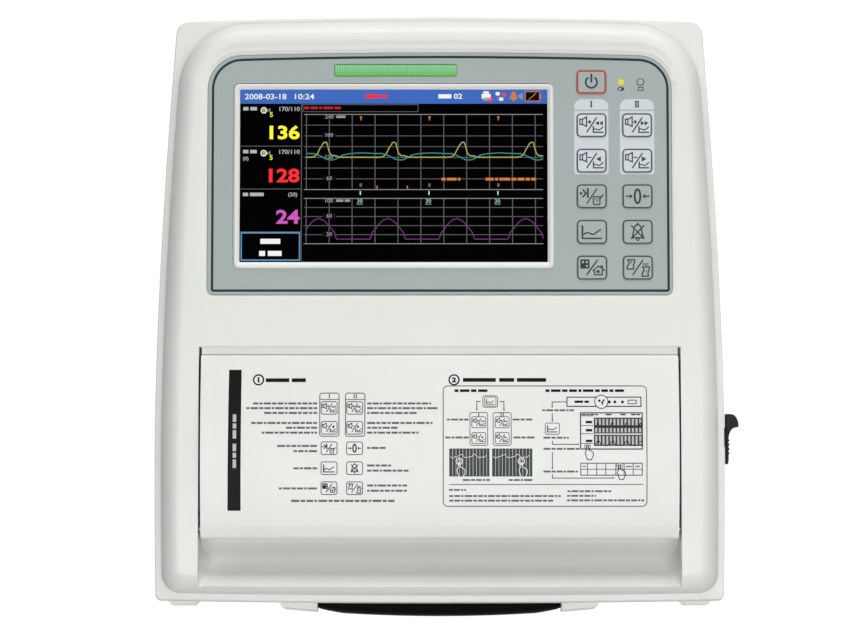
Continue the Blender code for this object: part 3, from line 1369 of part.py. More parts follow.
def make_hinge_pins(face):
    half = BAY_HALF_WIDTH - DOOR_SIDE_GAP
    for name, side in (("left", -1), ("right", 1)):
        outer = BAY_HALF_WIDTH + WALL + GAP
        steps = [
            (PIN_RADIUS, half - EAR_INSET - EAR_THICKNESS),
            (PIN_RADIUS, outer),
            (PIN_HEAD_RADIUS, outer),
            (PIN_HEAD_RADIUS, outer + PIN_HEAD_THICKNESS),
        ]
        profile = [(radius, side * u) for radius, u in steps]
        shape = turned(profile, (HINGE_V, -HINGE_DEPTH), across, SMALL_SIDES)
        add_piece(f"hinge_pin_{name}", shape, "bare_steel", face, (side * outer, HINGE_V, -HINGE_DEPTH))


# Printer


def make_gear(name, teeth, phase, centre, bore, ends, face):
    outline = [(centre[0] + a, centre[1] + b) for a, b in gear_outline(teeth, phase)]
    gear = add_piece(name, prism(outline, *ends, across), "gear_white", face, (ends[0], *centre))
    if bore:
        profile = [(bore, ends[0] - OVERRUN), (bore, ends[1] + OVERRUN)]
        cut(gear, turned(profile, centre, across, SMALL_SIDES), face, "bore")
    return gear


def make_platen(face):
    centre = (PLATEN_V, -PLATEN_DEPTH)
    left = -CHEEK_INNER_U + SHAFT_END_SPARE
    right = ARM_INNER_U + ARM_THICKNESS + SHAFT_END_SPARE
    shaft = turned([(SHAFT_RADIUS, left), (SHAFT_RADIUS, right)], centre, across, SMALL_SIDES)
    add_piece("platen_shaft", shaft, "bare_steel", face, (0, *centre))
    profile = [(PLATEN_RADIUS, -PLATEN_HALF_LENGTH), (PLATEN_RADIUS, PLATEN_HALF_LENGTH)]
    solid = turned(profile, centre, across, ROLLER_SIDES)
    roller = add_piece("platen_roller", solid, "platen_rubber", face, (0, *centre))
    reach = PLATEN_HALF_LENGTH + OVERRUN
    bore = SHAFT_RADIUS + GAP
    cut(roller, turned([(bore, -reach), (bore, reach)], centre, across, SMALL_SIDES), face, "bore")
    middle = ARM_INNER_U + ARM_THICKNESS / 2
    for name, side in (("left", -1), ("right", 1)):
        ends = sorted((side * (middle - BEARING_WIDTH / 2), side * (middle + BEARING_WIDTH / 2)))
        ring = turned([(BEARING_RADIUS, ends[0]), (BEARING_RADIUS, ends[1])], centre, across, ROUND_SIDES)
        bearing = add_piece(f"platen_bearing_{name}", ring, "bare_steel", face, (ends[0], *centre))
        hole = [(bore, ends[0] - OVERRUN), (bore, ends[1] + OVERRUN)]
        cut(bearing, turned(hole, centre, across, SMALL_SIDES), face, "bore")


def make_drive(face):
    """The gear train. Each gear has a gap where its neighbour has a tooth."""
    ends = (-GEAR_OUTER_U, -GEAR_INNER_U)
    idler_pitch = 2 * math.pi / IDLER_TEETH
    pinion_pitch = 2 * math.pi / PINION_TEETH
    platen_phase = -math.pi / 2
    idler_phase = math.pi / 2 + idler_pitch / 2
    pinion_phase = math.pi - idler_phase * IDLER_TEETH / PINION_TEETH + pinion_pitch / 2
    platen = (PLATEN_V, -PLATEN_DEPTH)
    idler = (PLATEN_V, -IDLER_DEPTH)
    pinion = (PINION_V, -IDLER_DEPTH)
    make_gear("platen_gear", PLATEN_TEETH, platen_phase, platen, SHAFT_RADIUS + GAP, ends, face)
    make_gear("idler_gear", IDLER_TEETH, idler_phase, idler, IDLER_PIN_RADIUS + GAP, ends, face)
    gear = make_gear("motor_pinion", PINION_TEETH, pinion_phase, pinion, 0, ends, face)
    tail = -CHEEK_OUTER_U - MOTOR_SHAFT_DEPTH
    shaft = add_rod(MOTOR_SHAFT_RADIUS, (tail, ends[0] + GEAR_WIDTH / 2), pinion, across, bmesh.new())
    join(gear, shaft, face, "shaft")
    head = ends[1] + GAP
    profile = [
        (IDLER_PIN_RADIUS, -CHEEK_OUTER_U),
        (IDLER_PIN_RADIUS, head),
        (IDLER_PIN_HEAD, head),
        (IDLER_PIN_HEAD, head + IDLER_PIN_HEAD_THICKNESS),
    ]
    add_piece("idler_pin", turned(profile, idler, across, SMALL_SIDES), "bare_steel", face, (head, *idler))
    near = -CHEEK_OUTER_U - GAP
    body = [
        (MOTOR_RADIUS, near - MOTOR_LENGTH),
        (MOTOR_RADIUS, near),
    ]
    motor = add_piece("feed_motor", turned(body, pinion, across), "bare_steel", face, (near, *pinion))
    bore = MOTOR_SHAFT_RADIUS + GAP
    hole = [(bore, near - MOTOR_SHAFT_DEPTH - GAP), (bore, near + OVERRUN)]
    cut(motor, turned(hole, pinion, across, SMALL_SIDES), face, "bore")


def make_chassis(face):
    back, low, top = CHASSIS_BACK_V, -BAY_WALL_DEPTH, -CHASSIS_TOP_DEPTH
    sheet = CHEEK_THICKNESS
    outline = [
        (back - CHASSIS_FLANGE, low),
        (back, low),
        (back, top),
        (back - sheet, top),
        (back - sheet, low + sheet),
        (back - CHASSIS_FLANGE, low + sheet),
    ]
    wide = CHEEK_INNER_U + sheet / 2
    chassis = add_piece("printer_chassis", prism(outline, -wide, wide, across), "bare_steel", face)
    right = [(CHEEK_FRONT_V, low), (back, low), (back, top), (CHEEK_FRONT_V, top)]
    join(chassis, prism(right, CHEEK_INNER_U, CHEEK_OUTER_U, across), face, "right_cheek")
    deep = -IDLER_DEPTH - MOTOR_RADIUS
    far = PINION_V + MOTOR_RADIUS
    left = [(CHEEK_FRONT_V, deep), (far, deep), (far, top * 2), (back, top), (CHEEK_FRONT_V, top)]
    join(chassis, prism(left, -CHEEK_OUTER_U, -CHEEK_INNER_U, across), face, "left_cheek")
    shape = bmesh.new()
    ends = (-CHEEK_OUTER_U - OVERRUN, -CHEEK_INNER_U + OVERRUN)
    for centre, radius in (
        ((PLATEN_V, -IDLER_DEPTH), IDLER_PIN_RADIUS + GAP),
        ((PINION_V, -IDLER_DEPTH), MOTOR_SHAFT_RADIUS + GAP),
    ):
        turned([(radius, ends[0]), (radius, ends[1])], centre, across, SMALL_SIDES, shape)
    cut(chassis, shape, face, "pin_holes")
    gear_room = (-CHEEK_INNER_U, back - CHASSIS_FLANGE - OVERRUN, low - OVERRUN)
    room_end = (-GEAR_INNER_U + GAP * 3, back + OVERRUN, low + CHASSIS_FLANGE / 2)
    cut(chassis, box(gear_room, room_end), face, "gear_room")


def make_print_head(face):
    front, back = HEAD_FRONT_V, CHASSIS_BACK_V - CHEEK_THICKNESS - GAP
    low, top = -HEAD_LOW_DEPTH, -CHASSIS_TOP_DEPTH
    outline = [
        (front + HEAD_CHAMFER, low),
        (back, low),
        (back, top),
        (front + HEAD_CHAMFER, top),
        (front, top - HEAD_CHAMFER),
        (front, low + HEAD_CHAMFER),
    ]
    add_piece("print_head", prism(outline, -HEAD_HALF_LENGTH, HEAD_HALF_LENGTH, across), "aluminium", face)


def make_tray(face):
    wide = BAY_HALF_WIDTH + WALL
    high = -BAY_WALL_DEPTH - GAP
    low = high - TRAY_PLATE
    plate = (TROUGH_END_V + GAP, BAY_TOP_V + WALL)
    tray = add_piece("paper_tray", box((-wide, plate[0], low), (wide, plate[1], high)), "black_plastic", face)
    outer = TRAY_HALF_WIDTH + TRAY_WALL
    tub_low = (-outer, TRAY_FRONT_V - TRAY_WALL, -TRAY_DEPTH)
    tub_high = (outer, TRAY_BACK_V + TRAY_WALL, low + TRAY_PLATE / 2)
    join(tray, box(tub_low, tub_high), face, "tub")
    inner = (-TRAY_HALF_WIDTH, TRAY_FRONT_V, -TRAY_DEPTH + TRAY_WALL)
    cut(tray, box(inner, (TRAY_HALF_WIDTH, TRAY_BACK_V, high + OVERRUN)), face, "inside")
    notch = (-DRIVE_NOTCH_OUTER, DRIVE_NOTCH_V, low - OVERRUN)
    cut(tray, box(notch, (-DRIVE_NOTCH_INNER, plate[1] + OVERRUN, high + OVERRUN)), face, "drive_notch")


# Door latch


def make_lever(face):
    wall = CASE_HALF + GAP
    low, high = LEVER_LOW_V, LEVER_HIGH_V
    span = high - low
    outline = [(wall, high)]
    out = LEVER_REACH - GAP - LEVER_BODY
    outline += [(wall + LEVER_BODY + out * a, low + span * b) for a, b in HOOK_SHARES]
    for k in reversed(range(LEVER_RIB_COUNT)):
        v = LEVER_FIRST_RIB_V + LEVER_RIB_PITCH * k
        quarter = LEVER_RIB_PITCH / 4
        outline += [
            (wall + LEVER_BODY, v + quarter * 2),
            (wall + LEVER_BODY + LEVER_RIB, v + quarter),
            (wall + LEVER_BODY + LEVER_RIB, v - quarter),
            (wall + LEVER_BODY, v - quarter * 1.6),
        ]
    outline += [(wall + LEVER_BODY, low + LEVER_BODY), (wall + LEVER_BODY / 2, low), (wall, low)]
    w = -LEVER_TOP_DEPTH
    origin = (wall, low, w)
    lever = add_piece("release_lever", prism(outline, w - LEVER_HEIGHT, w), "black_plastic", face, origin)
    middle = -SLIDE_DEPTH - SLIDE_THICKNESS / 2
    half = LEVER_STEM_HEIGHT / 2
    stem_low = (SLIDE_OUTER_U + GAP, LEVER_STEM_LOW_V, middle - half)
    stem_high = (wall + LEVER_BODY / 2, LEVER_STEM_HIGH_V, middle + half)
    join(lever, box(stem_low, stem_high), face, "stem")


def make_latch_slide(face):
    high, low = -SLIDE_DEPTH, -SLIDE_DEPTH - SLIDE_THICKNESS
    outline = [
        (SLIDE_INNER_U, SLIDE_LOW_V),
        (SLIDE_OUTER_U, SLIDE_LOW_V),
        (SLIDE_OUTER_U, SLIDE_HIGH_V),
        (HOOK_END_U, SLIDE_HIGH_V),
        (HOOK_END_U, HOOK_LOW_V),
        (SLIDE_INNER_U, HOOK_LOW_V),
    ]
    add_piece("latch_slide", prism(outline, low, high), "bare_steel", face, (SLIDE_INNER_U, SLIDE_LOW_V, low))


def make_spring(face):
    """The coil that pushes the slide back, one unbroken tube."""
    curve = bpy.data.curves.new("lever_spring", "CURVE")
    curve.dimensions = "3D"
    curve.bevel_depth = SPRING_WIRE
    curve.bevel_resolution = 1
    curve.use_fill_caps = True
    line = curve.splines.new("POLY")
    count = SPRING_TURNS * SPRING_TURN_POINTS
    line.points.add(count)
    coil = SPRING_RADIUS - SPRING_WIRE
    start = SLIDE_HIGH_V + GAP + SPRING_WIRE
    length = SPRING_LENGTH - 2 * SPRING_WIRE
    for k in range(count + 1):
        turn = 2 * math.pi * k / SPRING_TURN_POINTS
        place = (coil * math.cos(turn), length * k / count, coil * math.sin(turn), 1)
        line.points[k].co = place
    spring = bpy.data.objects.new("lever_spring", curve)
    bpy.context.collection.objects.link(spring)
    spring.parent = face
    spring.location = (SPRING_U, start, -SPRING_DEPTH)
    spring.data.materials.append(FINISH["bare_steel"])


# Inside and connectors


def make_board(stand):
    left, right = BOARD_X - BOARD_HALF_WIDTH, BOARD_X + BOARD_HALF_WIDTH
    board = add_piece(
        "main_board",
        box((left, BOARD_FRONT_Y, BOARD_LOW_Z), (right, BOARD_REAR_Y, BOARD_LOW_Z + BOARD_THICKNESS)),
        "board_green",
        stand,
    )
    middle = (BOARD_FRONT_Y + BOARD_REAR_Y) / 2
    top = BOARD_LOW_Z + BOARD_THICKNESS
    shape = bmesh.new()
    for k in (-1, 0, 1):
        outline = rectangle(CHIP_WIDTH, CHIP_WIDTH, (BOARD_X + k * CHIP_WIDTH * 2, middle))
        prism(outline, top - BOARD_THICKNESS / 2, top + CHIP_HEIGHT, outward, shape)
    join(board, shape, stand, "chips")


def make_battery(stand):
    cover_low = FOOT_HEIGHT
    size = (BATTERY_WIDTH + 2 * COVER_BORDER, BATTERY_LENGTH + 2 * COVER_BORDER)
    plate = prism(rectangle(*size, (BATTERY_X, BATTERY_Y)), cover_low, cover_low + COVER_THICKNESS)
    cover = add_piece("battery_cover", plate, "case_white", stand)
    shape = bmesh.new()
    for k in (-1, 1):
        place = (BATTERY_X + size[0] / 2 - COVER_GRIP_LENGTH, BATTERY_Y + k * COVER_GRIP_WIDTH)
        prism(
            rectangle(COVER_GRIP_LENGTH, COVER_GRIP_WIDTH, place),
            cover_low - OVERRUN,
            cover_low + COVER_GRIP_DEPTH,
            outward,
            shape,
        )
    cut(cover, shape, stand, "finger_grip")
    low = cover_low + COVER_THICKNESS + GAP
    outline = rectangle(BATTERY_WIDTH, BATTERY_LENGTH, (BATTERY_X, BATTERY_Y), BATTERY_ROUND)
    add_piece("battery_pack", prism(outline, low, low + BATTERY_HEIGHT), "battery_wrap", stand)


def make_speaker(stand):
    low = BASE_TOP_Z + GAP
    profile = [
        (SPEAKER_RADIUS, low),
        (SPEAKER_RADIUS, low + SPEAKER_CONE_HEIGHT / 3),
        (SPEAKER_MAGNET_RADIUS, low + SPEAKER_CONE_HEIGHT),
        (SPEAKER_MAGNET_RADIUS, low + SPEAKER_HEIGHT),
    ]
    add_piece("speaker", turned(profile, (SPEAKER_X, SPEAKER_Y), outward), "black_plastic", stand)


def make_sockets(stand):
    floor = -SOCKET_PANEL_X
    flange = floor - GAP - SOCKET_FLANGE_THICKNESS
    mouth = flange - SOCKET_BARREL_LENGTH
    for k, name in enumerate(SOCKET_NAMES):
        profile = [
            (SOCKET_BODY_RADIUS, floor + SOCKET_REAR_LENGTH),
            (SOCKET_BODY_RADIUS, floor - GAP),
            (SOCKET_FLANGE_RADIUS, floor - GAP),
            (SOCKET_FLANGE_RADIUS, flange),
            (SOCKET_BARREL_RADIUS, flange),
            (SOCKET_BARREL_RADIUS, mouth),
            (SOCKET_BORE_RADIUS, mouth),
            (SOCKET_BORE_RADIUS, mouth + SOCKET_BORE_DEPTH),
        ]
        centre = (socket_y(k), PANEL_MID_Z)
        add_piece(name, turned(profile, centre, across), "socket_grey", stand, (floor, *centre))


def make_ports(stand):
    mouth = PORT_PANEL_Y + PORT_PROUD
    back = PORT_PANEL_Y - PORT_DEPTH
    ports = {}
    for name, (x, width, height) in zip(("dc_inlet", "lan_port", "usb_port"), port_places()):
        shape = prism(rectangle(width, height, (x, PANEL_MID_Z)), back, mouth, along)
        finish = "black_plastic" if name == "dc_inlet" else "bare_steel"
        ports[name] = add_piece(name, shape, finish, stand, (x, mouth, PANEL_MID_Z))
    bore_end = mouth - LAN_HOLE_DEPTH
    inlet = (INLET_X, PANEL_MID_Z)
    profile = [(INLET_BORE_RADIUS, bore_end), (INLET_BORE_RADIUS, mouth + OVERRUN)]
    cut(ports["dc_inlet"], turned(profile, inlet, along), stand, "bore")
    ends = (bore_end - PORT_PROUD, mouth - PORT_PROUD)
    join(ports["dc_inlet"], add_rod(INLET_PIN_RADIUS, ends, inlet, along, bmesh.new()), stand, "pin")
    hole = rectangle(LAN_HOLE_WIDTH, LAN_HOLE_HEIGHT, (LAN_X, PANEL_MID_Z))
    cut(ports["lan_port"], prism(hole, bore_end, mouth + OVERRUN, along), stand, "hole")
    usb_end = mouth - USB_HOLE_DEPTH
    hole = rectangle(USB_HOLE_WIDTH, USB_HOLE_HEIGHT, (USB_X, PANEL_MID_Z))
    cut(ports["usb_port"], prism(hole, usb_end, mouth + OVERRUN, along), stand, "hole")
    tongue = rectangle(USB_TONGUE_WIDTH, USB_TONGUE_HEIGHT, (USB_X, PANEL_MID_Z))
    join(ports["usb_port"], prism(tongue, usb_end - PORT_PROUD, mouth - PORT_PROUD, along), stand, "tongue")


clear_scene()
FINISH = {name: make_finish(name) for name in FINISHES}
STAND = make_empty("stand", (-LEVER_REACH / 2, -(REAR_Y - HANDLE_REACH) / 2, 0))
FACE = make_empty("face", (0, 0, ORIGIN_HEIGHT), STAND, SLOPE)
make_front_cover(FACE)
make_rear_case(STAND)
make_handle_grip(STAND)
make_feet(STAND)
make_screws(FACE)
make_overlay(FACE)
make_keys(FACE)
make_lamps(FACE)
make_screen(FACE)
make_key_board(FACE)
make_door(FACE)
make_hinge_pins(FACE)
make_platen(FACE)
make_drive(FACE)
make_chassis(FACE)
make_print_head(FACE)
make_tray(FACE)
make_lever(FACE)
make_latch_slide(FACE)
make_spring(FACE)
make_board(STAND)
make_battery(STAND)
make_speaker(STAND)
make_sockets(STAND)
make_ports(STAND)
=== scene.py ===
"""Dresses a desktop cardiotocograph: its case, membrane panel, screen, keys, paper door and fittings.

Lengths are metres. The front is a flat face that slopes up to the rear: u runs across it, v up it from the
lower flange edge, and w out of it. Prints are drawn in millimetres and laid on their surface.
"""

import math

import bmesh
import bpy
from mathutils import Matrix, Vector


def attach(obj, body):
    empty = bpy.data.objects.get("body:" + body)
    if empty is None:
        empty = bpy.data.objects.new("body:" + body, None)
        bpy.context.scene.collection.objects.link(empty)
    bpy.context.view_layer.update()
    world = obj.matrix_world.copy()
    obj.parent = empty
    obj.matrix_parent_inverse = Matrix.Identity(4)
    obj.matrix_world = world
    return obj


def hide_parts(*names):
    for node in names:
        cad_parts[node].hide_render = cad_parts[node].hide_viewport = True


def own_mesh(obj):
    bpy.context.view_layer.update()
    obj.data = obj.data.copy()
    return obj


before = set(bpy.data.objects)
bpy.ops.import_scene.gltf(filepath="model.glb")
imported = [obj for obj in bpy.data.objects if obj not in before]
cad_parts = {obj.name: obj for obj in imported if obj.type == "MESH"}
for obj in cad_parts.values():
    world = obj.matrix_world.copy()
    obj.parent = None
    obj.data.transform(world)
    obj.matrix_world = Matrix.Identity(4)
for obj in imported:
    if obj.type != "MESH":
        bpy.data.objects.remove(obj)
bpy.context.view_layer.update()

bpy.ops.object.select_all(action="DESELECT")

bl_info = {
    "name": "Cardiotocograph",
    "version": (1, 0, 0),
    "blender": (4, 5, 0),
    "location": "View3D > Sidebar > Cardiotocograph",
    "description": "Dresses a packed cardiotocograph with its detailed pieces and finishes",
    "category": "Object",
}

MM = 0.001
SLOPE = math.radians(8)
FACE_ORIGIN = Vector((-0.0032, -0.14788, 0.053211))
FACE = Matrix.Translation(FACE_ORIGIN) @ Matrix.Rotation(SLOPE, 4, "X")
STAND = Matrix.Translation((FACE_ORIGIN.x, FACE_ORIGIN.y, 0))
HERE = Matrix.Identity(4)

# Case
CASE_WIDTH = 0.2896
CASE_LENGTH = 0.2964
WIDEST_V = 0.085
TOP_TAPER = 0.0102
TAPER_POWER = 1.6
TOP_LIFT = 0.0010
BOTTOM_TAPER = 0.0009
TOP_ARCH = 0.0025
BOTTOM_BOW = 0.0013
SKIRT_DRAFT = 0.0013
FLANGE_DEPTH = 0.0134
PARTING_DEPTH = 0.027
WALL = 0.0026
GAP = 0.0003
OVERRUN = 0.004
# Upper and lower corner radius: of the skirt, at the foot of the rounding, and what they lose up to its top
SKIRT_CORNERS = (0.0065, 0.003)
FOOT_CORNERS = (0.0345, 0.010)
CORNER_LOSS = (0.0085, 0.006)
# Inset and height of each step of the skirt's soft upper edge, and of the crease between flange and rounding
SKIRT_EDGE = ((0.00125, -0.0012), (0.00134, -0.0006), (0.0016, -0.0002), (0.0020, 0.0))
CREASE = ((0.0040, 0.0), (0.0045, 0.0001), (0.0048, 0.0004))
# Heights under the face: the wall's inside, where other walls join it, and the foot of the panel's thick pad
INNER_W = -0.0028
JOIN_W = -0.0014
PAD_BORDER = 0.004
PAD_W = -0.005
# Posts under the cover, as radius, foot and top, and where they stand
CASE_POST = (0.004, -PARTING_DEPTH, -0.0045)
BRACKET_POST = (0.003, -0.012, -0.0047)
BOARD_POST = (0.002, -0.007, -0.0047)
CASE_POSTS = ((-0.1325, 0.022), (0.1325, 0.022), (-0.118, 0.272), (0.118, 0.272))
BRACKET_POST_U = 0.08654
BRACKET_POST_V = 0.040
SCREW_HOLE = (0.0018, -0.031, -0.019)

# Panel and screen
OVERLAY_LOW = 0.1538
OVERLAY_HIGH = 0.2758
OVERLAY_HALF = 0.1164
OVERLAY_ARCH = 0.0019
OVERLAY_CORNER = 0.0169
OVERLAY_LOW_CORNER = 0.003
OVERLAY_TOP = -0.0009
OVERLAY_THICKNESS = 0.0012
OVERLAY_CUT = -0.0065
RECESS_FLOOR = -0.0024
SCREEN_WIDTH = 0.15408
SCREEN_HEIGHT = 0.08592
SCREEN_U = -0.0234
SCREEN_V = 0.2140
SCREEN_TOP = -0.0038
GLASS_BORDER = 0.0031
GLASS_THICKNESS = 0.0014
# How much farther the window and its frame reach: to the left, the right, below and above
WINDOW_MORE = (0.0, 0.0006, 0.0009, 0.0005)
FRAME_MORE = (-0.0004, 0.0004, 0.0009, -0.0001)
# Border, corner radius and height of each level of the screen's raised frame, and of the window in it
FRAME_LEVELS = (
    (0.0031, 0.0025, -0.0032), (0.0031, 0.0025, -0.0009), (0.0028, 0.0022, -0.0005),
    (0.0024, 0.0018, -0.0003),
)
WINDOW_LEVELS = (
    (0.0017, 0.0012, OVERRUN), (0.0017, 0.0012, -0.0003), (0.0012, 0.0010, -0.0006), (0, 0.0006, -0.0016),
    (0, 0.0006, -0.0075),
)

# Keys, lamp and indicators
KEY_WIDTH = 0.0148
KEY_HEIGHT = 0.0119
KEY_RADIUS = 0.0022
KEY_TOP = -0.0005
KEY_LEFT_U = 0.0763
KEY_RIGHT_U = 0.0992
KEY_FIRST_ROW_V = 0.2391
KEY_PITCH_V = 0.01795
POWER_KEY_V = 0.2610
WELL_FLOOR = -0.009
GUARD_REACH = 0.0011
GUARD_LOW = -0.0065
GUARD_HIGH = -0.0053
LED_V = 0.2610
POWER_LED_U = 0.0913
BATTERY_LED_U = 0.1010
LED_RADIUS = 0.0015
LED_DOME = 0.0003
LAMP_WIDTH = 0.0614
LAMP_HEIGHT = 0.0058
LAMP_U = -0.0221
LAMP_V = 0.2670
LAMP_RIBS = 49
RIB_STEPS = 6
RIB_DEPTH = 0.00022
# Place across the lens, as a share of its height, and how far it lies below the top there
LAMP_SECTION = ((-0.5, 0.0005), (-0.47, 0.0002), (-0.42, 0.0), (0.42, 0.0), (0.47, 0.0002), (0.5, 0.0005))
# Painted bands of highlight and shade on the lens, from its lower to its upper edge: their place and their
# share of its colour
LAMP_PAINTED_BANDS = (
    (0.0, (0.72, 0.92, 0.34)), (0.24, (0.80, 0.98, 0.50)), (0.42, (1.0, 1.0, 1.0)), (0.72, (1.1, 1.0, 1.1)),
    (0.82, (1.35, 1.16, 1.5)), (0.9, (0.85, 0.92, 0.6)), (1.0, (0.6, 0.8, 0.3)),
)

# Bay and door
BAY_HALF = 0.1203
BAY_TOP_V = 0.1275
BAY_DEPTH = 0.0226
CREST_V = 0.0082
CREST_DEPTH = 0.0023
TROUGH_LENGTH = 0.0235
TROUGH_DEPTH = 0.0175
TROUGH_WALL = 0.0027
# The soft corners at the trough's ends: radius, how far down they go, and how they start and fade
FILLET_RADIUS = 0.0068
FILLET_SHARE = 0.87
FILLET_OF_DEPTH = 0.8
FILLET_LEAST = 0.05
FILLET_FADE = 0.32
# The thin nose over the bay's edge above the door, in section (v, w)
BAY_NOSE = ((0.1251, -0.0050), (0.1232, -0.0050), (0.1232, -0.0041), (0.1234, -0.0039), (BAY_TOP_V, -0.0033))
# Beside the door: the undercut in each wall of the bay, and the black strip in it, painted shadow that keeps
# the gap dark
UNDERCUT_U = (BAY_HALF - 0.0002, BAY_HALF + 0.0012)
UNDERCUT_TOP = -0.0024
STRIP_U = (BAY_HALF + 0.0001, BAY_HALF + 0.0013)
STRIP_V = (0.0346, 0.1209)
STRIP_W = (-0.0059, -0.0025)
DOOR_HALF = 0.1191
DOOR_LOW_V = 0.0320
DOOR_HIGH_V = 0.1238
DOOR_CROWN = 0.0036
DOOR_SINK = 0.0008
DOOR_LIP_V = 0.0389
DOOR_LIP_DEPTH = 0.0075
DOOR_WALL = 0.0026
DOOR_EDGE = 0.0022
DOOR_BEND = 0.0034
HINGE_V = 0.0370
HINGE_DEPTH = 0.0085
PIN_RADIUS = 0.0023
EAR_RADIUS = 0.0046
PLATEN_V = 0.1183
PLATEN_DEPTH = 0.0112
PLATEN_HALF = 0.0765
BEARING_RADIUS = 0.0053
ARM_RADIUS = 0.0062

# Handle
HANDLE_REACH = 0.0028
HANDLE_BOW = 0.0039
LUG_HALF = 0.079
GRIP_HALF = 0.062
GRIP_TAPER = 0.0124
GRIP_END = 0.8
GRIP_CORNER = 0.0042
HANDLE_SIDE = 0.013
HANDLE_LOW = 0.0075
CORE_HALF = 0.066
CORE_NEAR = 0.0027
CORE_FAR = 0.0103

# Latch: the lever's edge is in millimetres out from the case and up the face
LEVER_WALL = 0.14495
LEVER_HOOK = (
    (0, 94.5), (2.3, 94.5), (3.3, 94.2), (4.1, 93.8), (5.0, 92.7), (5.6, 91.5), (6.0, 90.1), (6.15, 88.9),
    (6.1, 88.3), (5.8, 87.9), (5.0, 87.7), (3.8, 87.5), (2.8, 86.8), (2.0, 85.7), (1.4, 84.3), (1.1, 82.8),
)
LEVER_FOOT = ((1.0, 71.0), (0.8, 69.7), (0.4, 69.1), (0, 69.0))
LEVER_W = (-0.0245, -0.0165)
# Blocks joined to the cover or cut from it, as two opposite corners (u, v, w)
SPRING_SEAT = ((0.12925, 0.1409, -0.02375), (0.13725, 0.1429, -0.0108))
SLIDE_GUIDE = ((0.1216, 0.098, -BAY_DEPTH), (0.1307, 0.108, -0.016))
LEVER_SLOT = ((0.137, 0.0777, -0.02205), (0.1488, 0.0938, -0.01745))
HOOK_NOTCH = ((0.1138, 0.1215, -0.0266), (0.1269, 0.1341, -0.0182))

# Probe sockets, in the left wall
SOCKET_X = -0.130
SOCKET_Y = 0.198
SOCKET_Z = 0.031
SOCKET_PITCH = 0.024
CONTACT_CIRCLE = 0.0034


class CaseSizes(bpy.types.PropertyGroup):
    """Sizes of the case's upper half."""

    width: bpy.props.FloatProperty(
        name="Width", description="Width at the parting line", default=CASE_WIDTH, unit="LENGTH")
    length: bpy.props.FloatProperty(
        name="Face length", description="Length of the face along its slope", default=CASE_LENGTH,
        unit="LENGTH")
    flange: bpy.props.FloatProperty(
        name="Flange", description="Width of the flat flange round the case", default=0.0036, unit="LENGTH")
    pillow: bpy.props.FloatProperty(
        name="Rounding", description="Width of the rounding inside the flange", default=0.0105, unit="LENGTH")
    recess: bpy.props.FloatProperty(
        name="Recess border", description="Width of the sloping border round the panel", default=0.0030,
        unit="LENGTH")


class PrintSizes(bpy.types.PropertyGroup):
    """Line widths of the prints."""

    key_line: bpy.props.FloatProperty(
        name="Key outline", description="Line round each key", default=0.0006, unit="LENGTH")
    panel_line: bpy.props.FloatProperty(
        name="Panel line", description="Dark line round the panel", default=0.0012, unit="LENGTH")
    thickness: bpy.props.FloatProperty(
        name="Ink", description="How far a print stands off its surface", default=0.00004, unit="LENGTH")


class FinishColours(bpy.types.PropertyGroup):
    """Colours of the finishes, as linear light."""

    case: bpy.props.FloatVectorProperty(
        name="Case", description="Moulded case", subtype="COLOR", size=3, default=(0.77, 0.78, 0.745))
    door: bpy.props.FloatVectorProperty(
        name="Door", description="Paper door", subtype="COLOR", size=3, default=(0.79, 0.80, 0.765))
    panel: bpy.props.FloatVectorProperty(
        name="Panel", description="Membrane panel", subtype="COLOR", size=3, default=(0.375, 0.43, 0.42))
    pad: bpy.props.FloatVectorProperty(
        name="Pads", description="Pale pads behind the volume keys", subtype="COLOR", size=3,
        default=(0.62, 0.67, 0.70))
    ink: bpy.props.FloatVectorProperty(
        name="Ink", description="Dark print", subtype="COLOR", size=3, default=(0.035, 0.045, 0.045))
    ring: bpy.props.FloatVectorProperty(
        name="Power ring", description="Line round the power key", subtype="COLOR", size=3,
        default=(0.48, 0.045, 0.02))
    lamp: bpy.props.FloatVectorProperty(
        name="Lamp", description="Alarm lamp lens", subtype="COLOR", size=3, default=(0.20, 0.50, 0.225))


# Modelling helpers


def clear_selection():
    if bpy.context.mode != "OBJECT":
        bpy.ops.object.mode_set(mode="OBJECT")
    bpy.ops.object.select_all(action="DESELECT")


def pick(piece):
    clear_selection()
    piece.select_set(True)
    bpy.context.view_layer.objects.active = piece
    return piece


def apply_last(piece):
    pick(piece)
    bpy.ops.object.modifier_apply(modifier=piece.modifiers[-1].name)


def lay_ring(piece, points):
    """Puts the selected points of a piece in edit mode on the next ring."""
    shape = bmesh.from_edit_mesh(piece.data)
    order = shape.verts.layers.int["order"]
    for vert in shape.verts:
        if vert.select:
            vert.co = points[vert[order]]
    bmesh.update_edit_mesh(piece.data)


def loft(name, rings):
    """A closed solid: a filled circle, laid on the first ring and extruded to each of the others."""
    clear_selection()
    bpy.ops.mesh.primitive_circle_add(vertices=len(rings[0]), radius=1, fill_type="NGON")
    piece = bpy.context.object
    piece.name = name
    order = piece.data.attributes.new("order", "INT", "POINT")
    order.data.foreach_set("value", range(len(rings[0])))
    bpy.ops.object.mode_set(mode="EDIT")
    bpy.ops.mesh.select_all(action="SELECT")
    lay_ring(piece, rings[0])
    for points in rings[1:]:
        bpy.ops.mesh.extrude_region_move()
        lay_ring(piece, points)
    bpy.ops.mesh.select_all(action="SELECT")
    bpy.ops.mesh.normals_make_consistent(inside=False)
    bpy.ops.object.mode_set(mode="OBJECT")
    piece.data.attributes.remove(piece.data.attributes["order"])
    return piece


def across(a, b, c):
    """An outline drawn in (v, w), run along u."""
    return Vector((c, a, b))


def outward(a, b, c):
    """An outline drawn in (u, v), run along w."""
    return Vector((a, b, c))


def along(a, b, c):
    """An outline drawn in (x, z), run along y."""
    return Vector((a, c, b))


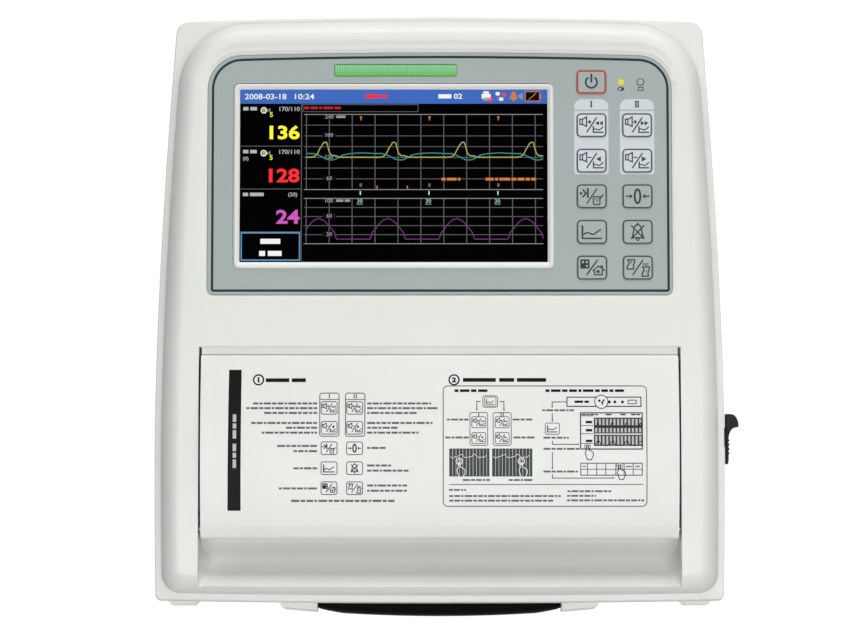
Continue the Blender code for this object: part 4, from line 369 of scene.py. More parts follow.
def stack(name, levels, place=outward):
    return loft(name, [[place(a, b, c) for a, b in outline] for outline, c in levels])


def prism(name, outline, low, high, place=outward):
    return stack(name, [(outline, low), (outline, high)], place)


def block(name, low, high):
    clear_selection()
    bpy.ops.mesh.primitive_cube_add(size=1)
    piece = bpy.context.object
    piece.name = name
    piece.location = [(a + b) / 2 for a, b in zip(low, high)]
    piece.scale = [b - a for a, b in zip(low, high)]
    bpy.ops.object.transform_apply(location=True, rotation=True, scale=True)
    return piece


def circle(radius, sides, centre=(0, 0)):
    turns = [2 * math.pi * k / sides for k in range(sides)]
    return [(centre[0] + radius * math.cos(t), centre[1] + radius * math.sin(t)) for t in turns]


def arc(radius, start, end, steps, centre=(0, 0)):
    turns = [math.radians(start + (end - start) * k / steps) for k in range(steps + 1)]
    return [(centre[0] + radius * math.cos(t), centre[1] + radius * math.sin(t)) for t in turns]


def turned(name, profile, centre, place, sides=48):
    """A round solid through (radius, distance) steps."""
    return stack(name, [(circle(radius, sides, centre), c) for radius, c in profile], place)


def rounded(corners, steps):
    """The outline through corners (a, b, radius), each radius an arc of this many steps."""
    outline = []
    for k, (a, b, radius) in enumerate(corners):
        here = Vector((a, b))
        if radius <= 0:
            outline.append((a, b))
            continue
        back = (Vector(corners[k - 1][:2]) - here).normalized()
        ahead = (Vector(corners[(k + 1) % len(corners)][:2]) - here).normalized()
        half = back.angle(ahead) / 2
        centre = here + (back + ahead).normalized() * (radius / math.sin(half))
        first = back * (radius / math.tan(half)) + here - centre
        last = ahead * (radius / math.tan(half)) + here - centre
        turn = first.angle_signed(last)
        for step in range(steps + 1):
            spoke = first.copy()
            spoke.rotate(Matrix.Rotation(-turn * step / steps, 2))
            outline.append((centre.x + spoke.x, centre.y + spoke.y))
    return outline


def rectangle(width, height, centre=(0, 0), radius=0.0, steps=8):
    left, right = centre[0] - width / 2, centre[0] + width / 2
    low, high = centre[1] - height / 2, centre[1] + height / 2
    corners = ((left, low), (right, low), (right, high), (left, high))
    return rounded([(a, b, radius) for a, b in corners], steps)


def combine(piece, tool, operation="DIFFERENCE"):
    """Cuts a tool from a piece, or joins it on, and deletes the tool."""
    change = piece.modifiers.new(operation.lower(), "BOOLEAN")
    change.object = tool
    change.operation = operation
    change.solver = "EXACT"
    apply_last(piece)
    spent = tool.data
    bpy.data.objects.remove(tool)
    bpy.data.meshes.remove(spent)
    return piece


def bevel(piece, width, segments=2, angle=40):
    change = piece.modifiers.new("edges", "BEVEL")
    change.width = width
    change.segments = segments
    change.limit_method = "ANGLE"
    change.angle_limit = math.radians(angle)
    change.use_clamp_overlap = True
    change.harden_normals = False
    apply_last(piece)
    return piece


def settle(piece, placing, finish, body, nodes=(), sharp=35):
    """Puts a finished piece in its place with its finish, and says what it rides on and stands for."""
    piece.matrix_world = placing
    pick(piece)
    bpy.ops.object.transform_apply(location=True, rotation=True, scale=True)
    bpy.ops.object.shade_smooth_by_angle(angle=math.radians(sharp))
    change = piece.modifiers.new("even_normals", "WEIGHTED_NORMAL")
    change.keep_sharp = True
    apply_last(piece)
    piece.data.materials.clear()
    piece.data.materials.append(finish)
    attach(piece, body)
    if nodes:
        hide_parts(*nodes)
    return piece


def dress(node, finish, body="root", edge=0.0002, angle=40):
    """A merged copy of a CAD node with softened edges, in place of the node."""
    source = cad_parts[node]
    clear_selection()
    piece = bpy.data.objects.new(f"{node}_skin", source.data.copy())
    bpy.context.scene.collection.objects.link(piece)
    pick(piece)
    bpy.ops.object.mode_set(mode="EDIT")
    bpy.ops.mesh.select_all(action="SELECT")
    bpy.ops.mesh.remove_doubles(threshold=0.00001)
    bpy.ops.mesh.dissolve_limited(angle_limit=math.radians(0.3))
    bpy.ops.object.mode_set(mode="OBJECT")
    if edge:
        bevel(piece, edge, 2, angle)
    return settle(piece, HERE, finish, body, [node])


# Finishes


def new_finish(name, colour, roughness, metallic=0.0, specular=0.5):
    """A material with its plain values on the shader's own sockets."""
    finish = bpy.data.materials.new(name)
    finish.use_nodes = True
    shader = finish.node_tree.nodes["Principled BSDF"]
    shader.inputs["Base Color"].default_value = (*colour, 1)
    shader.inputs["Roughness"].default_value = roughness
    shader.inputs["Metallic"].default_value = metallic
    shader.inputs["Specular IOR Level"].default_value = specular
    return finish


def face_coordinates(tree, stretch=(1, 1, 1)):
    """Object coordinates turned to lie along the sloping face."""
    source = tree.nodes.new("ShaderNodeTexCoord")
    turn = tree.nodes.new("ShaderNodeMapping")
    turn.vector_type = "TEXTURE"
    turn.inputs["Location"].default_value = FACE_ORIGIN
    turn.inputs["Rotation"].default_value = (SLOPE, 0, 0)
    turn.inputs["Scale"].default_value = stretch
    tree.links.new(source.outputs["Object"], turn.inputs["Vector"])
    return turn.outputs["Vector"]


def add_noise(tree, vector, scale, detail=2.0):
    noise = tree.nodes.new("ShaderNodeTexNoise")
    noise.inputs["Scale"].default_value = scale
    noise.inputs["Detail"].default_value = detail
    tree.links.new(vector, noise.inputs["Vector"])
    return noise.outputs["Fac"]


def remap(tree, value, low, high, start=0.3, end=0.7):
    change = tree.nodes.new("ShaderNodeMapRange")
    change.inputs["From Min"].default_value = start
    change.inputs["From Max"].default_value = end
    change.inputs["To Min"].default_value = low
    change.inputs["To Max"].default_value = high
    tree.links.new(value, change.inputs["Value"])
    return change.outputs["Result"]


def tint(tree, factor, first, second, socket):
    """Runs a colour from first to second with a factor, into a shader's socket."""
    mix = tree.nodes.new("ShaderNodeMix")
    mix.data_type = "RGBA"
    mix.inputs["A"].default_value = (*first, 1)
    mix.inputs["B"].default_value = (*second, 1)
    tree.links.new(factor, mix.inputs["Factor"])
    tree.links.new(mix.outputs["Result"], socket)


def shade(colour, share):
    return tuple(min(1.0, c * share) for c in colour)


def roughen(tree, height, strength, distance, shader):
    """Bump in a shader's normal, on top of any that is there."""
    bump = tree.nodes.new("ShaderNodeBump")
    bump.inputs["Strength"].default_value = strength
    bump.inputs["Distance"].default_value = distance
    tree.links.new(height, bump.inputs["Height"])
    for link in shader.inputs["Normal"].links:
        tree.links.new(link.from_socket, bump.inputs["Normal"])
    tree.links.new(bump.outputs["Normal"], shader.inputs["Normal"])


def moulded(name, colour, roughness, grain=1400.0, depth=0.00003, variation=0.03, specular=0.5, metallic=0.0):
    """Moulded or printed surface: a fine texture, faint cloudiness in colour and in gloss."""
    finish = new_finish(name, colour, roughness, metallic, specular)
    tree = finish.node_tree
    shader = tree.nodes["Principled BSDF"]
    vector = face_coordinates(tree)
    cloud = add_noise(tree, vector, 14.0, 3.0)
    tint(tree, remap(tree, cloud, 0.0, 1.0), shade(colour, 1 - variation), shade(colour, 1 + variation / 2),
         shader.inputs["Base Color"])
    streak = add_noise(tree, vector, 90.0, 3.0)
    tree.links.new(remap(tree, streak, roughness - 0.05, roughness + 0.06), shader.inputs["Roughness"])
    roughen(tree, add_noise(tree, vector, grain, 2.0), 0.35, depth, shader)
    return finish


def brushed(name, colour, roughness, stretch=(1, 30, 1)):
    """Metal with fine lines along one direction."""
    finish = new_finish(name, colour, roughness, 1.0)
    tree = finish.node_tree
    shader = tree.nodes["Principled BSDF"]
    lines = add_noise(tree, face_coordinates(tree, stretch), 1800.0, 4.0)
    tint(tree, remap(tree, lines, 0.0, 1.0), shade(colour, 0.86), shade(colour, 1.06),
         shader.inputs["Base Color"])
    tree.links.new(remap(tree, lines, roughness - 0.08, roughness + 0.12), shader.inputs["Roughness"])
    roughen(tree, lines, 0.25, 0.00001, shader)
    return finish


def glowing(name, colour, strength=1.0):
    """A lit part of the display."""
    finish = new_finish(name, shade(colour, 0.1), 0.4, 0.0, 0.06)
    shader = finish.node_tree.nodes["Principled BSDF"]
    shader.inputs["Emission Color"].default_value = (*colour, 1)
    shader.inputs["Emission Strength"].default_value = strength
    return finish


def ribbed_lens(name, colour):
    """Tinted clear plastic over small lamps, with fine ribs across: painted bands of highlight and deeper
    green shade.
    """
    finish = new_finish(name, colour, 0.22)
    tree = finish.node_tree
    shader = tree.nodes["Principled BSDF"]
    vector = face_coordinates(tree)
    wave = tree.nodes.new("ShaderNodeTexWave")
    wave.bands_direction = "X"
    wave.inputs["Scale"].default_value = 260.0
    wave.inputs["Distortion"].default_value = 0.0
    tree.links.new(vector, wave.inputs["Vector"])
    apart = tree.nodes.new("ShaderNodeSeparateXYZ")
    tree.links.new(vector, apart.inputs["Vector"])
    low, high = LAMP_V - LAMP_HEIGHT / 2, LAMP_V + LAMP_HEIGHT / 2
    # Painted highlight and shade: the lens is paler in a band under its upper edge, darker at that edge and
    # deeper green towards its lower edge.
    bands = tree.nodes.new("ShaderNodeValToRGB")
    tree.links.new(remap(tree, apart.outputs["Y"], 0.0, 1.0, low, high), bands.inputs["Fac"])
    stops = bands.color_ramp.elements
    for place, share in LAMP_PAINTED_BANDS:
        if place == 0.0:
            stop = stops[0]
        elif place == 1.0:
            stop = stops[-1]
        else:
            stop = stops.new(place)
        stop.color = (*(c * s for c, s in zip(colour, share)), 1)
    # Painted shade along the ribs: the lens colour is darkened in fine lines across it.
    rib_shade = tree.nodes.new("ShaderNodeMix")
    rib_shade.data_type = "RGBA"
    rib_shade.blend_type = "MULTIPLY"
    rib_shade.inputs["B"].default_value = (0.80, 0.86, 0.84, 1)
    tree.links.new(wave.outputs["Fac"], rib_shade.inputs["Factor"])
    tree.links.new(bands.outputs["Color"], rib_shade.inputs["A"])
    tree.links.new(rib_shade.outputs["Result"], shader.inputs["Base Color"])
    # Painted light: a faint glow in the same banded colour brightens the lens.
    tree.links.new(rib_shade.outputs["Result"], shader.inputs["Emission Color"])
    shader.inputs["Emission Strength"].default_value = 0.2
    return finish


def membrane(name, colour, variation):
    """The panel's printed film."""
    return moulded(name, colour, 0.42, 2600.0, 0.00001, variation, 0.35)


def printed(name, colour, specular=0.3, roughness=0.5, variation=0.1):
    """An ink."""
    return moulded(name, colour, roughness, 3000.0, 0.000005, variation, specular)


def make_finishes(colours):
    """Every finish of the object, by name."""
    case, panel = tuple(colours.case), tuple(colours.panel)
    made = {
        "case": moulded("moulded_case", case, 0.42),
        "door": moulded("moulded_door", tuple(colours.door), 0.40, 1100.0, 0.00002, 0.02),
        "panel": membrane("membrane_panel", panel, 0.035),
        "key": membrane("membrane_key", panel, 0.02),
        "pad": membrane("membrane_pad", tuple(colours.pad), 0.015),
        "ink": printed("dark_ink", tuple(colours.ink)),
        "black_ink": printed("black_ink", (0.005, 0.005, 0.005), 0.12),
        "line_ink": printed("line_ink", (0.022, 0.031, 0.034), 0.15),
        "grey_ink": printed("grey_ink", (0.12, 0.12, 0.115)),
        "pale_ink": printed("pale_ink", (0.52, 0.53, 0.52), 0.3, 0.5, 0.05),
        "white_ink": printed("white_ink", shade(tuple(colours.door), 1.02), 0.3, 0.45, 0.02),
        "ring": printed("red_ink", tuple(colours.ring), 0.35, 0.45, 0.08),
        "lamp": ribbed_lens("lamp_lens", tuple(colours.lamp)),
        "rubber": moulded("moulded_rubber", (0.002, 0.002, 0.0022), 0.6, 900.0, 0.00006, 0.15, 0.05),
        "lever": moulded("lever_plastic", (0.008, 0.008, 0.0085), 0.45, 1600.0, 0.00003, 0.1, 0.2),
        "black": moulded("black_plastic", (0.018, 0.018, 0.019), 0.38, 1600.0, 0.00003, 0.1),
        "socket": moulded("socket_plastic", (0.10, 0.11, 0.12), 0.42, 1600.0, 0.00002, 0.08),
        "gear": moulded("acetal", (0.74, 0.73, 0.68), 0.38, 1200.0, 0.00002, 0.04),
        "board": moulded("board_mask", (0.02, 0.13, 0.06), 0.35, 700.0, 0.00004, 0.2),
        "wrap": moulded("battery_wrap", (0.03, 0.07, 0.17), 0.3, 300.0, 0.00005, 0.1),
        "platen": moulded("ground_rubber", (0.035, 0.035, 0.036), 0.7, 2500.0, 0.00003, 0.12, 0.3),
        "steel": brushed("brushed_steel", (0.56, 0.56, 0.57), 0.32),
        "turned_steel": brushed("turned_steel", (0.60, 0.60, 0.61), 0.25, (30, 1, 1)),
        "gold": brushed("gilt_contact", (0.80, 0.58, 0.22), 0.28, (30, 1, 1)),
        "aluminium": brushed("drawn_aluminium", (0.72, 0.72, 0.73), 0.35, (30, 1, 1)),
        "glass": moulded("screen_glass", (0.0003, 0.0003, 0.0004), 0.35, 40.0, 0.000004, 0.1, 0.008),
        # Painted shadow: a black finish for the strips that keep the gaps beside the door dark.
        "gap": moulded("painted_gap_shadow", (0.001, 0.001, 0.001), 0.8, 1200.0, 0.00002, 0.1, 0.02),
        "led_on": glowing("led_lit", (0.86, 0.84, 0.08), 0.75),
        "led_off": moulded("led_unlit", (0.40, 0.44, 0.44), 0.3, 900.0, 0.00001, 0.05),
    }
    lights = {
        "header": (0.045, 0.13, 0.47),
        "white": (0.82, 0.82, 0.82),
        "pale": (0.42, 0.42, 0.42),
        "line": (0.105, 0.105, 0.11),
        "grey": (0.28, 0.28, 0.285),
        "yellow": (0.92, 0.86, 0.03),
        "red": (0.88, 0.025, 0.035),
        "magenta": (0.56, 0.09, 0.46),
        "dim_yellow": (0.40, 0.41, 0.09),
        "dim_red": (0.42, 0.02, 0.03),
        "teal": (0.03, 0.25, 0.28),
        "dim_magenta": (0.15, 0.028, 0.17),
        "orange": (0.62, 0.19, 0.03),
        "green": (0.26, 0.50, 0.34),
        "pale_green": (0.24, 0.46, 0.12),
        "blue": (0.10, 0.30, 0.52),
        "black": (0.0005, 0.0005, 0.0008),
    }
    for name, colour in lights.items():
        made[f"light_{name}"] = glowing(f"light_{name}", colour)
    return made


FINISH = {}


# Case


def case_half(v, half):
    """Half the width of the case at the parting line, at this place up the face."""
    if v < WIDEST_V:
        return half - BOTTOM_TAPER * ((WIDEST_V - v) / WIDEST_V) ** 2
    return half - TOP_TAPER * ((v - WIDEST_V) / (CASE_LENGTH - WIDEST_V)) ** TAPER_POWER


def case_outline(sizes, inset, top_radius, bottom_radius, lift=0.0, steps=14):
    """The case seen square to its face, drawn in by inset all round, with its upper edge raised by lift."""
    half = sizes.width / 2
    low, high = inset - SKIRT_DRAFT, sizes.length + SKIRT_DRAFT - inset + lift
    low_half = case_half(low, half) - inset
    high_half = case_half(high, half) - inset
    side_low = low + BOTTOM_BOW + bottom_radius * 1.5
    side_high = high - TOP_ARCH - top_radius * 1.2
    shares = [0.72 - 0.24 * k for k in range(7)]
    corners = [(-low_half, low + BOTTOM_BOW, bottom_radius)]
    corners += [(-s * low_half, low + BOTTOM_BOW * s * s, 0) for s in shares]
    corners.append((low_half, low + BOTTOM_BOW, bottom_radius))
    sides = [side_low + (side_high - side_low) * k / 12 for k in range(13)]
    corners += [(case_half(v, half) - inset, v, 0) for v in sides]
    corners.append((high_half, high - TOP_ARCH, top_radius))
    corners += [(s * high_half, high - TOP_ARCH * s * s, 0) for s in shares]
    corners.append((-high_half, high - TOP_ARCH, top_radius))
    corners += [(inset - case_half(v, half), v, 0) for v in reversed(sides)]
    return rounded(corners, steps)


def overlay_outline(grow, grow_top=None, grow_low=None, steps=14):
    """The panel's arched outline, larger by grow, and by other amounts at its upper and lower edge."""
    over = grow if grow_top is None else grow_top
    under = grow if grow_low is None else grow_low
    half, low, high = OVERLAY_HALF + grow, OVERLAY_LOW - under, OVERLAY_HIGH + over
    corners = [(-half, low, OVERLAY_LOW_CORNER + grow), (half, low, OVERLAY_LOW_CORNER + grow)]
    corners.append((half, high - OVERLAY_ARCH, OVERLAY_CORNER + grow))
    shares = [0.8 - 0.2 * k for k in range(9)]
    corners += [(s * half, high - OVERLAY_ARCH * s * s, 0) for s in shares]
    corners.append((-half, high - OVERLAY_ARCH, OVERLAY_CORNER + grow))
    return rounded(corners, steps)


def skin_levels(sizes, extra, face_w, below, steps):
    """The cover's skin, drawn in by extra: skirt, flat flange, soft crease and rounding."""
    flange_w = face_w - FLANGE_DEPTH
    levels = [(case_outline(sizes, extra, *SKIRT_CORNERS), -PARTING_DEPTH - below)]
    if not extra:
        for inset, rise in SKIRT_EDGE:
            levels.append((case_outline(sizes, inset, *SKIRT_CORNERS), flange_w + rise))
        for inset, rise in CREASE:
            levels.append((case_outline(sizes, inset, *FOOT_CORNERS, TOP_LIFT), flange_w + rise))
    else:
        levels.append((case_outline(sizes, SKIRT_DRAFT + extra, *SKIRT_CORNERS), flange_w - 0.0006))
    start = SKIRT_DRAFT + sizes.flange + extra
    for k in range(1, steps + 1):
        turn = math.pi / 2 * k / steps
        share = 1 - math.cos(turn)
        inset = start + sizes.pillow * share
        radii = [foot - loss * share for foot, loss in zip(FOOT_CORNERS, CORNER_LOSS)]
        outline = case_outline(sizes, inset, *radii, TOP_LIFT * (1 - share))
        levels.append((outline, flange_w + FLANGE_DEPTH * math.sin(turn)))
    return levels


def trough_point(share, drop=0.0):
    """A point (v, w) on the finger trough below the door."""
    fall = TROUGH_DEPTH * (1 - (1 - share) ** 2)
    return (CREST_V + TROUGH_LENGTH * share, -CREST_DEPTH - fall - drop)


def trough_fillet(side):
    """The soft corner between the trough and the wall at one end of it, which fades out below the door."""
    levels = []
    steps = 16
    for k in range(steps + 1):
        share = FILLET_SHARE * k / steps
        v, w = trough_point(share)
        fade = min(1.0, FILLET_LEAST + (FILLET_SHARE - share) / FILLET_FADE)
        radius = min(FILLET_RADIUS, -FILLET_OF_DEPTH * w) * fade
        curve = arc(radius, 0, -90, 8, (BAY_HALF - radius, w + radius))
        hidden = [(BAY_HALF - radius, w - GAP), (BAY_HALF + GAP, w - GAP), (BAY_HALF + GAP, w + radius)]
        levels.append(([(side * a, b) for a, b in curve + hidden], v))
    return stack("fillet", levels, along)


def bay_profile():
    """The bay and the trough in section (v, w): crest, trough, open floor, nose and mouth."""
    curve = [trough_point(k / 32) for k in range(33)]
    end = CREST_V + TROUGH_LENGTH
    low = -BAY_DEPTH - OVERRUN
    crest = [(CREST_V - 0.0006, OVERRUN), (CREST_V - 0.0006, -CREST_DEPTH + 0.0004)]
    mouth = [(BAY_TOP_V, -0.0006), (BAY_TOP_V + 0.0006, 0), (BAY_TOP_V + 0.0006, OVERRUN)]
    return [*crest, *curve, (end, low), (BAY_NOSE[0][0], low), *BAY_NOSE, *mouth]


def screen_rectangle(border, radius=0.0, more=(0, 0, 0, 0), steps=8):
    """A rectangle this much larger than the screen, and farther out to the left, right, below and above."""
    left, right, below, above = more
    size = (SCREEN_WIDTH + 2 * border + left + right, SCREEN_HEIGHT + 2 * border + below + above)
    return rectangle(*size, (SCREEN_U + (right - left) / 2, SCREEN_V + (above - below) / 2), radius, steps)


KEY_ROWS = (
    ("key_volume_up_1", "key_volume_up_2"),
    ("key_volume_down_1", "key_volume_down_2"),
    ("key_mark", "key_zero"),
    ("key_trend", "key_alarm_silence"),
    ("key_home", "key_print"),
)
KEYS = [("key_power", KEY_LEFT_U, POWER_KEY_V)] + [
    (name, u, KEY_FIRST_ROW_V - row * KEY_PITCH_V)
    for row, names in enumerate(KEY_ROWS)
    for name, u in zip(names, (KEY_LEFT_U, KEY_RIGHT_U))
]


def gather(name, pieces):
    """Joins several pieces into one."""
    pick(pieces[0])
    for piece in pieces[1:]:
        piece.select_set(True)
    bpy.ops.object.join()
    pieces[0].name = name
    return pieces[0]


def key_well(name, u, v):
    """A cutter with a gap round one key."""
    outline = rectangle(KEY_WIDTH + 2 * GAP, KEY_HEIGHT + 2 * GAP, (u, v), KEY_RADIUS + GAP)
    return prism(name, outline, WELL_FLOOR, OVERRUN)


def panel_wells():
    """Cutters for the keys, the lamp and the two indicators."""
    wells = [key_well(*key) for key in KEYS]
    outline = rectangle(LAMP_WIDTH + 2 * GAP, LAMP_HEIGHT + 2 * GAP, (LAMP_U, LAMP_V), 0.0011)
    wells.append(prism("lamp", outline, WELL_FLOOR, OVERRUN))
    for u in (POWER_LED_U, BATTERY_LED_U):
        wells.append(prism("indicator", circle(LED_RADIUS + GAP / 3, 32, (u, LED_V)), WELL_FLOOR, OVERRUN))
    return gather("wells", wells)


def peg(place, size, sides=24):
    """A round post or cutter at (u, v), from its radius, its foot and its top."""
    radius, foot, top = size
    return prism("peg", circle(radius, sides, place), foot, top)


def on_side(side, near, far):
    """A span along u at the left (-1) or at the right (1)."""
    return sorted((side * near, side * far))


def add_inside(cover):
    """Joins on what stands on the inner side: the panel's pad, the bay's walls, posts, seat and guide."""
    combine(cover, prism("pad", overlay_outline(PAD_BORDER), PAD_W, JOIN_W), "UNION")
    wide = BAY_HALF + WALL
    first = trough_point(1 / 8)
    start = CREST_V + (first[0] - CREST_V) / 4
    back = BAY_TOP_V + WALL
    body = [(start, -BAY_DEPTH), (back, -BAY_DEPTH), (back, JOIN_W), (first[0] + 0.0028, JOIN_W),
            (start, first[1] - 0.00135)]
    combine(cover, prism("bay_walls", body, -wide, wide, across), "UNION")
    posts = [peg(place, CASE_POST, 32) for place in CASE_POSTS]
    for side in (-1, 1):
        for rise in (-BRACKET_POST_V, BRACKET_POST_V):
            posts.append(peg((SCREEN_U + side * BRACKET_POST_U, SCREEN_V + rise), BRACKET_POST))
    for row in (1, 3):
        place = ((KEY_LEFT_U + KEY_RIGHT_U) / 2, KEY_FIRST_ROW_V - KEY_PITCH_V * (row - 0.5))
        posts.append(peg(place, BOARD_POST))
    posts.append(block("spring_seat", *SPRING_SEAT))
    posts.append(block("guide", *SLIDE_GUIDE))
    combine(cover, gather("posts", posts), "UNION")


def cut_bay(cover):
    """Opens the bay and the trough, thins the wall under the trough, and softens the trough's ends."""
    combine(cover, prism("bay", bay_profile(), -BAY_HALF, BAY_HALF, across))
    curve = [trough_point(k / 24, TROUGH_WALL) for k in range(3, 25)]
    end = CREST_V + TROUGH_LENGTH + OVERRUN
    low = -BAY_DEPTH - OVERRUN
    under = [(curve[0][0], low), *curve, (end, curve[-1][1]), (end, low)]
    combine(cover, prism("under_trough", under, -BAY_HALF, BAY_HALF, across))
    for side in (-1, 1):
        combine(cover, trough_fillet(side), "UNION")
    lip = BAY_HALF - 0.0025
    combine(cover, block("under_lip", (-lip, 0.1235, low), (lip, 0.1341, -0.0055)))


def cut_recess(cover, border):
    """Sinks the panel's recess, with a wider sloping border above it."""
    above = overlay_outline(border, border + 0.0034)
    step = [(above, OVERRUN), (above, 0), (overlay_outline(border / 2, border + 0.0022), -0.00055)]
    combine(cover, stack("top_step", step))
    recess = [(overlay_outline(border), OVERRUN), (overlay_outline(border), 0),
              (overlay_outline(GAP, 0.0013), -0.0013), (overlay_outline(GAP), -0.00132),
              (overlay_outline(GAP), RECESS_FLOOR)]
    combine(cover, stack("recess", recess))


def screen_stack(name, levels, more):
    """A solid round the screen through levels of border, corner radius and height."""
    return stack(name, [(screen_rectangle(border, radius, more), w) for border, radius, w in levels])


def cut_screen(cover):
    """Raises the frame round the screen, and cuts its window and the pocket of the glass."""
    combine(cover, screen_stack("screen_frame", FRAME_LEVELS, FRAME_MORE), "UNION")
    combine(cover, screen_stack("window", WINDOW_LEVELS, WINDOW_MORE))
    combine(cover, prism("glass_pocket", screen_rectangle(0.0034, 0.0003), WELL_FLOOR, -0.0035))


def cut_holes(cover):
    """Cuts the holes for screws, lever, catch and hinge, and the gaps and undercuts beside the door."""
    low = -BAY_DEPTH - OVERRUN
    holes = [peg(place, SCREW_HOLE) for place in CASE_POSTS]
    holes.append(block("lever_slot", *LEVER_SLOT))
    holes.append(block("hook_notch", *HOOK_NOTCH))
    for side in (-1, 1):
        hinge = circle(PIN_RADIUS, 32, (HINGE_V, -HINGE_DEPTH))
        holes.append(prism("pin_hole", hinge, *on_side(side, 0.1177, 0.1235), across))
        left, right = on_side(side, DOOR_HALF, BAY_HALF)
        holes.append(block("shelf_end", (left, 0.1215, low), (right, BAY_TOP_V, OVERRUN)))
        left, right = on_side(side, *UNDERCUT_U)
        holes.append(block("undercut", (left, 0.0425, low), (right, 0.1210, UNDERCUT_TOP)))
        holes.append(block("undercut_end", (left, 0.0345, -0.0060), (right, 0.0430, UNDERCUT_TOP)))
    for hole in holes:
        combine(cover, hole)


def make_front_cover(sizes, finish):
    """The upper case half: flange, rounding, stepped recess, screen frame, paper bay and finger trough."""
    cover = stack("front_cover_skin", skin_levels(sizes, 0, 0, 0, 16))
    combine(cover, stack("hollow", skin_levels(sizes, WALL, INNER_W, OVERRUN, 8)))
    add_inside(cover)
    cut_bay(cover)
    cut_recess(cover, sizes.recess)
    cut_screen(cover)
    combine(cover, panel_wells())
    cut_holes(cover)
    bevel(cover, 0.00022, 2, 50)
    settle(cover, FACE, finish, "root", ["front_cover"], 30)


def make_gap_shadow_strips(finish):
    """Thin black strips in the undercuts beside the door: painted shadow, which keeps the gaps dark."""
    for side, name in ((-1, "gap_shadow_strip_left"), (1, "gap_shadow_strip_right")):
        near, far = on_side(side, *STRIP_U)
        strip = block(f"{name}_skin", (near, STRIP_V[0], STRIP_W[0]), (far, STRIP_V[1], STRIP_W[1]))
        settle(strip, FACE, finish, "root", [], 30)


def make_rear_case(finish):
    """The lower case half, with softened edges."""
    return dress("rear_case", finish, edge=0.0005, angle=35)


def bow_y(x):
    """The front of the handle in plan."""
    return -HANDLE_REACH + HANDLE_BOW * (x / LUG_HALF) ** 2


def make_handle_grip(finish):
    """The black grip: a soft square bar on a slight bow, thinner at its ends, round the handle's core."""
    rings = []
    count = 48
    for k in range(count + 1):
        x = GRIP_HALF * (2 * k / count - 1)
        end = min(k, count - k)
        shrink = (0.0006, 0.0001)[end] if end < 2 else 0.0
        taper = max(0.0, (abs(x) - GRIP_HALF + GRIP_TAPER) / GRIP_TAPER)
        side = (HANDLE_SIDE - 2 * shrink) * (1 + (GRIP_END - 1) * taper)
        middle = (bow_y(x) + HANDLE_SIDE / 2, HANDLE_LOW + HANDLE_SIDE / 2)
        outline = rectangle(side, side, middle, GRIP_CORNER - shrink, 10)
        rings.append([Vector((x, y, z)) for y, z in outline])
    grip = loft("handle_grip_skin", rings)
    spans = [CORE_HALF * (k / 10 - 1) for k in range(21)]
    core = [(x, bow_y(x) + CORE_NEAR) for x in spans] + [(x, bow_y(x) + CORE_FAR) for x in reversed(spans)]
    combine(grip, prism("core", core, HANDLE_LOW + CORE_NEAR, HANDLE_LOW + CORE_FAR))
    return settle(grip, STAND, finish, "root", ["handle_grip"], 40)


# Panel


def make_overlay(finish):
    """The membrane, with its window and its wells for the keys, the lamp and the indicators."""
    edge = overlay_outline(0)
    levels = [(edge, OVERLAY_TOP - OVERLAY_THICKNESS), (edge, OVERLAY_TOP - 0.0001),
              (overlay_outline(-0.0001), OVERLAY_TOP)]
    panel = stack("control_overlay_skin", levels)
    combine(panel, prism("frame_window", screen_rectangle(0.0034, 0.0028), OVERLAY_CUT, OVERRUN))
    combine(panel, panel_wells())
    return settle(panel, FACE, finish, "root", ["control_overlay"], 30)


def make_keys(finishes):
    """The eleven key caps, each with a soft top edge and its guard flange below."""
    guard = (2 * GUARD_REACH, KEY_RADIUS + GUARD_REACH)
    sizes = (
        (*guard, GUARD_LOW), (*guard, GUARD_HIGH), (GAP, KEY_RADIUS, GUARD_HIGH),
        (GAP, KEY_RADIUS, KEY_TOP - 0.0002), (0.0002, KEY_RADIUS, KEY_TOP - 0.00006),
        (0, KEY_RADIUS - 0.0002, KEY_TOP),
    )
    for name, u, v in KEYS:
        levels = []
        for more, radius, w in sizes:
            levels.append((rectangle(KEY_WIDTH + more, KEY_HEIGHT + more, (u, v), radius), w))
        finish = finishes["pad"] if "volume" in name else finishes["key"]
        cap = stack(f"{name}_skin", levels)
        settle(cap, FACE, finish, f"{name}_cap", [name], 30)


def make_lamp(finish):
    """The green lens, with fine ribs across it, on its flange."""
    steps = LAMP_RIBS * RIB_STEPS
    outline = []
    for k in range(steps + 1):
        u = LAMP_U + LAMP_WIDTH * (k / steps - 0.5)
        outline.append((u, abs(math.sin(math.pi * k / RIB_STEPS))))
    top = OVERLAY_TOP + 0.0003
    foot = -0.006
    rings = []
    for v, drop in LAMP_SECTION:
        place = LAMP_V + v * LAMP_HEIGHT
        ring = [Vector((u, place, top - drop - RIB_DEPTH * (1 - rise))) for u, rise in outline]
        ring += [Vector((LAMP_U + end * LAMP_WIDTH / 2, place, foot)) for end in (1, -1)]
        rings.append(ring)
    lens = loft("alarm_lamp_lens_skin", rings)
    size = (LAMP_WIDTH + 2 * GUARD_REACH, LAMP_HEIGHT + 2 * GUARD_REACH)
    flange = prism("flange", rectangle(*size, (LAMP_U, LAMP_V), 0.0019), GUARD_LOW, GUARD_HIGH)
    combine(lens, flange, "UNION")
    return settle(lens, FACE, finish, "root", ["alarm_lamp_lens"], 50)


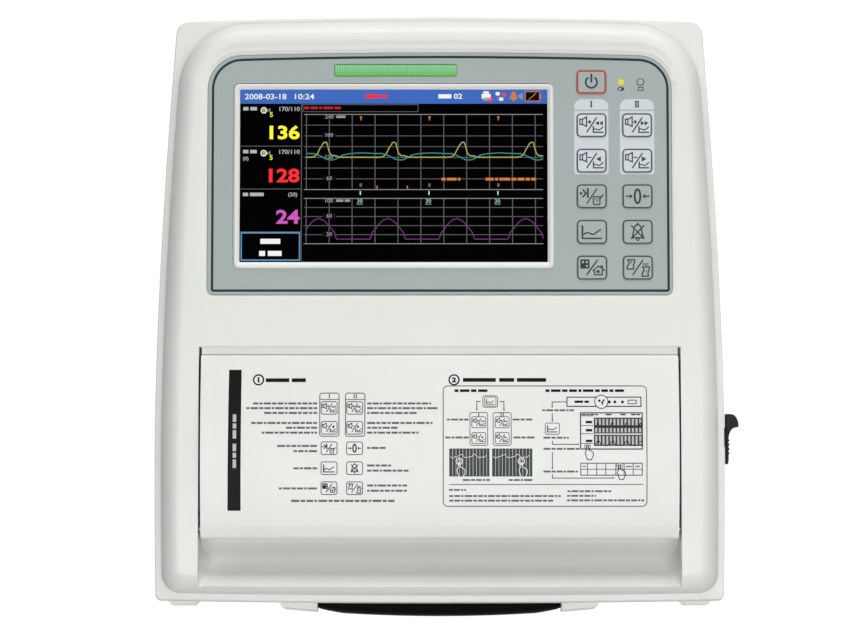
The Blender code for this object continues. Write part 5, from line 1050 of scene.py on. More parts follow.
def make_indicator(name, u, finish):
    """A small domed indicator."""
    rim = OVERLAY_TOP + 0.0001
    profile = [(LED_RADIUS, -0.007), (LED_RADIUS, rim)]
    for k in range(1, 8):
        turn = math.pi / 2 * k / 8
        profile.append((LED_RADIUS * math.cos(turn), rim + LED_DOME * math.sin(turn)))
    lens = turned(f"{name}_skin", profile, (u, LED_V), outward, 40)
    return settle(lens, FACE, finish, "root", [name], 50)


def make_touch_panel(finish):
    """The glass under the screen frame."""
    outline = screen_rectangle(GLASS_BORDER, 0.0006)
    glass = prism("touch_panel_skin", outline, SCREEN_TOP - GLASS_THICKNESS, SCREEN_TOP)
    return settle(glass, FACE, finish, "root", ["touch_panel"])


# Door and printer


def door_w(v):
    """The height of the door's outer surface."""
    share = (DOOR_HIGH_V - v) / (DOOR_HIGH_V - DOOR_LIP_V)
    return DOOR_CROWN * 4 * share * (1 - share) - DOOR_SINK


def door_profile():
    """The door's section: crowned, rounded at the top edge and bent back at the bottom."""
    steps = 44
    length = DOOR_HIGH_V - DOOR_LIP_V
    places = [DOOR_HIGH_V - length * k / steps for k in range(1, steps + 1)]
    outer = [(v, door_w(v)) for v in places]
    top = (DOOR_HIGH_V - DOOR_EDGE, door_w(DOOR_HIGH_V - DOOR_EDGE) - DOOR_EDGE)
    turns = [math.pi / 2 * k / 8 for k in range(9)]
    edge = [(top[0] + DOOR_EDGE * math.cos(t), top[1] + DOOR_EDGE * math.sin(t)) for t in turns]
    bend = arc(DOOR_BEND, 112, 180, 10, (DOOR_LOW_V + DOOR_BEND, -DOOR_SINK - 0.0046))
    steps_down = ((0.0011, 0.00025), (0.0024, 0.0006), (0.0037, 0.00102))
    knee = [(DOOR_LIP_V - back, -DOOR_SINK - drop) for back, drop in steps_down]
    outline = [*edge, *outer, *knee, *bend, (DOOR_LOW_V, -DOOR_LIP_DEPTH)]
    inside = DOOR_LOW_V + DOOR_WALL
    outline += [(inside, -DOOR_LIP_DEPTH), (inside, -DOOR_SINK - DOOR_WALL * 1.4)]
    outline += [(v, w - DOOR_WALL) for v, w in reversed(outer)]
    outline.append((DOOR_HIGH_V, top[1] + DOOR_EDGE - DOOR_WALL))
    return outline


def make_door(finish):
    """The paper door with its bearing arms, hinge ears and catch."""
    door = prism("paper_door_skin", door_profile(), -DOOR_HALF, DOOR_HALF, across)
    bevel(door, 0.0004, 3, 60)
    below = -DOOR_SINK - DOOR_WALL / 2
    centre = (PLATEN_V, -PLATEN_DEPTH)
    arm = [(PLATEN_V - ARM_RADIUS, below), *arc(ARM_RADIUS, 180, 360, 24, centre),
           (DOOR_HIGH_V - DOOR_WALL, below)]
    hinge = (HINGE_V, -HINGE_DEPTH)
    ear = [(HINGE_V - EAR_RADIUS, -0.0062), *arc(EAR_RADIUS, 180, 360, 24, hinge),
           (HINGE_V + EAR_RADIUS, -DOOR_WALL)]
    bearing_seat = circle(BEARING_RADIUS, 48, centre)
    pin_seat = circle(PIN_RADIUS, 32, hinge)
    adds = []
    cuts = []
    for side in (-1, 1):
        adds.append(prism("arm", arm, *on_side(side, 0.0799, 0.0833), across))
        adds.append(prism("ear", ear, *on_side(side, DOOR_HALF - 0.0008, DOOR_HALF - 0.0058), across))
        cuts.append(prism("bearing_seat", bearing_seat, *on_side(side, 0.0759, 0.0873), across))
        cuts.append(prism("pin_seat", pin_seat, *on_side(side, 0.1234, 0.1096), across))
    catch = [(0.1175, -0.0223), (0.1208, -0.0223), (0.1214, -0.0217), (0.1214, -0.0213), (0.1194, -0.0213),
             (0.1194, -0.0160), (0.1214, -0.0140), (0.1214, below), (0.1175, below)]
    adds.append(prism("catch", catch, 0.106, 0.112, across))
    for tool in adds:
        combine(door, tool, "UNION")
    for tool in cuts:
        combine(door, tool)
    return settle(door, FACE, finish, "door", ["paper_door"], 30)


def make_platen(finishes):
    """The ground rubber roller, its shaft and its two bearings."""
    centre = (PLATEN_V, -PLATEN_DEPTH)
    half = PLATEN_HALF
    profile = [(0.0056, -half), (0.0060, -half + 0.0004), (0.0060, half - 0.0004), (0.0056, half)]
    roller = turned("platen_roller_skin", profile, centre, across, 72)
    combine(roller, prism("bore", circle(0.0028, 32, centre), -half - 0.001, half + 0.001, across))
    settle(roller, FACE, finishes["platen"], "platen", ["platen_roller"], 50)
    dress("platen_shaft", finishes["turned_steel"], "platen", 0.00015)
    dress("platen_gear", finishes["gear"], "platen", 0.00012)
    dress("platen_bearing_left", finishes["turned_steel"], "door", 0.0002)
    dress("platen_bearing_right", finishes["turned_steel"], "door", 0.0002)


def make_drive(finishes):
    dress("idler_gear", finishes["gear"], "idler", 0.00012)
    dress("motor_pinion", finishes["gear"], "pinion", 0.0001)
    dress("idler_pin", finishes["turned_steel"], "root", 0.00015)
    dress("feed_motor", finishes["turned_steel"], "root", 0.0003)


def make_printer(finishes):
    dress("printer_chassis", finishes["steel"], "root", 0.0002)
    dress("print_head", finishes["aluminium"], "root", 0.0003)
    dress("paper_tray", finishes["black"], "root", 0.0003)


def make_latch(finishes):
    """The release lever with its hooked finger rest and ribs, its slide and its spring."""
    edge = list(LEVER_HOOK)
    for k in reversed(range(4)):
        edge += [(1.0 + a, b) for a, b in arc(0.5, 90, -90, 6, (0, 74.6 + 2.2 * k))]
    edge += LEVER_FOOT
    outline = [(LEVER_WALL + a * MM, b * MM) for a, b in edge]
    lever = prism("release_lever_skin", outline, *LEVER_W)
    bevel(lever, 0.0003, 3, 60)
    combine(lever, block("stem", (0.1358, 0.078, -0.02175), (LEVER_WALL + 0.0006, 0.0875, -0.01775)), "UNION")
    settle(lever, FACE, finishes["lever"], "latch", ["release_lever"], 40)
    dress("latch_slide", finishes["steel"], "latch", 0.0002)
    spring = dress("lever_spring", finishes["turned_steel"], "root", 0)
    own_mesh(spring)


# Connectors


def make_socket(name, y, finishes):
    """A round probe socket with its index groove and contacts."""
    flange = SOCKET_X - GAP - 0.0022
    mouth = flange - 0.004
    centre = (y, SOCKET_Z)
    profile = [(0.007, SOCKET_X + 0.008), (0.007, SOCKET_X - GAP), (0.0095, SOCKET_X - GAP),
               (0.0095, flange + 0.0004), (0.0091, flange), (0.0078, flange), (0.0078, mouth + 0.0005),
               (0.0073, mouth), (0.0060, mouth), (0.0056, mouth + 0.0005), (0.0056, mouth + 0.010)]
    socket = turned(f"{name}_skin", profile, centre, across, 64)
    groove = block("index", (mouth - 0.001, y - 0.0007, SOCKET_Z), (mouth + 0.009, y + 0.0007, 0.0373))
    combine(socket, groove)
    settle(socket, STAND, finishes["socket"], "root", [name], 40)
    pins = []
    for k in range(7):
        turn = 2 * math.pi * k / 6
        place = (y + CONTACT_CIRCLE * math.sin(turn), SOCKET_Z + CONTACT_CIRCLE * math.cos(turn))
        steps = [(0.00055, mouth + 0.0102), (0.00055, mouth + 0.0040), (0.00025, mouth + 0.0036)]
        pins.append(turned("contact", steps, place if k < 6 else centre, across, 16))
    settle(gather(f"{name}_contacts", pins), STAND, finishes["gold"], "root", (), 40)


def make_connectors(finishes):
    for k, name in enumerate(("us_socket_1", "us_socket_2", "toco_socket", "marker_socket")):
        make_socket(name, SOCKET_Y + SOCKET_PITCH * (k - 1.5), finishes)
    dress("dc_inlet", finishes["black"], "root", 0.0003)
    dress("lan_port", finishes["steel"], "root", 0.0003)
    dress("usb_port", finishes["steel"], "root", 0.0002)


def make_base(finishes):
    """Feet, battery cover, speaker and case screws."""
    dress("battery_cover", finishes["case"], "root", 0.0004)
    dress("battery_pack", finishes["wrap"], "root", 0.0008)
    dress("speaker", finishes["black"], "root", 0.0004)
    for end in ("front", "rear"):
        for side in ("left", "right"):
            dress(f"foot_{end}_{side}", finishes["rubber"], "root", 0.0005)
            dress(f"case_screw_{end}_{side}", finishes["turned_steel"], "root", 0.0002)


def make_inside(finishes):
    """Display module, boards, bracket and hinge pins."""
    dress("lcd_module", finishes["steel"], "root", 0.0003)
    dress("lcd_bracket", finishes["aluminium"], "root", 0.0002)
    dress("key_board", finishes["board"], "root", 0.0001)
    dress("main_board", finishes["board"], "root", 0.0001)
    dress("hinge_pin_left", finishes["turned_steel"], "root", 0.0002)
    dress("hinge_pin_right", finishes["turned_steel"], "root", 0.0002)


# Prints


class Drawing:
    """Thin closed shapes of one ink, drawn in millimetres and laid on a surface."""

    def __init__(self, weight=1.0):
        self.points = []
        self.faces = []
        self.weight = weight
        self.move(0, 0)

    def move(self, x, y, size=1.0, up=1):
        """Where the next shapes go, how large, and whether y runs up or down."""
        self.x, self.y, self.size, self.up = x, y, size, up
        return self

    def place(self, x, y):
        return (self.x + self.size * x, self.y + self.up * self.size * y)

    def slab(self, outline):
        start, count = len(self.points), len(outline)
        flat = [self.place(x, y) for x, y in outline]
        self.points += [(x, y, 1) for x, y in flat] + [(x, y, 0) for x, y in flat]
        self.faces.append([start + k for k in range(count)])
        self.faces.append([start + count + k for k in reversed(range(count))])
        for k in range(count):
            after = (k + 1) % count
            self.faces.append([start + k, start + after, start + count + after, start + count + k])

    def line(self, points, width, closed=False):
        """A line of even width with mitred corners."""
        start, count = len(self.points), len(points)
        reach_out = width * self.weight / 2
        for k, point in enumerate(points):
            here = Vector(point)
            before = Vector(points[k - 1]) if closed or k else here
            after = Vector(points[(k + 1) % count]) if closed or k < count - 1 else here
            into = (here - before) if k or closed else (after - here)
            out = (after - here) if closed or k < count - 1 else (here - before)
            into, out = into.normalized(), out.normalized()
            along_it = (into + out).normalized() if (into + out).length > 0.01 else out
            normal = Vector((-along_it.y, along_it.x))
            reach = reach_out / max(0.5, abs(normal.dot(Vector((-out.y, out.x)))))
            for side in (here + normal * reach, here - normal * reach):
                x, y = self.place(*side)
                self.points += [(x, y, 1), (x, y, 0)]
        for k in range(count if closed else count - 1):
            a, b = start + 4 * k, start + 4 * ((k + 1) % count)
            self.faces += [[a, b, b + 2, a + 2], [a + 1, a + 3, b + 3, b + 1],
                           [a, a + 1, b + 1, b], [a + 2, b + 2, b + 3, a + 3]]
        if not closed:
            a, b = start, start + 4 * (count - 1)
            self.faces += [[a, a + 2, a + 3, a + 1], [b, b + 1, b + 3, b + 2]]

    def bar(self, left, right, middle, height):
        low, high = middle - height / 2, middle + height / 2
        self.slab([(left, low), (right, low), (right, high), (left, high)])

    def panel(self, left, low, right, high, radius=0.0):
        self.slab(rectangle(right - left, high - low, ((left + right) / 2, (low + high) / 2), radius, 4))

    def frame_line(self, left, low, right, high, width, radius=0.0):
        size = (right - left - width, high - low - width)
        outline = rectangle(*size, ((left + right) / 2, (low + high) / 2), max(0.0, radius - width / 2), 5)
        self.line(outline, width, True)

    def disc(self, x, y, radius, steps=24):
        self.slab(circle(radius, steps, (x, y)))

    def ring(self, x, y, radius, width, steps=32):
        self.line(circle(radius, steps, (x, y)), width, True)

    def words(self, left, right, middle, height, first=0):
        """A line of plain bars in the place of words."""
        lengths = (5.2, 3.1, 7.4, 4.3, 6.1, 2.4, 8.2, 3.7)
        x, k = left, first
        while x < right - 0.8:
            end = min(right, x + lengths[k % len(lengths)] * height * 0.5)
            if right - end < height * 1.2:
                end = right
            self.bar(x, end, middle, height)
            x = end + height * 0.55
            k += 1

    def number(self, body, x, y, height, align="LEFT", stretch=1.0, weight=0.01):
        """Figures of this height that stand on y; weight makes them bolder."""
        clear_selection()
        bpy.ops.object.text_add()
        figures = bpy.context.object
        figures.data.body = body
        figures.data.extrude = 0.01
        figures.data.offset = weight
        figures.data.resolution_u = 3
        bpy.ops.object.convert(target="MESH")
        mesh = figures.data
        spots = [v.co.copy() for v in mesh.vertices]
        low, high = min(p.y for p in spots), max(p.y for p in spots)
        left, right = min(p.x for p in spots), max(p.x for p in spots)
        scale = height / (high - low)
        shift = {"LEFT": left, "RIGHT": right, "CENTER": (left + right) / 2}[align]
        base = self.place(x, y)
        start = len(self.points)
        for p in spots:
            across_it = (p.x - shift) * scale * stretch * self.size
            self.points.append((base[0] + across_it, base[1] + (p.y - low) * scale * self.size, int(p.z > 0)))
        self.faces += [[start + k for k in polygon.vertices] for polygon in mesh.polygons]
        bpy.data.objects.remove(figures)
        bpy.data.meshes.remove(mesh)

    def build(self, name, surface, thickness, lift=0.0, strips=()):
        """Makes the piece; strips are the places up the face where it is split to follow a curve."""
        mesh = bpy.data.meshes.new(name)
        mesh.from_pydata([(x * MM, y * MM, z * thickness) for x, y, z in self.points], [], self.faces)
        piece = bpy.data.objects.new(name, mesh)
        bpy.context.scene.collection.objects.link(piece)
        pick(piece)
        bpy.ops.object.mode_set(mode="EDIT")
        bpy.ops.mesh.select_all(action="SELECT")
        bpy.ops.mesh.remove_doubles(threshold=0.0000005)
        bpy.ops.mesh.normals_make_consistent(inside=False)
        shape = bmesh.from_edit_mesh(mesh)
        for v in strips:
            every = shape.verts[:] + shape.edges[:] + shape.faces[:]
            bmesh.ops.bisect_plane(shape, geom=every, dist=0.0000001, plane_co=(0, v, 0), plane_no=(0, 1, 0))
        for vert in shape.verts:
            vert.co = surface(vert.co.x, vert.co.y, vert.co.z + lift - thickness / 2)
        bmesh.update_edit_mesh(mesh)
        bpy.ops.object.mode_set(mode="OBJECT")
        return piece


def on_level(w):
    return lambda x, y, z: Vector((x, y, w + z))


def on_door(x, y, z):
    return Vector((x, y, door_w(y) + z))


def mark(piece, finish, body):
    """Settles a print, which stays flat shaded."""
    piece.matrix_world = FACE
    pick(piece)
    bpy.ops.object.transform_apply(location=True, rotation=True, scale=True)
    piece.data.materials.append(finish)
    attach(piece, body)
    return piece


# Symbols, in millimetres from a key's centre

SYMBOL_WEIGHT = 1.16


def draw_slash(ink):
    ink.line([(-2.5, -3.7), (2.6, 3.9)], 0.58)


def draw_speaker(ink):
    cone = [(-5.85, 0.4), (-4.6, 0.4), (-2.5, -0.6), (-2.5, 4.1), (-4.6, 3.0), (-5.85, 3.0)]
    ink.line(cone, 0.55, True)
    ink.line([(-4.6, 0.5), (-4.6, 2.9)], 0.5)


def draw_volume(ink, rising, side):
    """A speaker with plus or minus, and an arrow above a chart; rising has two arrows."""
    draw_speaker(ink)
    draw_slash(ink)
    ink.line([(-2.0, 1.65), (0.0, 1.65)], 0.5)
    if rising:
        ink.line([(-0.95, 0.75), (-0.95, 2.55)], 0.6)
    spots = ((2.8, 0.95, 1.15), (4.75, 0.95, 1.15)) if rising else ((3.4, 1.2, 1.35),)
    for middle, reach, half in spots:
        height = 1.0 if rising else 0.86
        tip, base = middle + side * reach, middle - side * reach
        ink.slab([(tip, height), (base, height + side * half), (base, height - side * half)])
    ink.line([(0.9, -0.4), (0.9, -3.6), (6.0, -3.6)], 0.58)
    ink.line([(0.9, -2.3), (1.85, -1.9), (2.7, -2.1), (3.6, -2.5), (4.6, -1.9), (5.95, -0.75)], 0.48)


def draw_mark(ink):
    """An arrow to a line, and a note pad with a pen."""
    ink.disc(-5.4, 1.45, 0.7, 14)
    ink.line([(-4.6, 3.4), (-2.9, 1.45), (-4.6, -0.5)], 0.75)
    ink.line([(-2.0, 4.1), (-2.0, -0.9)], 0.78)
    draw_slash(ink)
    ink.frame_line(0.5, -4.5, 4.3, 0.1, 0.52, 0.7)
    ink.line([(1.5, -1.0), (3.3, -1.0), (1.6, -1.9), (3.2, -1.9), (2.1, -3.1)], 0.3)
    ink.line([(3.7, -1.3), (5.7, 0.7)], 0.7)


def draw_zero(ink):
    """A zero between two arrows."""
    oval = [(1.4 * math.cos(t), 3.45 * math.sin(t)) for t in (2 * math.pi * k / 32 for k in range(32))]
    ink.line(oval, 0.9, True)
    for side in (-1, 1):
        ink.line([(side * 6.0, 0), (side * 3.4, 0)], 0.6)
        ink.slab([(side * 2.4, 0), (side * 4.2, side * 1.6), (side * 3.5, 0), (side * 4.2, side * -1.6)])


def draw_trend(ink):
    ink.line([(-4.7, 3.3), (-4.7, -3.3), (5.0, -3.3)], 0.66)
    for k in range(6):
        ink.line([(-5.45, 2.9 - 1.1 * k), (-4.8, 2.9 - 1.1 * k)], 0.4)
    for k in range(7):
        ink.line([(-3.2 + 1.2 * k, -3.4), (-3.2 + 1.2 * k, -2.75)], 0.26)
    curve = [(-4.3, -1.35), (-3.2, -0.6), (-2.1, -0.35), (-1.05, -0.7), (0.3, -1.3), (1.65, -0.75),
             (3.2, 0.45), (4.5, 1.3)]
    ink.line(curve, 0.62)


def draw_alarm_silence(ink):
    """A bell crossed out."""
    half = [(-3.2, -3.6), (-2.4, -1.5), (-1.9, 1.2), (-1.75, 2.3), (-1.1, 3.2), (0, 3.75)]
    bell = half + [(-x, y) for x, y in reversed(half[:-1])]
    ink.line(bell, 0.6)
    ink.line([(-3.2, -3.0), (3.2, -3.0)], 0.55)
    ink.ring(0, -3.5, 0.75, 0.5, 16)
    ink.slab([(0, 4.8), (-0.75, 3.7), (0.75, 3.7)])
    ink.line([(-3.3, 3.3), (2.6, -2.8)], 0.58)
    ink.line([(3.3, 3.3), (-2.6, -2.8)], 0.58)


def draw_home(ink):
    """A menu grid, and a house."""
    ink.frame_line(-5.9, -0.45, -1.35, 4.1, 0.75, 0.4)
    ink.line([(-3.62, -0.3), (-3.62, 3.9)], 0.85)
    ink.line([(-5.7, 1.75), (-1.5, 1.75)], 0.85)
    ink.panel(-5.6, 0.0, -3.7, 1.7)
    ink.line([(-2.8, -3.7), (2.8, 4.0)], 0.62)
    house = [(3.2, 0.7), (0.3, -1.4), (1.2, -1.4), (1.2, -3.6), (5.0, -3.6), (5.0, -1.4), (6.1, -1.4),
             (5.1, -0.4), (5.1, 0.8), (4.5, 0.8), (4.5, -0.1)]
    ink.line(house, 0.55, True)
    ink.disc(3.0, -2.0, 0.85, 14)


def draw_sheet(ink, x, y, narrow):
    """A strip of paper with a wavy edge."""
    sheet = [(-5.1, 4.0), (-1.6, 4.0), (-1.6, 2.7), (-2.3, 0.7), (-2.1, -1.4), (-5.4, -1.4), (-5.3, 0.3),
             (-4.45, 1.7), (-4.5, 2.9)]
    ink.line([(a * narrow + x, b * 0.86 + y) for a, b in sheet], 0.58, True)


def draw_print(ink):
    """Two sheets of a strip, and two waves."""
    draw_sheet(ink, 0, 0.5, 1.0)
    ink.line([(-3.8, 3.0), (-2.8, 3.0)], 0.45)
    ink.line([(-3.6, 2.3), (-3.0, 2.3)], 0.4)
    draw_sheet(ink, 7.2, -3.1, 0.95)
    ink.line([(4.2, -1.1), (4.2, -2.2)], 0.3)
    ink.line([(-2.7, -3.8), (2.7, 4.0)], 0.58)
    for k in range(2):
        wave = [(2.3 + 0.5 * s, 1.25 + 0.7 * k + 0.22 * math.sin(s * 1.6)) for s in range(7)]
        ink.line(wave, 0.3)


def draw_power(ink):
    ink.line(arc(2.85, 122, 418, 36, (0, -0.15)), 0.8)
    ink.line([(0, 4.1), (0, -0.3)], 0.85)


SYMBOLS = {
    "key_power": draw_power,
    "key_volume_up_1": lambda ink: draw_volume(ink, True, -1),
    "key_volume_up_2": lambda ink: draw_volume(ink, True, 1),
    "key_volume_down_1": lambda ink: draw_volume(ink, False, -1),
    "key_volume_down_2": lambda ink: draw_volume(ink, False, 1),
    "key_mark": draw_mark,
    "key_zero": draw_zero,
    "key_trend": draw_trend,
    "key_alarm_silence": draw_alarm_silence,
    "key_home": draw_home,
    "key_print": draw_print,
}


def print_keys(finishes, prints):
    """The outline and the symbol on each key, which move with it."""
    for name, u, v in KEYS:
        x, y = u / MM, v / MM
        outline = Drawing().move(x, y)
        power = name == "key_power"
        width = prints.key_line / MM * (1.4 if power else 1.0)
        outline.frame_line(-7.4, -5.95, 7.4, 5.95, width, 2.0)
        finish = finishes["ring"] if power else finishes["ink"]
        piece = outline.build(f"{name}_outline", on_level(KEY_TOP), prints.thickness)
        mark(piece, finish, f"{name}_cap")
        symbol = Drawing(SYMBOL_WEIGHT).move(x, y)
        SYMBOLS[name](symbol)
        piece = symbol.build(f"{name}_symbol", on_level(KEY_TOP), prints.thickness)
        mark(piece, finishes["ink"], f"{name}_cap")


# The panel's dark line: how far out from the panel's edges, and how many millimetres farther right
PANEL_LINE_INSETS = (-0.00215, -0.0021, -0.0020)
PANEL_LINE_SHIFT = 0.32
# The pads behind the volume keys, in millimetres
PAD_COLUMNS = ((67.65, 84.8), (90.6, 107.8))
PAD_LOW = 214.2
PAD_HIGH = 252.3
PAD_LINE = 246.7
NUMERAL_STEM = (248.3, 251.3)
NUMERAL_SERIFS = (248.35, 251.25)
OVER_PRINT = 0.00002


def print_panel(finishes, prints):
    """The panel's dark line, the pads behind the volume keys with their numerals, and the small symbols."""
    level = on_level(OVERLAY_TOP)
    rim = Drawing()
    line = [(u / MM + PANEL_LINE_SHIFT, v / MM) for u, v in overlay_outline(*PANEL_LINE_INSETS)]
    rim.line(line, prints.panel_line / MM, True)
    rim = rim.build("panel_line", level, prints.thickness, OVER_PRINT)
    mark(rim, finishes["line_ink"], "root")
    pads = Drawing()
    edges = Drawing()
    small = Drawing()
    for left, right in PAD_COLUMNS:
        corners = ((left, PAD_LOW, 1.5), (right, PAD_LOW, 1.5), (right, PAD_HIGH, 3.8), (left, PAD_HIGH, 3.8))
        pads.slab(rounded(corners, 8))
        edges.line([(left, PAD_LINE), (right, PAD_LINE)], 0.65)
        middle = (left + right) / 2
        double = left > 80
        half = 1.05 if double else 0.5
        for x in ((middle - 0.55, middle + 0.55) if double else (middle,)):
            small.line([(x, y) for y in NUMERAL_STEM], 0.72)
        for y in NUMERAL_SERIFS:
            small.line([(middle - half, y), (middle + half, y)], 0.42)
    pads = pads.build("volume_pads", level, prints.thickness)
    combine(pads, gather("wells", [key_well(*key) for key in KEYS[1:5]]))
    mark(pads, finishes["pad"], "root")
    edges = edges.build("volume_pad_lines", level, prints.thickness, OVER_PRINT)
    mark(edges, finishes["panel"], "root")
    plug = [(-1.65, 0), (-0.7, 0.75), (0.6, 0.85), (1.5, 0.35), (1.5, -0.35), (0.6, -0.85), (-0.7, -0.75)]
    small.move(91.1, 257.5)
    small.line(plug, 0.4, True)
    small.panel(0.3, -0.7, 1.3, 0.7)
    small.move(101.1, 257.5)
    small.frame_line(-1.5, -0.95, 1.5, 0.95, 0.42, 0.3)
    small.move(101.0, 261.0)
    small.ring(0, 0, 1.75, 0.3)
    symbols = small.build("panel_symbols", level, prints.thickness, OVER_PRINT)
    mark(symbols, finishes["ink"], "root")


# Door guide: drawn in steps of about half a millimetre, with y running down

GUIDE_SCALE = 0.498
GUIDE_X = -439.5 * GUIDE_SCALE
GUIDE_Y = 116.1 + 370 * GUIDE_SCALE
# Places up the face where the guide's prints are split to follow the door's curve
GUIDE_STRIPS = [0.0445 + 0.0015 * k for k in range(50)]
# Line widths, as shares of the drawn ones, from the lowest print to the highest, with each one's finish
GUIDE_INKS = {
    "chart": (1.0, "ink"), "dark": (1.35, "black_ink"), "fine": (1.4, "grey_ink"), "grey": (1.0, "grey_ink"),
    "pale": (1.0, "pale_ink"), "light": (1.0, "white_ink"), "trace": (1.2, "black_ink"),
}
# Lines of text beside the keys: how far down, and the outer end
GUIDE_LINES_LEFT = (
    (403.8, 253.0), (408.5, 246.3), (413.3, 264.0), (423.3, 251.3), (428.1, 286.0), (433.0, 261.9),
    (446.2, 277.2), (451.4, 293.6), (468.5, 293.6), (488.5, 279.0),
)
GUIDE_LINES_RIGHT = (
    (403.8, 430.9), (408.5, 437.2), (413.3, 416.4), (423.3, 432.3), (428.1, 397.4), (433.0, 418.3),
    (448.2, 385.4), (465.7, 390.9), (470.8, 408.3), (485.6, 406.9), (490.8, 406.6),
)
# Other lines of text: how far down, and both ends
GUIDE_CAPTIONS = (
    (419.9, 446.7, 468.3), (419.9, 512.2, 531.8), (437.8, 445.1, 468.3), (437.8, 512.9, 533.9),
    (480.1, 462.4, 489.6), (480.1, 508.3, 531.8), (410.6, 541.9, 573.5), (438.0, 542.9, 568.2),
    (449.1, 542.9, 578.8), (471.7, 542.9, 577.0), (496.1, 448.9, 560.3), (500.7, 448.9, 552.7),
    (495.9, 566.5, 595.3), (500.4, 566.5, 643.4), (490.0, 448.6, 465.7), (491.3, 566.9, 610.4),
)
GUIDE_ARROWS = (
    ((480.2, 401.8), (476.5, 401.8), (476.5, 409.6)), ((499.4, 401.8), (503.6, 401.8), (503.6, 409.6)),
    ((566.0, 402.3), (551.8, 402.3), (551.8, 406.6)), ((551.8, 413.4), (551.8, 420.4)),
    ((551.8, 441.0), (551.8, 444.6), (577.0, 444.6)), ((551.8, 452.3), (551.8, 468.0)),
    ((551.8, 474.3), (551.8, 478.2), (612.0, 478.2)),
)


def draw_guide_key(inks, name, x, y, size):
    """A small copy of a key."""
    place = (GUIDE_X + x * GUIDE_SCALE, GUIDE_Y - y * GUIDE_SCALE, size)
    inks["fine"].move(*place).frame_line(-7.35, -5.9, 7.35, 5.9, 0.6, 2.1)
    SYMBOLS[name](inks["dark"].move(*place))


def draw_numeral_pair(ink, x, y, double):
    """One upright stroke, or two."""
    for shift in ((-1.1, 1.1) if double else (0.0,)):
        ink.line([(x + shift, y - 2.2), (x + shift, y + 2.2)], 0.7)


def draw_hand(ink, x, y):
    """A pointing hand below a spot."""
    outline = [(-0.9, 1.0), (0.9, 1.0), (1.0, 4.6), (5.4, 7.2), (6.2, 9.6), (3.9, 15.0), (0.0, 15.0),
               (-1.4, 11.0), (-2.4, 8.0), (-0.9, 5.0)]
    ink.line([(x + a, y + b) for a, b in outline], 0.7, True)


def place_sheet(inks):
    for ink in inks.values():
        ink.move(GUIDE_X, GUIDE_Y, GUIDE_SCALE, -1)


def draw_guide_left(inks):
    """The black bar, and the first heading with the ten keys and the lines of text beside them."""
    dark, fine, grey, pale = (inks[k] for k in ("dark", "fine", "grey", "pale"))
    place_sheet(inks)
    dark.slab([(228.6, 370.0), (241.2, 370.0), (240.7, 510.8), (227.6, 510.8)])
    for low, high in ((414.7, 440.0), (444.0, 470.0)):
        y = low
        for length in (7.5, 5.0, 8.5, 6.0):
            end = min(high, y + length)
            if end - y > 1.5:
                pale.panel(232.9, y, 236.3, end)
            y = end + 1.6
    dark.ring(258.2, 380.1, 4.95, 1.1)
    dark.number("1", 258.2, 382.7, 5.2, "CENTER", 1.2, 0.06)
    dark.bar(265.5, 289.0, 380.5, 3.8)
    dark.bar(291.5, 305.5, 380.5, 3.8)
    for left, right in ((319.3, 339.2), (345.0, 365.0)):
        fine.frame_line(left, 393.1, right, 436.9, 0.7, 2.6)
        fine.line([(left, 399.8), (right, 399.8)], 0.6)
    draw_numeral_pair(dark, 329.2, 396.6, False)
    draw_numeral_pair(dark, 355.0, 396.6, True)
    for k, (y, x) in enumerate(GUIDE_LINES_LEFT):
        grey.words(x, 317.0, y, 2.0, k)
    for k, (y, x) in enumerate(GUIDE_LINES_RIGHT):
        grey.words(367.0, x, y, 2.0, k + 3)
    grey.words(291.2, 394.4, 500.9, 2.2, 2)
    rows = (408.3, 428.1, 448.5, 468.4, 488.3)
    for k, (name, _, _) in enumerate(KEYS[1:]):
        draw_guide_key(inks, name, (329.05, 354.5)[k % 2], rows[k // 2], 0.56)


def draw_guide_header(dark, light, trace):
    """A strip like the screen's header, with one icon under a magnifying circle."""
    dark.frame_line(566.2, 397.1, 640.9, 407.1, 0.75, 0.3)
    dark.words(574.2, 588.6, 402.1, 2.3, 2)
    light.disc(600.9, 402.1, 6.8)
    trace.ring(600.9, 402.1, 6.6, 0.7)
    for x, y, radius in ((598.9, 401.0, 1.3), (603.2, 400.6, 1.0), (601.9, 402.6, 1.2), (602.0, 404.6, 0.8)):
        trace.disc(x, y, radius, 12)
    for x in (609.0, 614.5, 622.0):
        dark.disc(x, 402.3, 1.5, 12)
    dark.frame_line(627.4, 400.2, 636.2, 404.4, 0.6, 0.6)


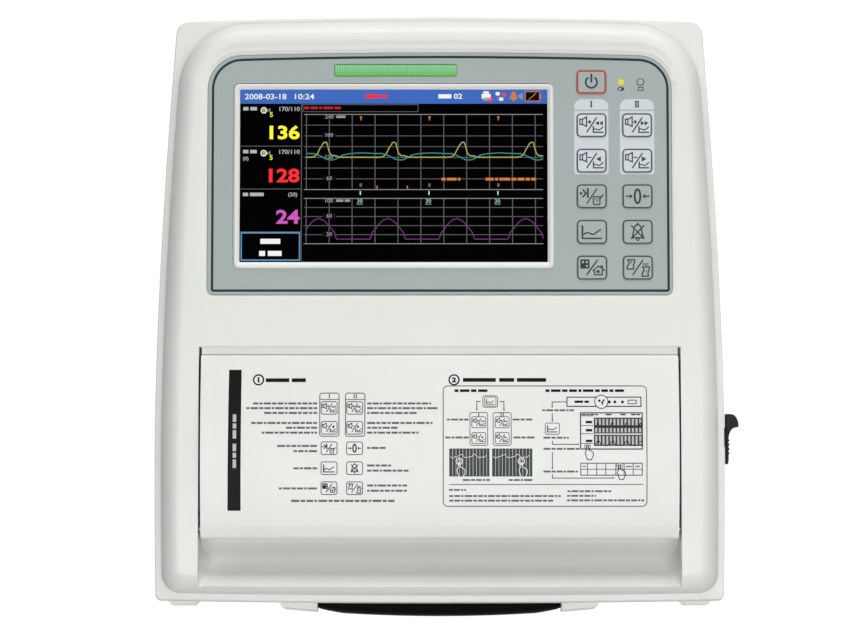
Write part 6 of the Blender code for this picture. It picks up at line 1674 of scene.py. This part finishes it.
def draw_guide_screen(dark, chart, pale, light, trace):
    """A small copy of the screen: its numbers column, and two charts with their traces."""
    dark.frame_line(579.6, 412.8, 642.0, 449.7, 0.8)
    chart.panel(593.2, 418.0, 641.4, 446.2)
    for low, high in ((419.3, 425.6), (428.4, 432.8), (436.4, 444.8)):
        for k in range(13):
            x = 595.6 + 3.66 * k
            pale.panel(x - 0.95, low, x + 0.95, high)
    light.panel(593.8, 433.9, 641.0, 435.1)
    for k in range(4):
        x = 595.4 + 14.2 * k
        peak = [(x - 1.5, 427.2), (x + 0.4, 426.6), (x + 1.4, 423.6), (x + 2.4, 423.6), (x + 3.2, 426.9),
                (x + 11.5, 427.2)]
        dome = [(x - 0.8, 446.0), (x + 0.8, 442.0), (x + 3.2, 441.4), (x + 5.6, 445.6), (x + 12.0, 446.0)]
        for curve, width in ((peak, 0.8), (dome, 0.7)):
            trace.line([(min(641.0, a), b) for a, b in curve], width)
    for y in (416.2, 426.0, 434.0, 443.8):
        dark.line([(580.0, y), (592.8, y)], 0.45)
    for y in (422.4, 430.6, 441.2):
        dark.words(585.2, 591.6, y, 2.4, 1)
    for left, right in ((581.0, 597.5), (605.0, 611.0), (620.0, 625.0), (630.5, 639.5)):
        dark.words(left, right, 414.9, 1.3, 2)


def draw_guide_table(fine, grey):
    """A table of two rows."""
    fine.frame_line(579.8, 463.1, 641.8, 475.7, 0.75)
    fine.line([(580.0, 469.4), (641.6, 469.4)], 0.6)
    for x in (586.8, 596.0, 605.0, 615.0, 623.3, 632.4):
        fine.line([(x, 463.3), (x, 475.5)], 0.65)
    for left, right in ((582.0, 585.2), (624.8, 631.4), (634.4, 639.0)):
        grey.panel(left, 466.0, right, 467.2)


def draw_guide_right(inks):
    """The second heading, and the frame with its key pictures, charts, screen, table and pointing hands."""
    dark, fine, grey, chart = (inks[k] for k in ("dark", "fine", "grey", "chart"))
    pale, light, trace = (inks[k] for k in ("pale", "light", "trace"))
    place_sheet(inks)
    dark.ring(453.8, 380.1, 4.95, 1.1)
    dark.number("2", 453.8, 382.7, 5.2, "CENTER", 1.2, 0.06)
    for left, right in ((462.7, 495.6), (499.0, 514.0), (516.7, 545.9)):
        dark.bar(left, right, 380.2, 3.8)
    fine.frame_line(442.6, 385.9, 646.5, 506.7, 0.7, 5.0)
    for left, right in ((454.2, 487.2), (545.2, 623.7)):
        dark.words(left, right, 391.0, 2.6, 1)
    for y, left, right in GUIDE_CAPTIONS:
        grey.words(left, right, y, 1.9, int(left) % 5)
    fine.frame_line(482.3, 395.9, 497.5, 407.9, 0.6, 2.4)
    for points in GUIDE_ARROWS:
        dark.line(points, 0.6)
        end, before = Vector(points[-1]), Vector(points[-2])
        ahead = (end - before).normalized()
        side = Vector((-ahead.y, ahead.x))
        dark.slab([tuple(end + ahead * 1.4), tuple(end - side * 1.2), tuple(end + side * 1.2)])
    for k, (left, right) in enumerate(((469.3, 487.6), (492.5, 511.1))):
        fine.frame_line(left, 412.6, right, 446.0, 0.6, 2.4)
        draw_numeral_pair(dark, (left + right) / 2, 415.4, k == 1)
    for left, right, spot in ((448.9, 489.0, 458.9), (491.7, 531.8, 520.9)):
        chart.panel(left, 448.8, right, 476.6)
        x = left + 3.4
        while x < right - 1:
            light.line([(x, 449.4), (x, 476.0)], 0.32)
            x += 3.4
        heights = [456.5 + 1.6 * math.sin(k * 1.1) + 0.9 * math.sin(k * 2.3) for k in range(16)]
        light.line([(left + 1 + 2.4 * k, y) for k, y in enumerate(heights)], 0.5)
        light.ring(spot, 461.4, 3.2, 0.8)
        light.ring(spot, 461.4, 1.6, 0.6)
        draw_hand(light, spot, 462.4)
    draw_guide_header(dark, light, trace)
    draw_guide_screen(dark, chart, pale, light, trace)
    draw_guide_table(fine, grey)
    for x, y in ((586.8, 445.0), (618.8, 464.6)):
        light.disc(x, y + 1.4, 2.6)
        trace.ring(x, y + 1.4, 3.0, 0.4)
        trace.ring(x, y + 1.4, 1.7, 0.35)
        draw_hand(trace, x, y)
    fine.line([(448.9, 484.6), (642.3, 484.6)], 0.6)
    draw_guide_key(inks, "key_trend", 489.9, 401.9, 0.40)
    for k, (name, _, _) in enumerate(KEYS[1:5]):
        draw_guide_key(inks, name, (478.4, 501.8)[k % 2], (422.6, 438.4)[k // 2], 0.49)
    draw_guide_key(inks, "key_trend", 551.8, 429.0, 0.50)


def print_guide(finishes, prints):
    """The short guide on the door, its texts as plain bars."""
    inks = {name: Drawing(weight) for name, (weight, _) in GUIDE_INKS.items()}
    draw_guide_left(inks)
    draw_guide_right(inks)
    for level, (name, (_, finish)) in enumerate(GUIDE_INKS.items()):
        lift = 0.00001 * level
        piece = inks[name].build(f"door_guide_{name}", on_door, prints.thickness, lift, GUIDE_STRIPS)
        mark(piece, finishes[finish], "door")


# Screen picture: millimetres from its upper left corner, with y running down

# How far its corner is raised, how much its heights are stretched, and how much wider its header is
PICTURE_RAISE = 0.92
PICTURE_STRETCH = 1.0165
HEADER_MORE = 1.0
HEADER_HEIGHT = 7.3
CHART_LEFT = 32.15
CHART_RIGHT = 152.5
CHART_PERIOD = 34.66
GRID_LEFT = 33.4
GRID_PITCH = 11.52
UPPER_GRID = (12.65, 5.35, 8)
LOWER_GRID = (54.5, 4.5, 6)

# Each trace as places along the chart and their rise
PEAK_TRACE = (
    (0, 0), (2.3, 0.2), (3.9, 1.5), (5.1, 4.0), (6.1, 5.6), (7.2, 7.3), (8.7, 7.5), (9.5, 4.5), (10.2, 2.0),
    (11.4, 0.8), (13.5, 0.7), (15, 0), (34.7, 0),
)
DIP_TRACE = (
    (0, 0), (2.2, -0.6), (4.6, -1.8), (6.8, -2.9), (9.0, -3.2), (10.8, -2.9), (12.8, -1.8), (14.8, -0.7),
    (17.5, -0.1), (24, 0.4), (30, 0.1), (34.7, 0),
)
DOME_TRACE = (
    (0, 0), (1.0, 3.3), (2.7, 5.0), (4.3, 7.3), (6.3, 9.3), (8.8, 10.3), (11.3, 9.3), (13.3, 7.4),
    (15.2, 5.0), (16.7, 3.3), (17.7, 0), (34.7, 0),
)


def repeat_curve(shape, first, base, wander):
    """A curve that repeats its shape along the chart, with a slight unrest."""
    points = []
    steps = 320
    for k in range(steps + 1):
        x = CHART_LEFT + 1.2 + (CHART_RIGHT - CHART_LEFT - 1.2) * k / steps
        place = (x - first) % CHART_PERIOD
        after = next(i for i, point in enumerate(shape) if point[0] > place)
        (x0, y0), (x1, y1) = shape[after - 1], shape[after]
        rise = y0 + (y1 - y0) * (place - x0) / (x1 - x0)
        points.append((x, base - rise + wander * math.sin(5.1 * x) * math.sin(1.7 * x + 1)))
    return points


def draw_sound(inks, x, y):
    """A small loudspeaker sign."""
    inks["white"].ring(x, y, 1.35, 0.5, 16)
    inks["pale_green"].disc(x + 0.15, y, 0.85, 14)
    inks["grey"].line([(x + 2.0, y - 0.6), (x + 2.0, y + 0.6)], 0.5)
    inks["grey"].line([(x + 3.0, y - 1.0), (x + 3.0, y + 0.8)], 0.5)


def draw_screen_left(inks):
    """The numbers column."""
    inks["line"].panel(30.7, 7.3, 31.1, 85.7)
    for y in (28.5, 49.8, 71.1):
        inks["line"].panel(0.1, y - 0.16, 30.8, y + 0.16)
    inks["yellow"].number("136", 30.0, 25.1, 7.1, "RIGHT", 1.25, 0.03)
    inks["red"].number("128", 30.0, 46.6, 7.1, "RIGHT", 1.25, 0.03)
    inks["magenta"].number("24", 30.0, 67.1, 7.1, "RIGHT", 1.25, 0.03)
    for y, end in ((9.8, 8.4), (31.2, 8.4), (52.5, 12.0)):
        inks["pale"].words(1.5, end, y, 1.7, 1)
    for top in (8.7, 30.1):
        draw_sound(inks, 11.9, top + 1.9)
        inks["yellow"].number("5", 14.9, top + 5.2, 2.4, "LEFT", 1.1)
        inks["pale"].number("170/110", 30.0, top + 2.3, 2.2, "RIGHT", 1.1)
    inks["pale"].number("(0)", 1.5, 36.0, 2.3, "LEFT", 1.1)
    inks["pale"].number("(20)", 28.8, 54.0, 2.5, "RIGHT", 1.1)
    inks["blue"].frame_line(0.5, 71.3, 30.4, 85.4, 0.6, 0.2)
    inks["white"].words(10.4, 20.4, 75.8, 2.5, 2)
    inks["white"].words(9.8, 21.1, 81.8, 2.5, 5)


def draw_screen_header(inks):
    inks["header"].panel(0, 0, SCREEN_WIDTH / MM + HEADER_MORE, HEADER_HEIGHT)
    inks["white"].number("2008-03-18", 2.3, 5.1, 2.8, "LEFT", 1.18, 0.012)
    inks["white"].number("10:24", 27.5, 5.1, 2.8, "LEFT", 1.26, 0.012)
    inks["red"].words(63.2, 73.9, 3.6, 2.0, 2)
    inks["white"].words(99.8, 106.4, 3.6, 2.1, 6)
    inks["white"].number("02", 107.6, 4.9, 2.7, "LEFT", 1.2, 0.02)
    inks["white"].panel(121.6, 2.3, 126.2, 4.9, 0.4)
    inks["white"].panel(122.5, 1.1, 125.3, 2.2, 0.2)
    inks["grey"].panel(122.5, 4.2, 125.3, 5.9, 0.2)
    inks["red"].disc(125.9, 5.1, 1.2, 16)
    inks["pale"].line([(125.4, 4.6), (126.4, 5.6)], 0.3)
    inks["pale"].line([(125.4, 5.6), (126.4, 4.6)], 0.3)
    for x, y in ((129.7, 2.3), (131.5, 5.0)):
        inks["white"].panel(x - 1.0, y - 0.85, x + 1.0, y + 0.85, 0.3)
    inks["grey"].line([(129.7, 3.2), (129.7, 5.0), (130.5, 5.0)], 0.35)
    inks["red"].disc(133.0, 2.7, 1.0, 16)
    inks["pale"].line([(132.6, 2.3), (133.4, 3.1)], 0.26)
    inks["pale"].line([(132.6, 3.1), (133.4, 2.3)], 0.26)
    bell = [(135.6, 5.0), (136.3, 3.4), (136.8, 1.8), (137.7, 1.2), (138.6, 1.8), (139.1, 3.4), (139.8, 5.0)]
    inks["orange"].slab(bell)
    inks["orange"].disc(137.7, 5.4, 0.6, 12)
    inks["grey"].slab([(140.2, 2.9), (141.0, 2.9), (142.2, 1.6), (142.2, 5.6), (141.0, 4.3), (140.2, 4.3)])
    inks["black"].panel(143.5, 1.1, 151.0, 6.1, 0.3)
    inks["orange"].frame_line(143.5, 1.1, 151.0, 6.1, 0.35, 0.3)
    inks["orange"].panel(151.0, 2.7, 151.6, 4.5)
    inks["orange"].line([(145.4, 5.3), (149.2, 1.9)], 0.35)


def draw_grid(inks, top, pitch, count):
    """One chart's lines, with the first and the last brighter."""
    bottom = top + pitch * (count - 1)
    for k in range(11):
        x = GRID_LEFT + GRID_PITCH * k
        inks["line"].panel(x - 0.2, top, x + 0.2, bottom)
    for k in range(count):
        y = top + pitch * k
        name = "grey" if k in (0, count - 1) else "line"
        inks[name].panel(CHART_LEFT, y - 0.16, CHART_RIGHT, y + 0.16)


def draw_screen_charts(inks):
    """Two gridded charts with their traces."""
    draw_grid(inks, *UPPER_GRID)
    draw_grid(inks, *LOWER_GRID)
    for body, y in (("240", 13.8), ("180", 22.9), ("120", 33.8), ("60", 44.4), ("100", 55.6), ("60", 63.1),
                    ("20", 72.2)):
        inks["black"].panel(41.6, y - 1.3, 48.2, y + 1.3)
        inks["grey"].number(body, 44.9, y + 0.95, 1.9, "CENTER", 1.1)
    inks["grey"].words(48.4, 53.0, 13.8, 1.2, 2)
    inks["grey"].words(48.4, 55.4, 55.6, 1.2, 4)
    inks["line"].frame_line(31.4, 7.6, 89.8, 11.4, 0.3, 0.2)
    inks["dim_red"].words(32.2, 50.6, 9.4, 1.2, 3)
    inks["dim_yellow"].line(repeat_curve(PEAK_TRACE, 34.9, 34.0, 0.18), 0.45)
    inks["teal"].line(repeat_curve(DIP_TRACE, 37.0, 32.2, 0.14), 0.45)
    inks["dim_magenta"].line(repeat_curve(DOME_TRACE, 30.9, 74.7, 0.0), 0.45)
    for x in (60.8, 95.3, 130.0):
        inks["orange"].panel(x - 0.5, 13.7, x + 0.6, 14.3)
        inks["orange"].panel(x - 0.2, 14.2, x + 0.25, 15.6)
        inks["line"].panel(x - 0.6, 47.0, x + 0.6, 48.7)
        inks["white"].panel(x - 0.5, 50.9, x, 52.7)
        inks["green"].number("30", x - 0.5, 56.7, 1.9, "CENTER", 1.1)
        inks["green"].panel(x - 2.0, 57.2, x + 1.0, 57.45)
    for x in (69.0, 84.2):
        inks["orange"].panel(x - 0.25, 48.2, x + 0.25, 49.7)
    inks["orange"].words(101.4, 110.9, 44.9, 1.3, 1)
    inks["orange"].words(123.6, 148.9, 44.9, 1.3, 4)


def print_screen(finishes, prints):
    """The lit picture: header, numbers and charts, all made up."""
    names = (
        "line", "header", "black", "grey", "blue", "teal", "dim_magenta", "dim_yellow", "dim_red", "yellow",
        "magenta", "red", "orange", "green", "pale_green", "pale", "white",
    )
    inks = {name: Drawing() for name in names}
    corner = ((SCREEN_U - SCREEN_WIDTH / 2) / MM, (SCREEN_V + SCREEN_HEIGHT / 2) / MM + PICTURE_RAISE)
    for ink in inks.values():
        ink.move(*corner, 1.0, -PICTURE_STRETCH)
    draw_screen_left(inks)
    draw_screen_header(inks)
    draw_screen_charts(inks)
    levels = {"line": 0, "header": 1, "black": 2}
    for name in names:
        lift = 0.00001 * levels.get(name, 3)
        piece = inks[name].build(f"screen_{name}", on_level(SCREEN_TOP), prints.thickness, lift)
        mark(piece, finishes[f"light_{name}"], "root")


# Stage


def make_floor():
    """A pale floor and backdrop that show as white to the camera and keep the object's soft shadow."""
    clear_selection()
    bpy.ops.mesh.primitive_plane_add(size=8, location=(0, 0, -0.0002))
    floor = bpy.context.object
    floor.name = "studio_floor"
    finish = new_finish("studio_white", (0.30, 0.30, 0.30), 0.8, 0.0, 0.1)
    tree = finish.node_tree
    shader = tree.nodes["Principled BSDF"]
    vector = face_coordinates(tree)
    cloud = add_noise(tree, vector, 3.0)
    tint(tree, cloud, (0.30, 0.30, 0.30), (0.32, 0.32, 0.32), shader.inputs["Base Color"])
    rays = tree.nodes.new("ShaderNodeLightPath")
    seen = tree.nodes.new("ShaderNodeMath")
    seen.operation = "MAXIMUM"
    tree.links.new(rays.outputs["Is Camera Ray"], seen.inputs[0])
    tree.links.new(rays.outputs["Is Glossy Ray"], seen.inputs[1])
    glow = tree.nodes.new("ShaderNodeEmission")
    glow.inputs["Color"].default_value = (1, 1, 1, 1)
    share = tree.nodes.new("ShaderNodeMath")
    share.operation = "MULTIPLY"
    share.inputs[1].default_value = 0.83
    tree.links.new(seen.outputs["Value"], share.inputs[0])
    tree.links.new(share.outputs["Value"], glow.inputs["Strength"])
    both = tree.nodes.new("ShaderNodeAddShader")
    tree.links.new(shader.outputs["BSDF"], both.inputs[0])
    tree.links.new(glow.outputs["Emission"], both.inputs[1])
    tree.links.new(both.outputs["Shader"], tree.nodes["Material Output"].inputs["Surface"])
    floor.data.materials.append(finish)


def make_world():
    world = bpy.data.worlds.new("studio")
    bpy.context.scene.world = world
    world.use_nodes = True
    tree = world.node_tree
    soft = tree.nodes["Background"]
    soft.inputs["Color"].default_value = (0.96, 0.98, 1.0, 1)
    soft.inputs["Strength"].default_value = 0.06
    plain = tree.nodes.new("ShaderNodeBackground")
    plain.inputs["Color"].default_value = (1, 1, 1, 1)
    plain.inputs["Strength"].default_value = 1.0
    rays = tree.nodes.new("ShaderNodeLightPath")
    mix = tree.nodes.new("ShaderNodeMixShader")
    tree.links.new(rays.outputs["Is Camera Ray"], mix.inputs[0])
    tree.links.new(soft.outputs["Background"], mix.inputs[1])
    tree.links.new(plain.outputs["Background"], mix.inputs[2])
    tree.links.new(mix.outputs["Shader"], tree.nodes["World Output"].inputs["Surface"])


def add_lamp(name, place, aim, width, depth, watts):
    """A soft rectangular lamp that points at a spot."""
    clear_selection()
    bpy.ops.object.light_add(type="AREA", location=place)
    lamp = bpy.context.object
    lamp.name = name
    lamp.data.shape = "RECTANGLE"
    lamp.data.size = width
    lamp.data.size_y = depth
    lamp.data.energy = watts
    lamp.rotation_euler = (Vector(aim) - Vector(place)).to_track_quat("-Z", "Y").to_euler()


def make_lamps():
    """Two lamps behind, one at the right and two in front, the front ones aimed at the trough."""
    middle, trough = (0, 0, 0.06), (0, -0.06, 0.06)
    add_lamp("lamp_back", (0.1, 1.4, 0.65), middle, 1.6, 0.5, 16.3)
    add_lamp("lamp_high", (0.0, 0.5, 1.35), middle, 1.6, 0.4, 2.6)
    add_lamp("lamp_right", (1.15, 0.10, 0.95), middle, 0.7, 1.2, 2.6)
    add_lamp("lamp_near", (0.0, -0.45, 1.2), trough, 1.4, 0.5, 10.3)
    add_lamp("lamp_front", (0.0, -1.2, 0.5), trough, 1.2, 0.4, 2.9)


CAMERA_AIM = Vector((-0.0098, -0.00825, 0.07283))
CAMERA_DISTANCE = 1.1955
CAMERA_ELEVATION = math.radians(78.4)


def make_camera():
    """A long lens above the front, square to the sloping face but for a few degrees."""
    clear_selection()
    back = Vector((0, -math.cos(CAMERA_ELEVATION), math.sin(CAMERA_ELEVATION)))
    bpy.ops.object.camera_add(location=CAMERA_AIM + back * CAMERA_DISTANCE)
    camera = bpy.context.object
    camera.rotation_euler = (math.pi / 2 - CAMERA_ELEVATION, 0, 0)
    camera.data.lens = 101.0
    camera.data.sensor_width = 36.0
    camera.data.clip_start = 0.01
    bpy.context.scene.camera = camera
    bpy.context.scene.view_settings.view_transform = "Standard"


# Operators


class CTG_OT_finishes(bpy.types.Operator):
    """Make the finishes that the pieces take."""

    bl_idname = "ctg.finishes"
    bl_label = "Finishes"

    def execute(self, context):
        FINISH.update(make_finishes(context.scene.ctg_colours))
        return {"FINISHED"}


class CTG_OT_stage(bpy.types.Operator):
    """Add the floor, the lamps and the camera."""

    bl_idname = "ctg.stage"
    bl_label = "Stage"

    def execute(self, context):
        make_floor()
        make_world()
        make_lamps()
        make_camera()
        return {"FINISHED"}


class CTG_OT_front_cover(bpy.types.Operator):
    """Make the upper case half."""

    bl_idname = "ctg.front_cover"
    bl_label = "Front cover"

    def execute(self, context):
        make_front_cover(context.scene.ctg_case, FINISH["case"])
        make_gap_shadow_strips(FINISH["gap"])
        return {"FINISHED"}


class CTG_OT_rear_case(bpy.types.Operator):
    """Make the lower case half and the black handle grip."""

    bl_idname = "ctg.rear_case"
    bl_label = "Rear case and handle"

    def execute(self, context):
        make_rear_case(FINISH["case"])
        make_handle_grip(FINISH["rubber"])
        return {"FINISHED"}


class CTG_OT_base(bpy.types.Operator):
    """Make the feet, battery cover, speaker and case screws."""

    bl_idname = "ctg.base"
    bl_label = "Base"

    def execute(self, context):
        make_base(FINISH)
        return {"FINISHED"}


class CTG_OT_panel(bpy.types.Operator):
    """Make the membrane panel, its keys, lens and indicators, and their prints."""

    bl_idname = "ctg.panel"
    bl_label = "Control panel"

    def execute(self, context):
        make_overlay(FINISH["panel"])
        make_keys(FINISH)
        make_lamp(FINISH["lamp"])
        make_indicator("power_led", POWER_LED_U, FINISH["led_on"])
        make_indicator("battery_led", BATTERY_LED_U, FINISH["led_off"])
        print_panel(FINISH, context.scene.ctg_prints)
        print_keys(FINISH, context.scene.ctg_prints)
        return {"FINISHED"}


class CTG_OT_screen(bpy.types.Operator):
    """Make the glass and its lit picture."""

    bl_idname = "ctg.screen"
    bl_label = "Screen"

    def execute(self, context):
        make_touch_panel(FINISH["glass"])
        print_screen(FINISH, context.scene.ctg_prints)
        return {"FINISHED"}


class CTG_OT_door(bpy.types.Operator):
    """Make the paper door with its printed guide."""

    bl_idname = "ctg.door"
    bl_label = "Paper door"

    def execute(self, context):
        make_door(FINISH["door"])
        print_guide(FINISH, context.scene.ctg_prints)
        return {"FINISHED"}


class CTG_OT_printer(bpy.types.Operator):
    """Make the platen, its drive, the print head and the paper tray."""

    bl_idname = "ctg.printer"
    bl_label = "Printer"

    def execute(self, context):
        make_platen(FINISH)
        make_drive(FINISH)
        make_printer(FINISH)
        return {"FINISHED"}


class CTG_OT_latch(bpy.types.Operator):
    """Make the release lever, its slide and its spring."""

    bl_idname = "ctg.latch"
    bl_label = "Latch"

    def execute(self, context):
        make_latch(FINISH)
        return {"FINISHED"}


class CTG_OT_connectors(bpy.types.Operator):
    """Make the probe sockets and the rear connectors."""

    bl_idname = "ctg.connectors"
    bl_label = "Connectors"

    def execute(self, context):
        make_connectors(FINISH)
        return {"FINISHED"}


class CTG_OT_inside(bpy.types.Operator):
    """Make the display module, its bracket, the boards and the hinge pins."""

    bl_idname = "ctg.inside"
    bl_label = "Inside"

    def execute(self, context):
        make_inside(FINISH)
        return {"FINISHED"}


class CTG_PT_sidebar(bpy.types.Panel):
    """Sizes, colours and a button for each group of pieces."""

    bl_idname = "CTG_PT_sidebar"
    bl_label = "Cardiotocograph"
    bl_space_type = "VIEW_3D"
    bl_region_type = "UI"
    bl_category = "Cardiotocograph"

    def draw(self, context):
        for group in (context.scene.ctg_case, context.scene.ctg_prints, context.scene.ctg_colours):
            box = self.layout.box()
            for name in group.__annotations__:
                box.prop(group, name)
        for operator in OPERATORS:
            self.layout.operator(operator.bl_idname)


GROUPS = {"ctg_case": CaseSizes, "ctg_prints": PrintSizes, "ctg_colours": FinishColours}
OPERATORS = (
    CTG_OT_finishes, CTG_OT_stage, CTG_OT_front_cover, CTG_OT_rear_case, CTG_OT_base, CTG_OT_panel,
    CTG_OT_screen, CTG_OT_door, CTG_OT_printer, CTG_OT_latch, CTG_OT_connectors, CTG_OT_inside,
)


def register():
    for group in (*GROUPS.values(), *OPERATORS, CTG_PT_sidebar):
        bpy.utils.register_class(group)
    for name, group in GROUPS.items():
        setattr(bpy.types.Scene, name, bpy.props.PointerProperty(type=group))


def unregister():
    for name in GROUPS:
        delattr(bpy.types.Scene, name)
    for group in (CTG_PT_sidebar, *reversed(OPERATORS), *GROUPS.values()):
        bpy.utils.unregister_class(group)


def main():
    register()
    bpy.ops.ctg.finishes()
    bpy.ops.ctg.stage()
    bpy.ops.ctg.front_cover()
    bpy.ops.ctg.rear_case()
    bpy.ops.ctg.base()
    bpy.ops.ctg.panel()
    bpy.ops.ctg.screen()
    bpy.ops.ctg.door()
    bpy.ops.ctg.printer()
    bpy.ops.ctg.latch()
    bpy.ops.ctg.connectors()
    bpy.ops.ctg.inside()
    clear_selection()


if __name__ == "__main__":
    main()
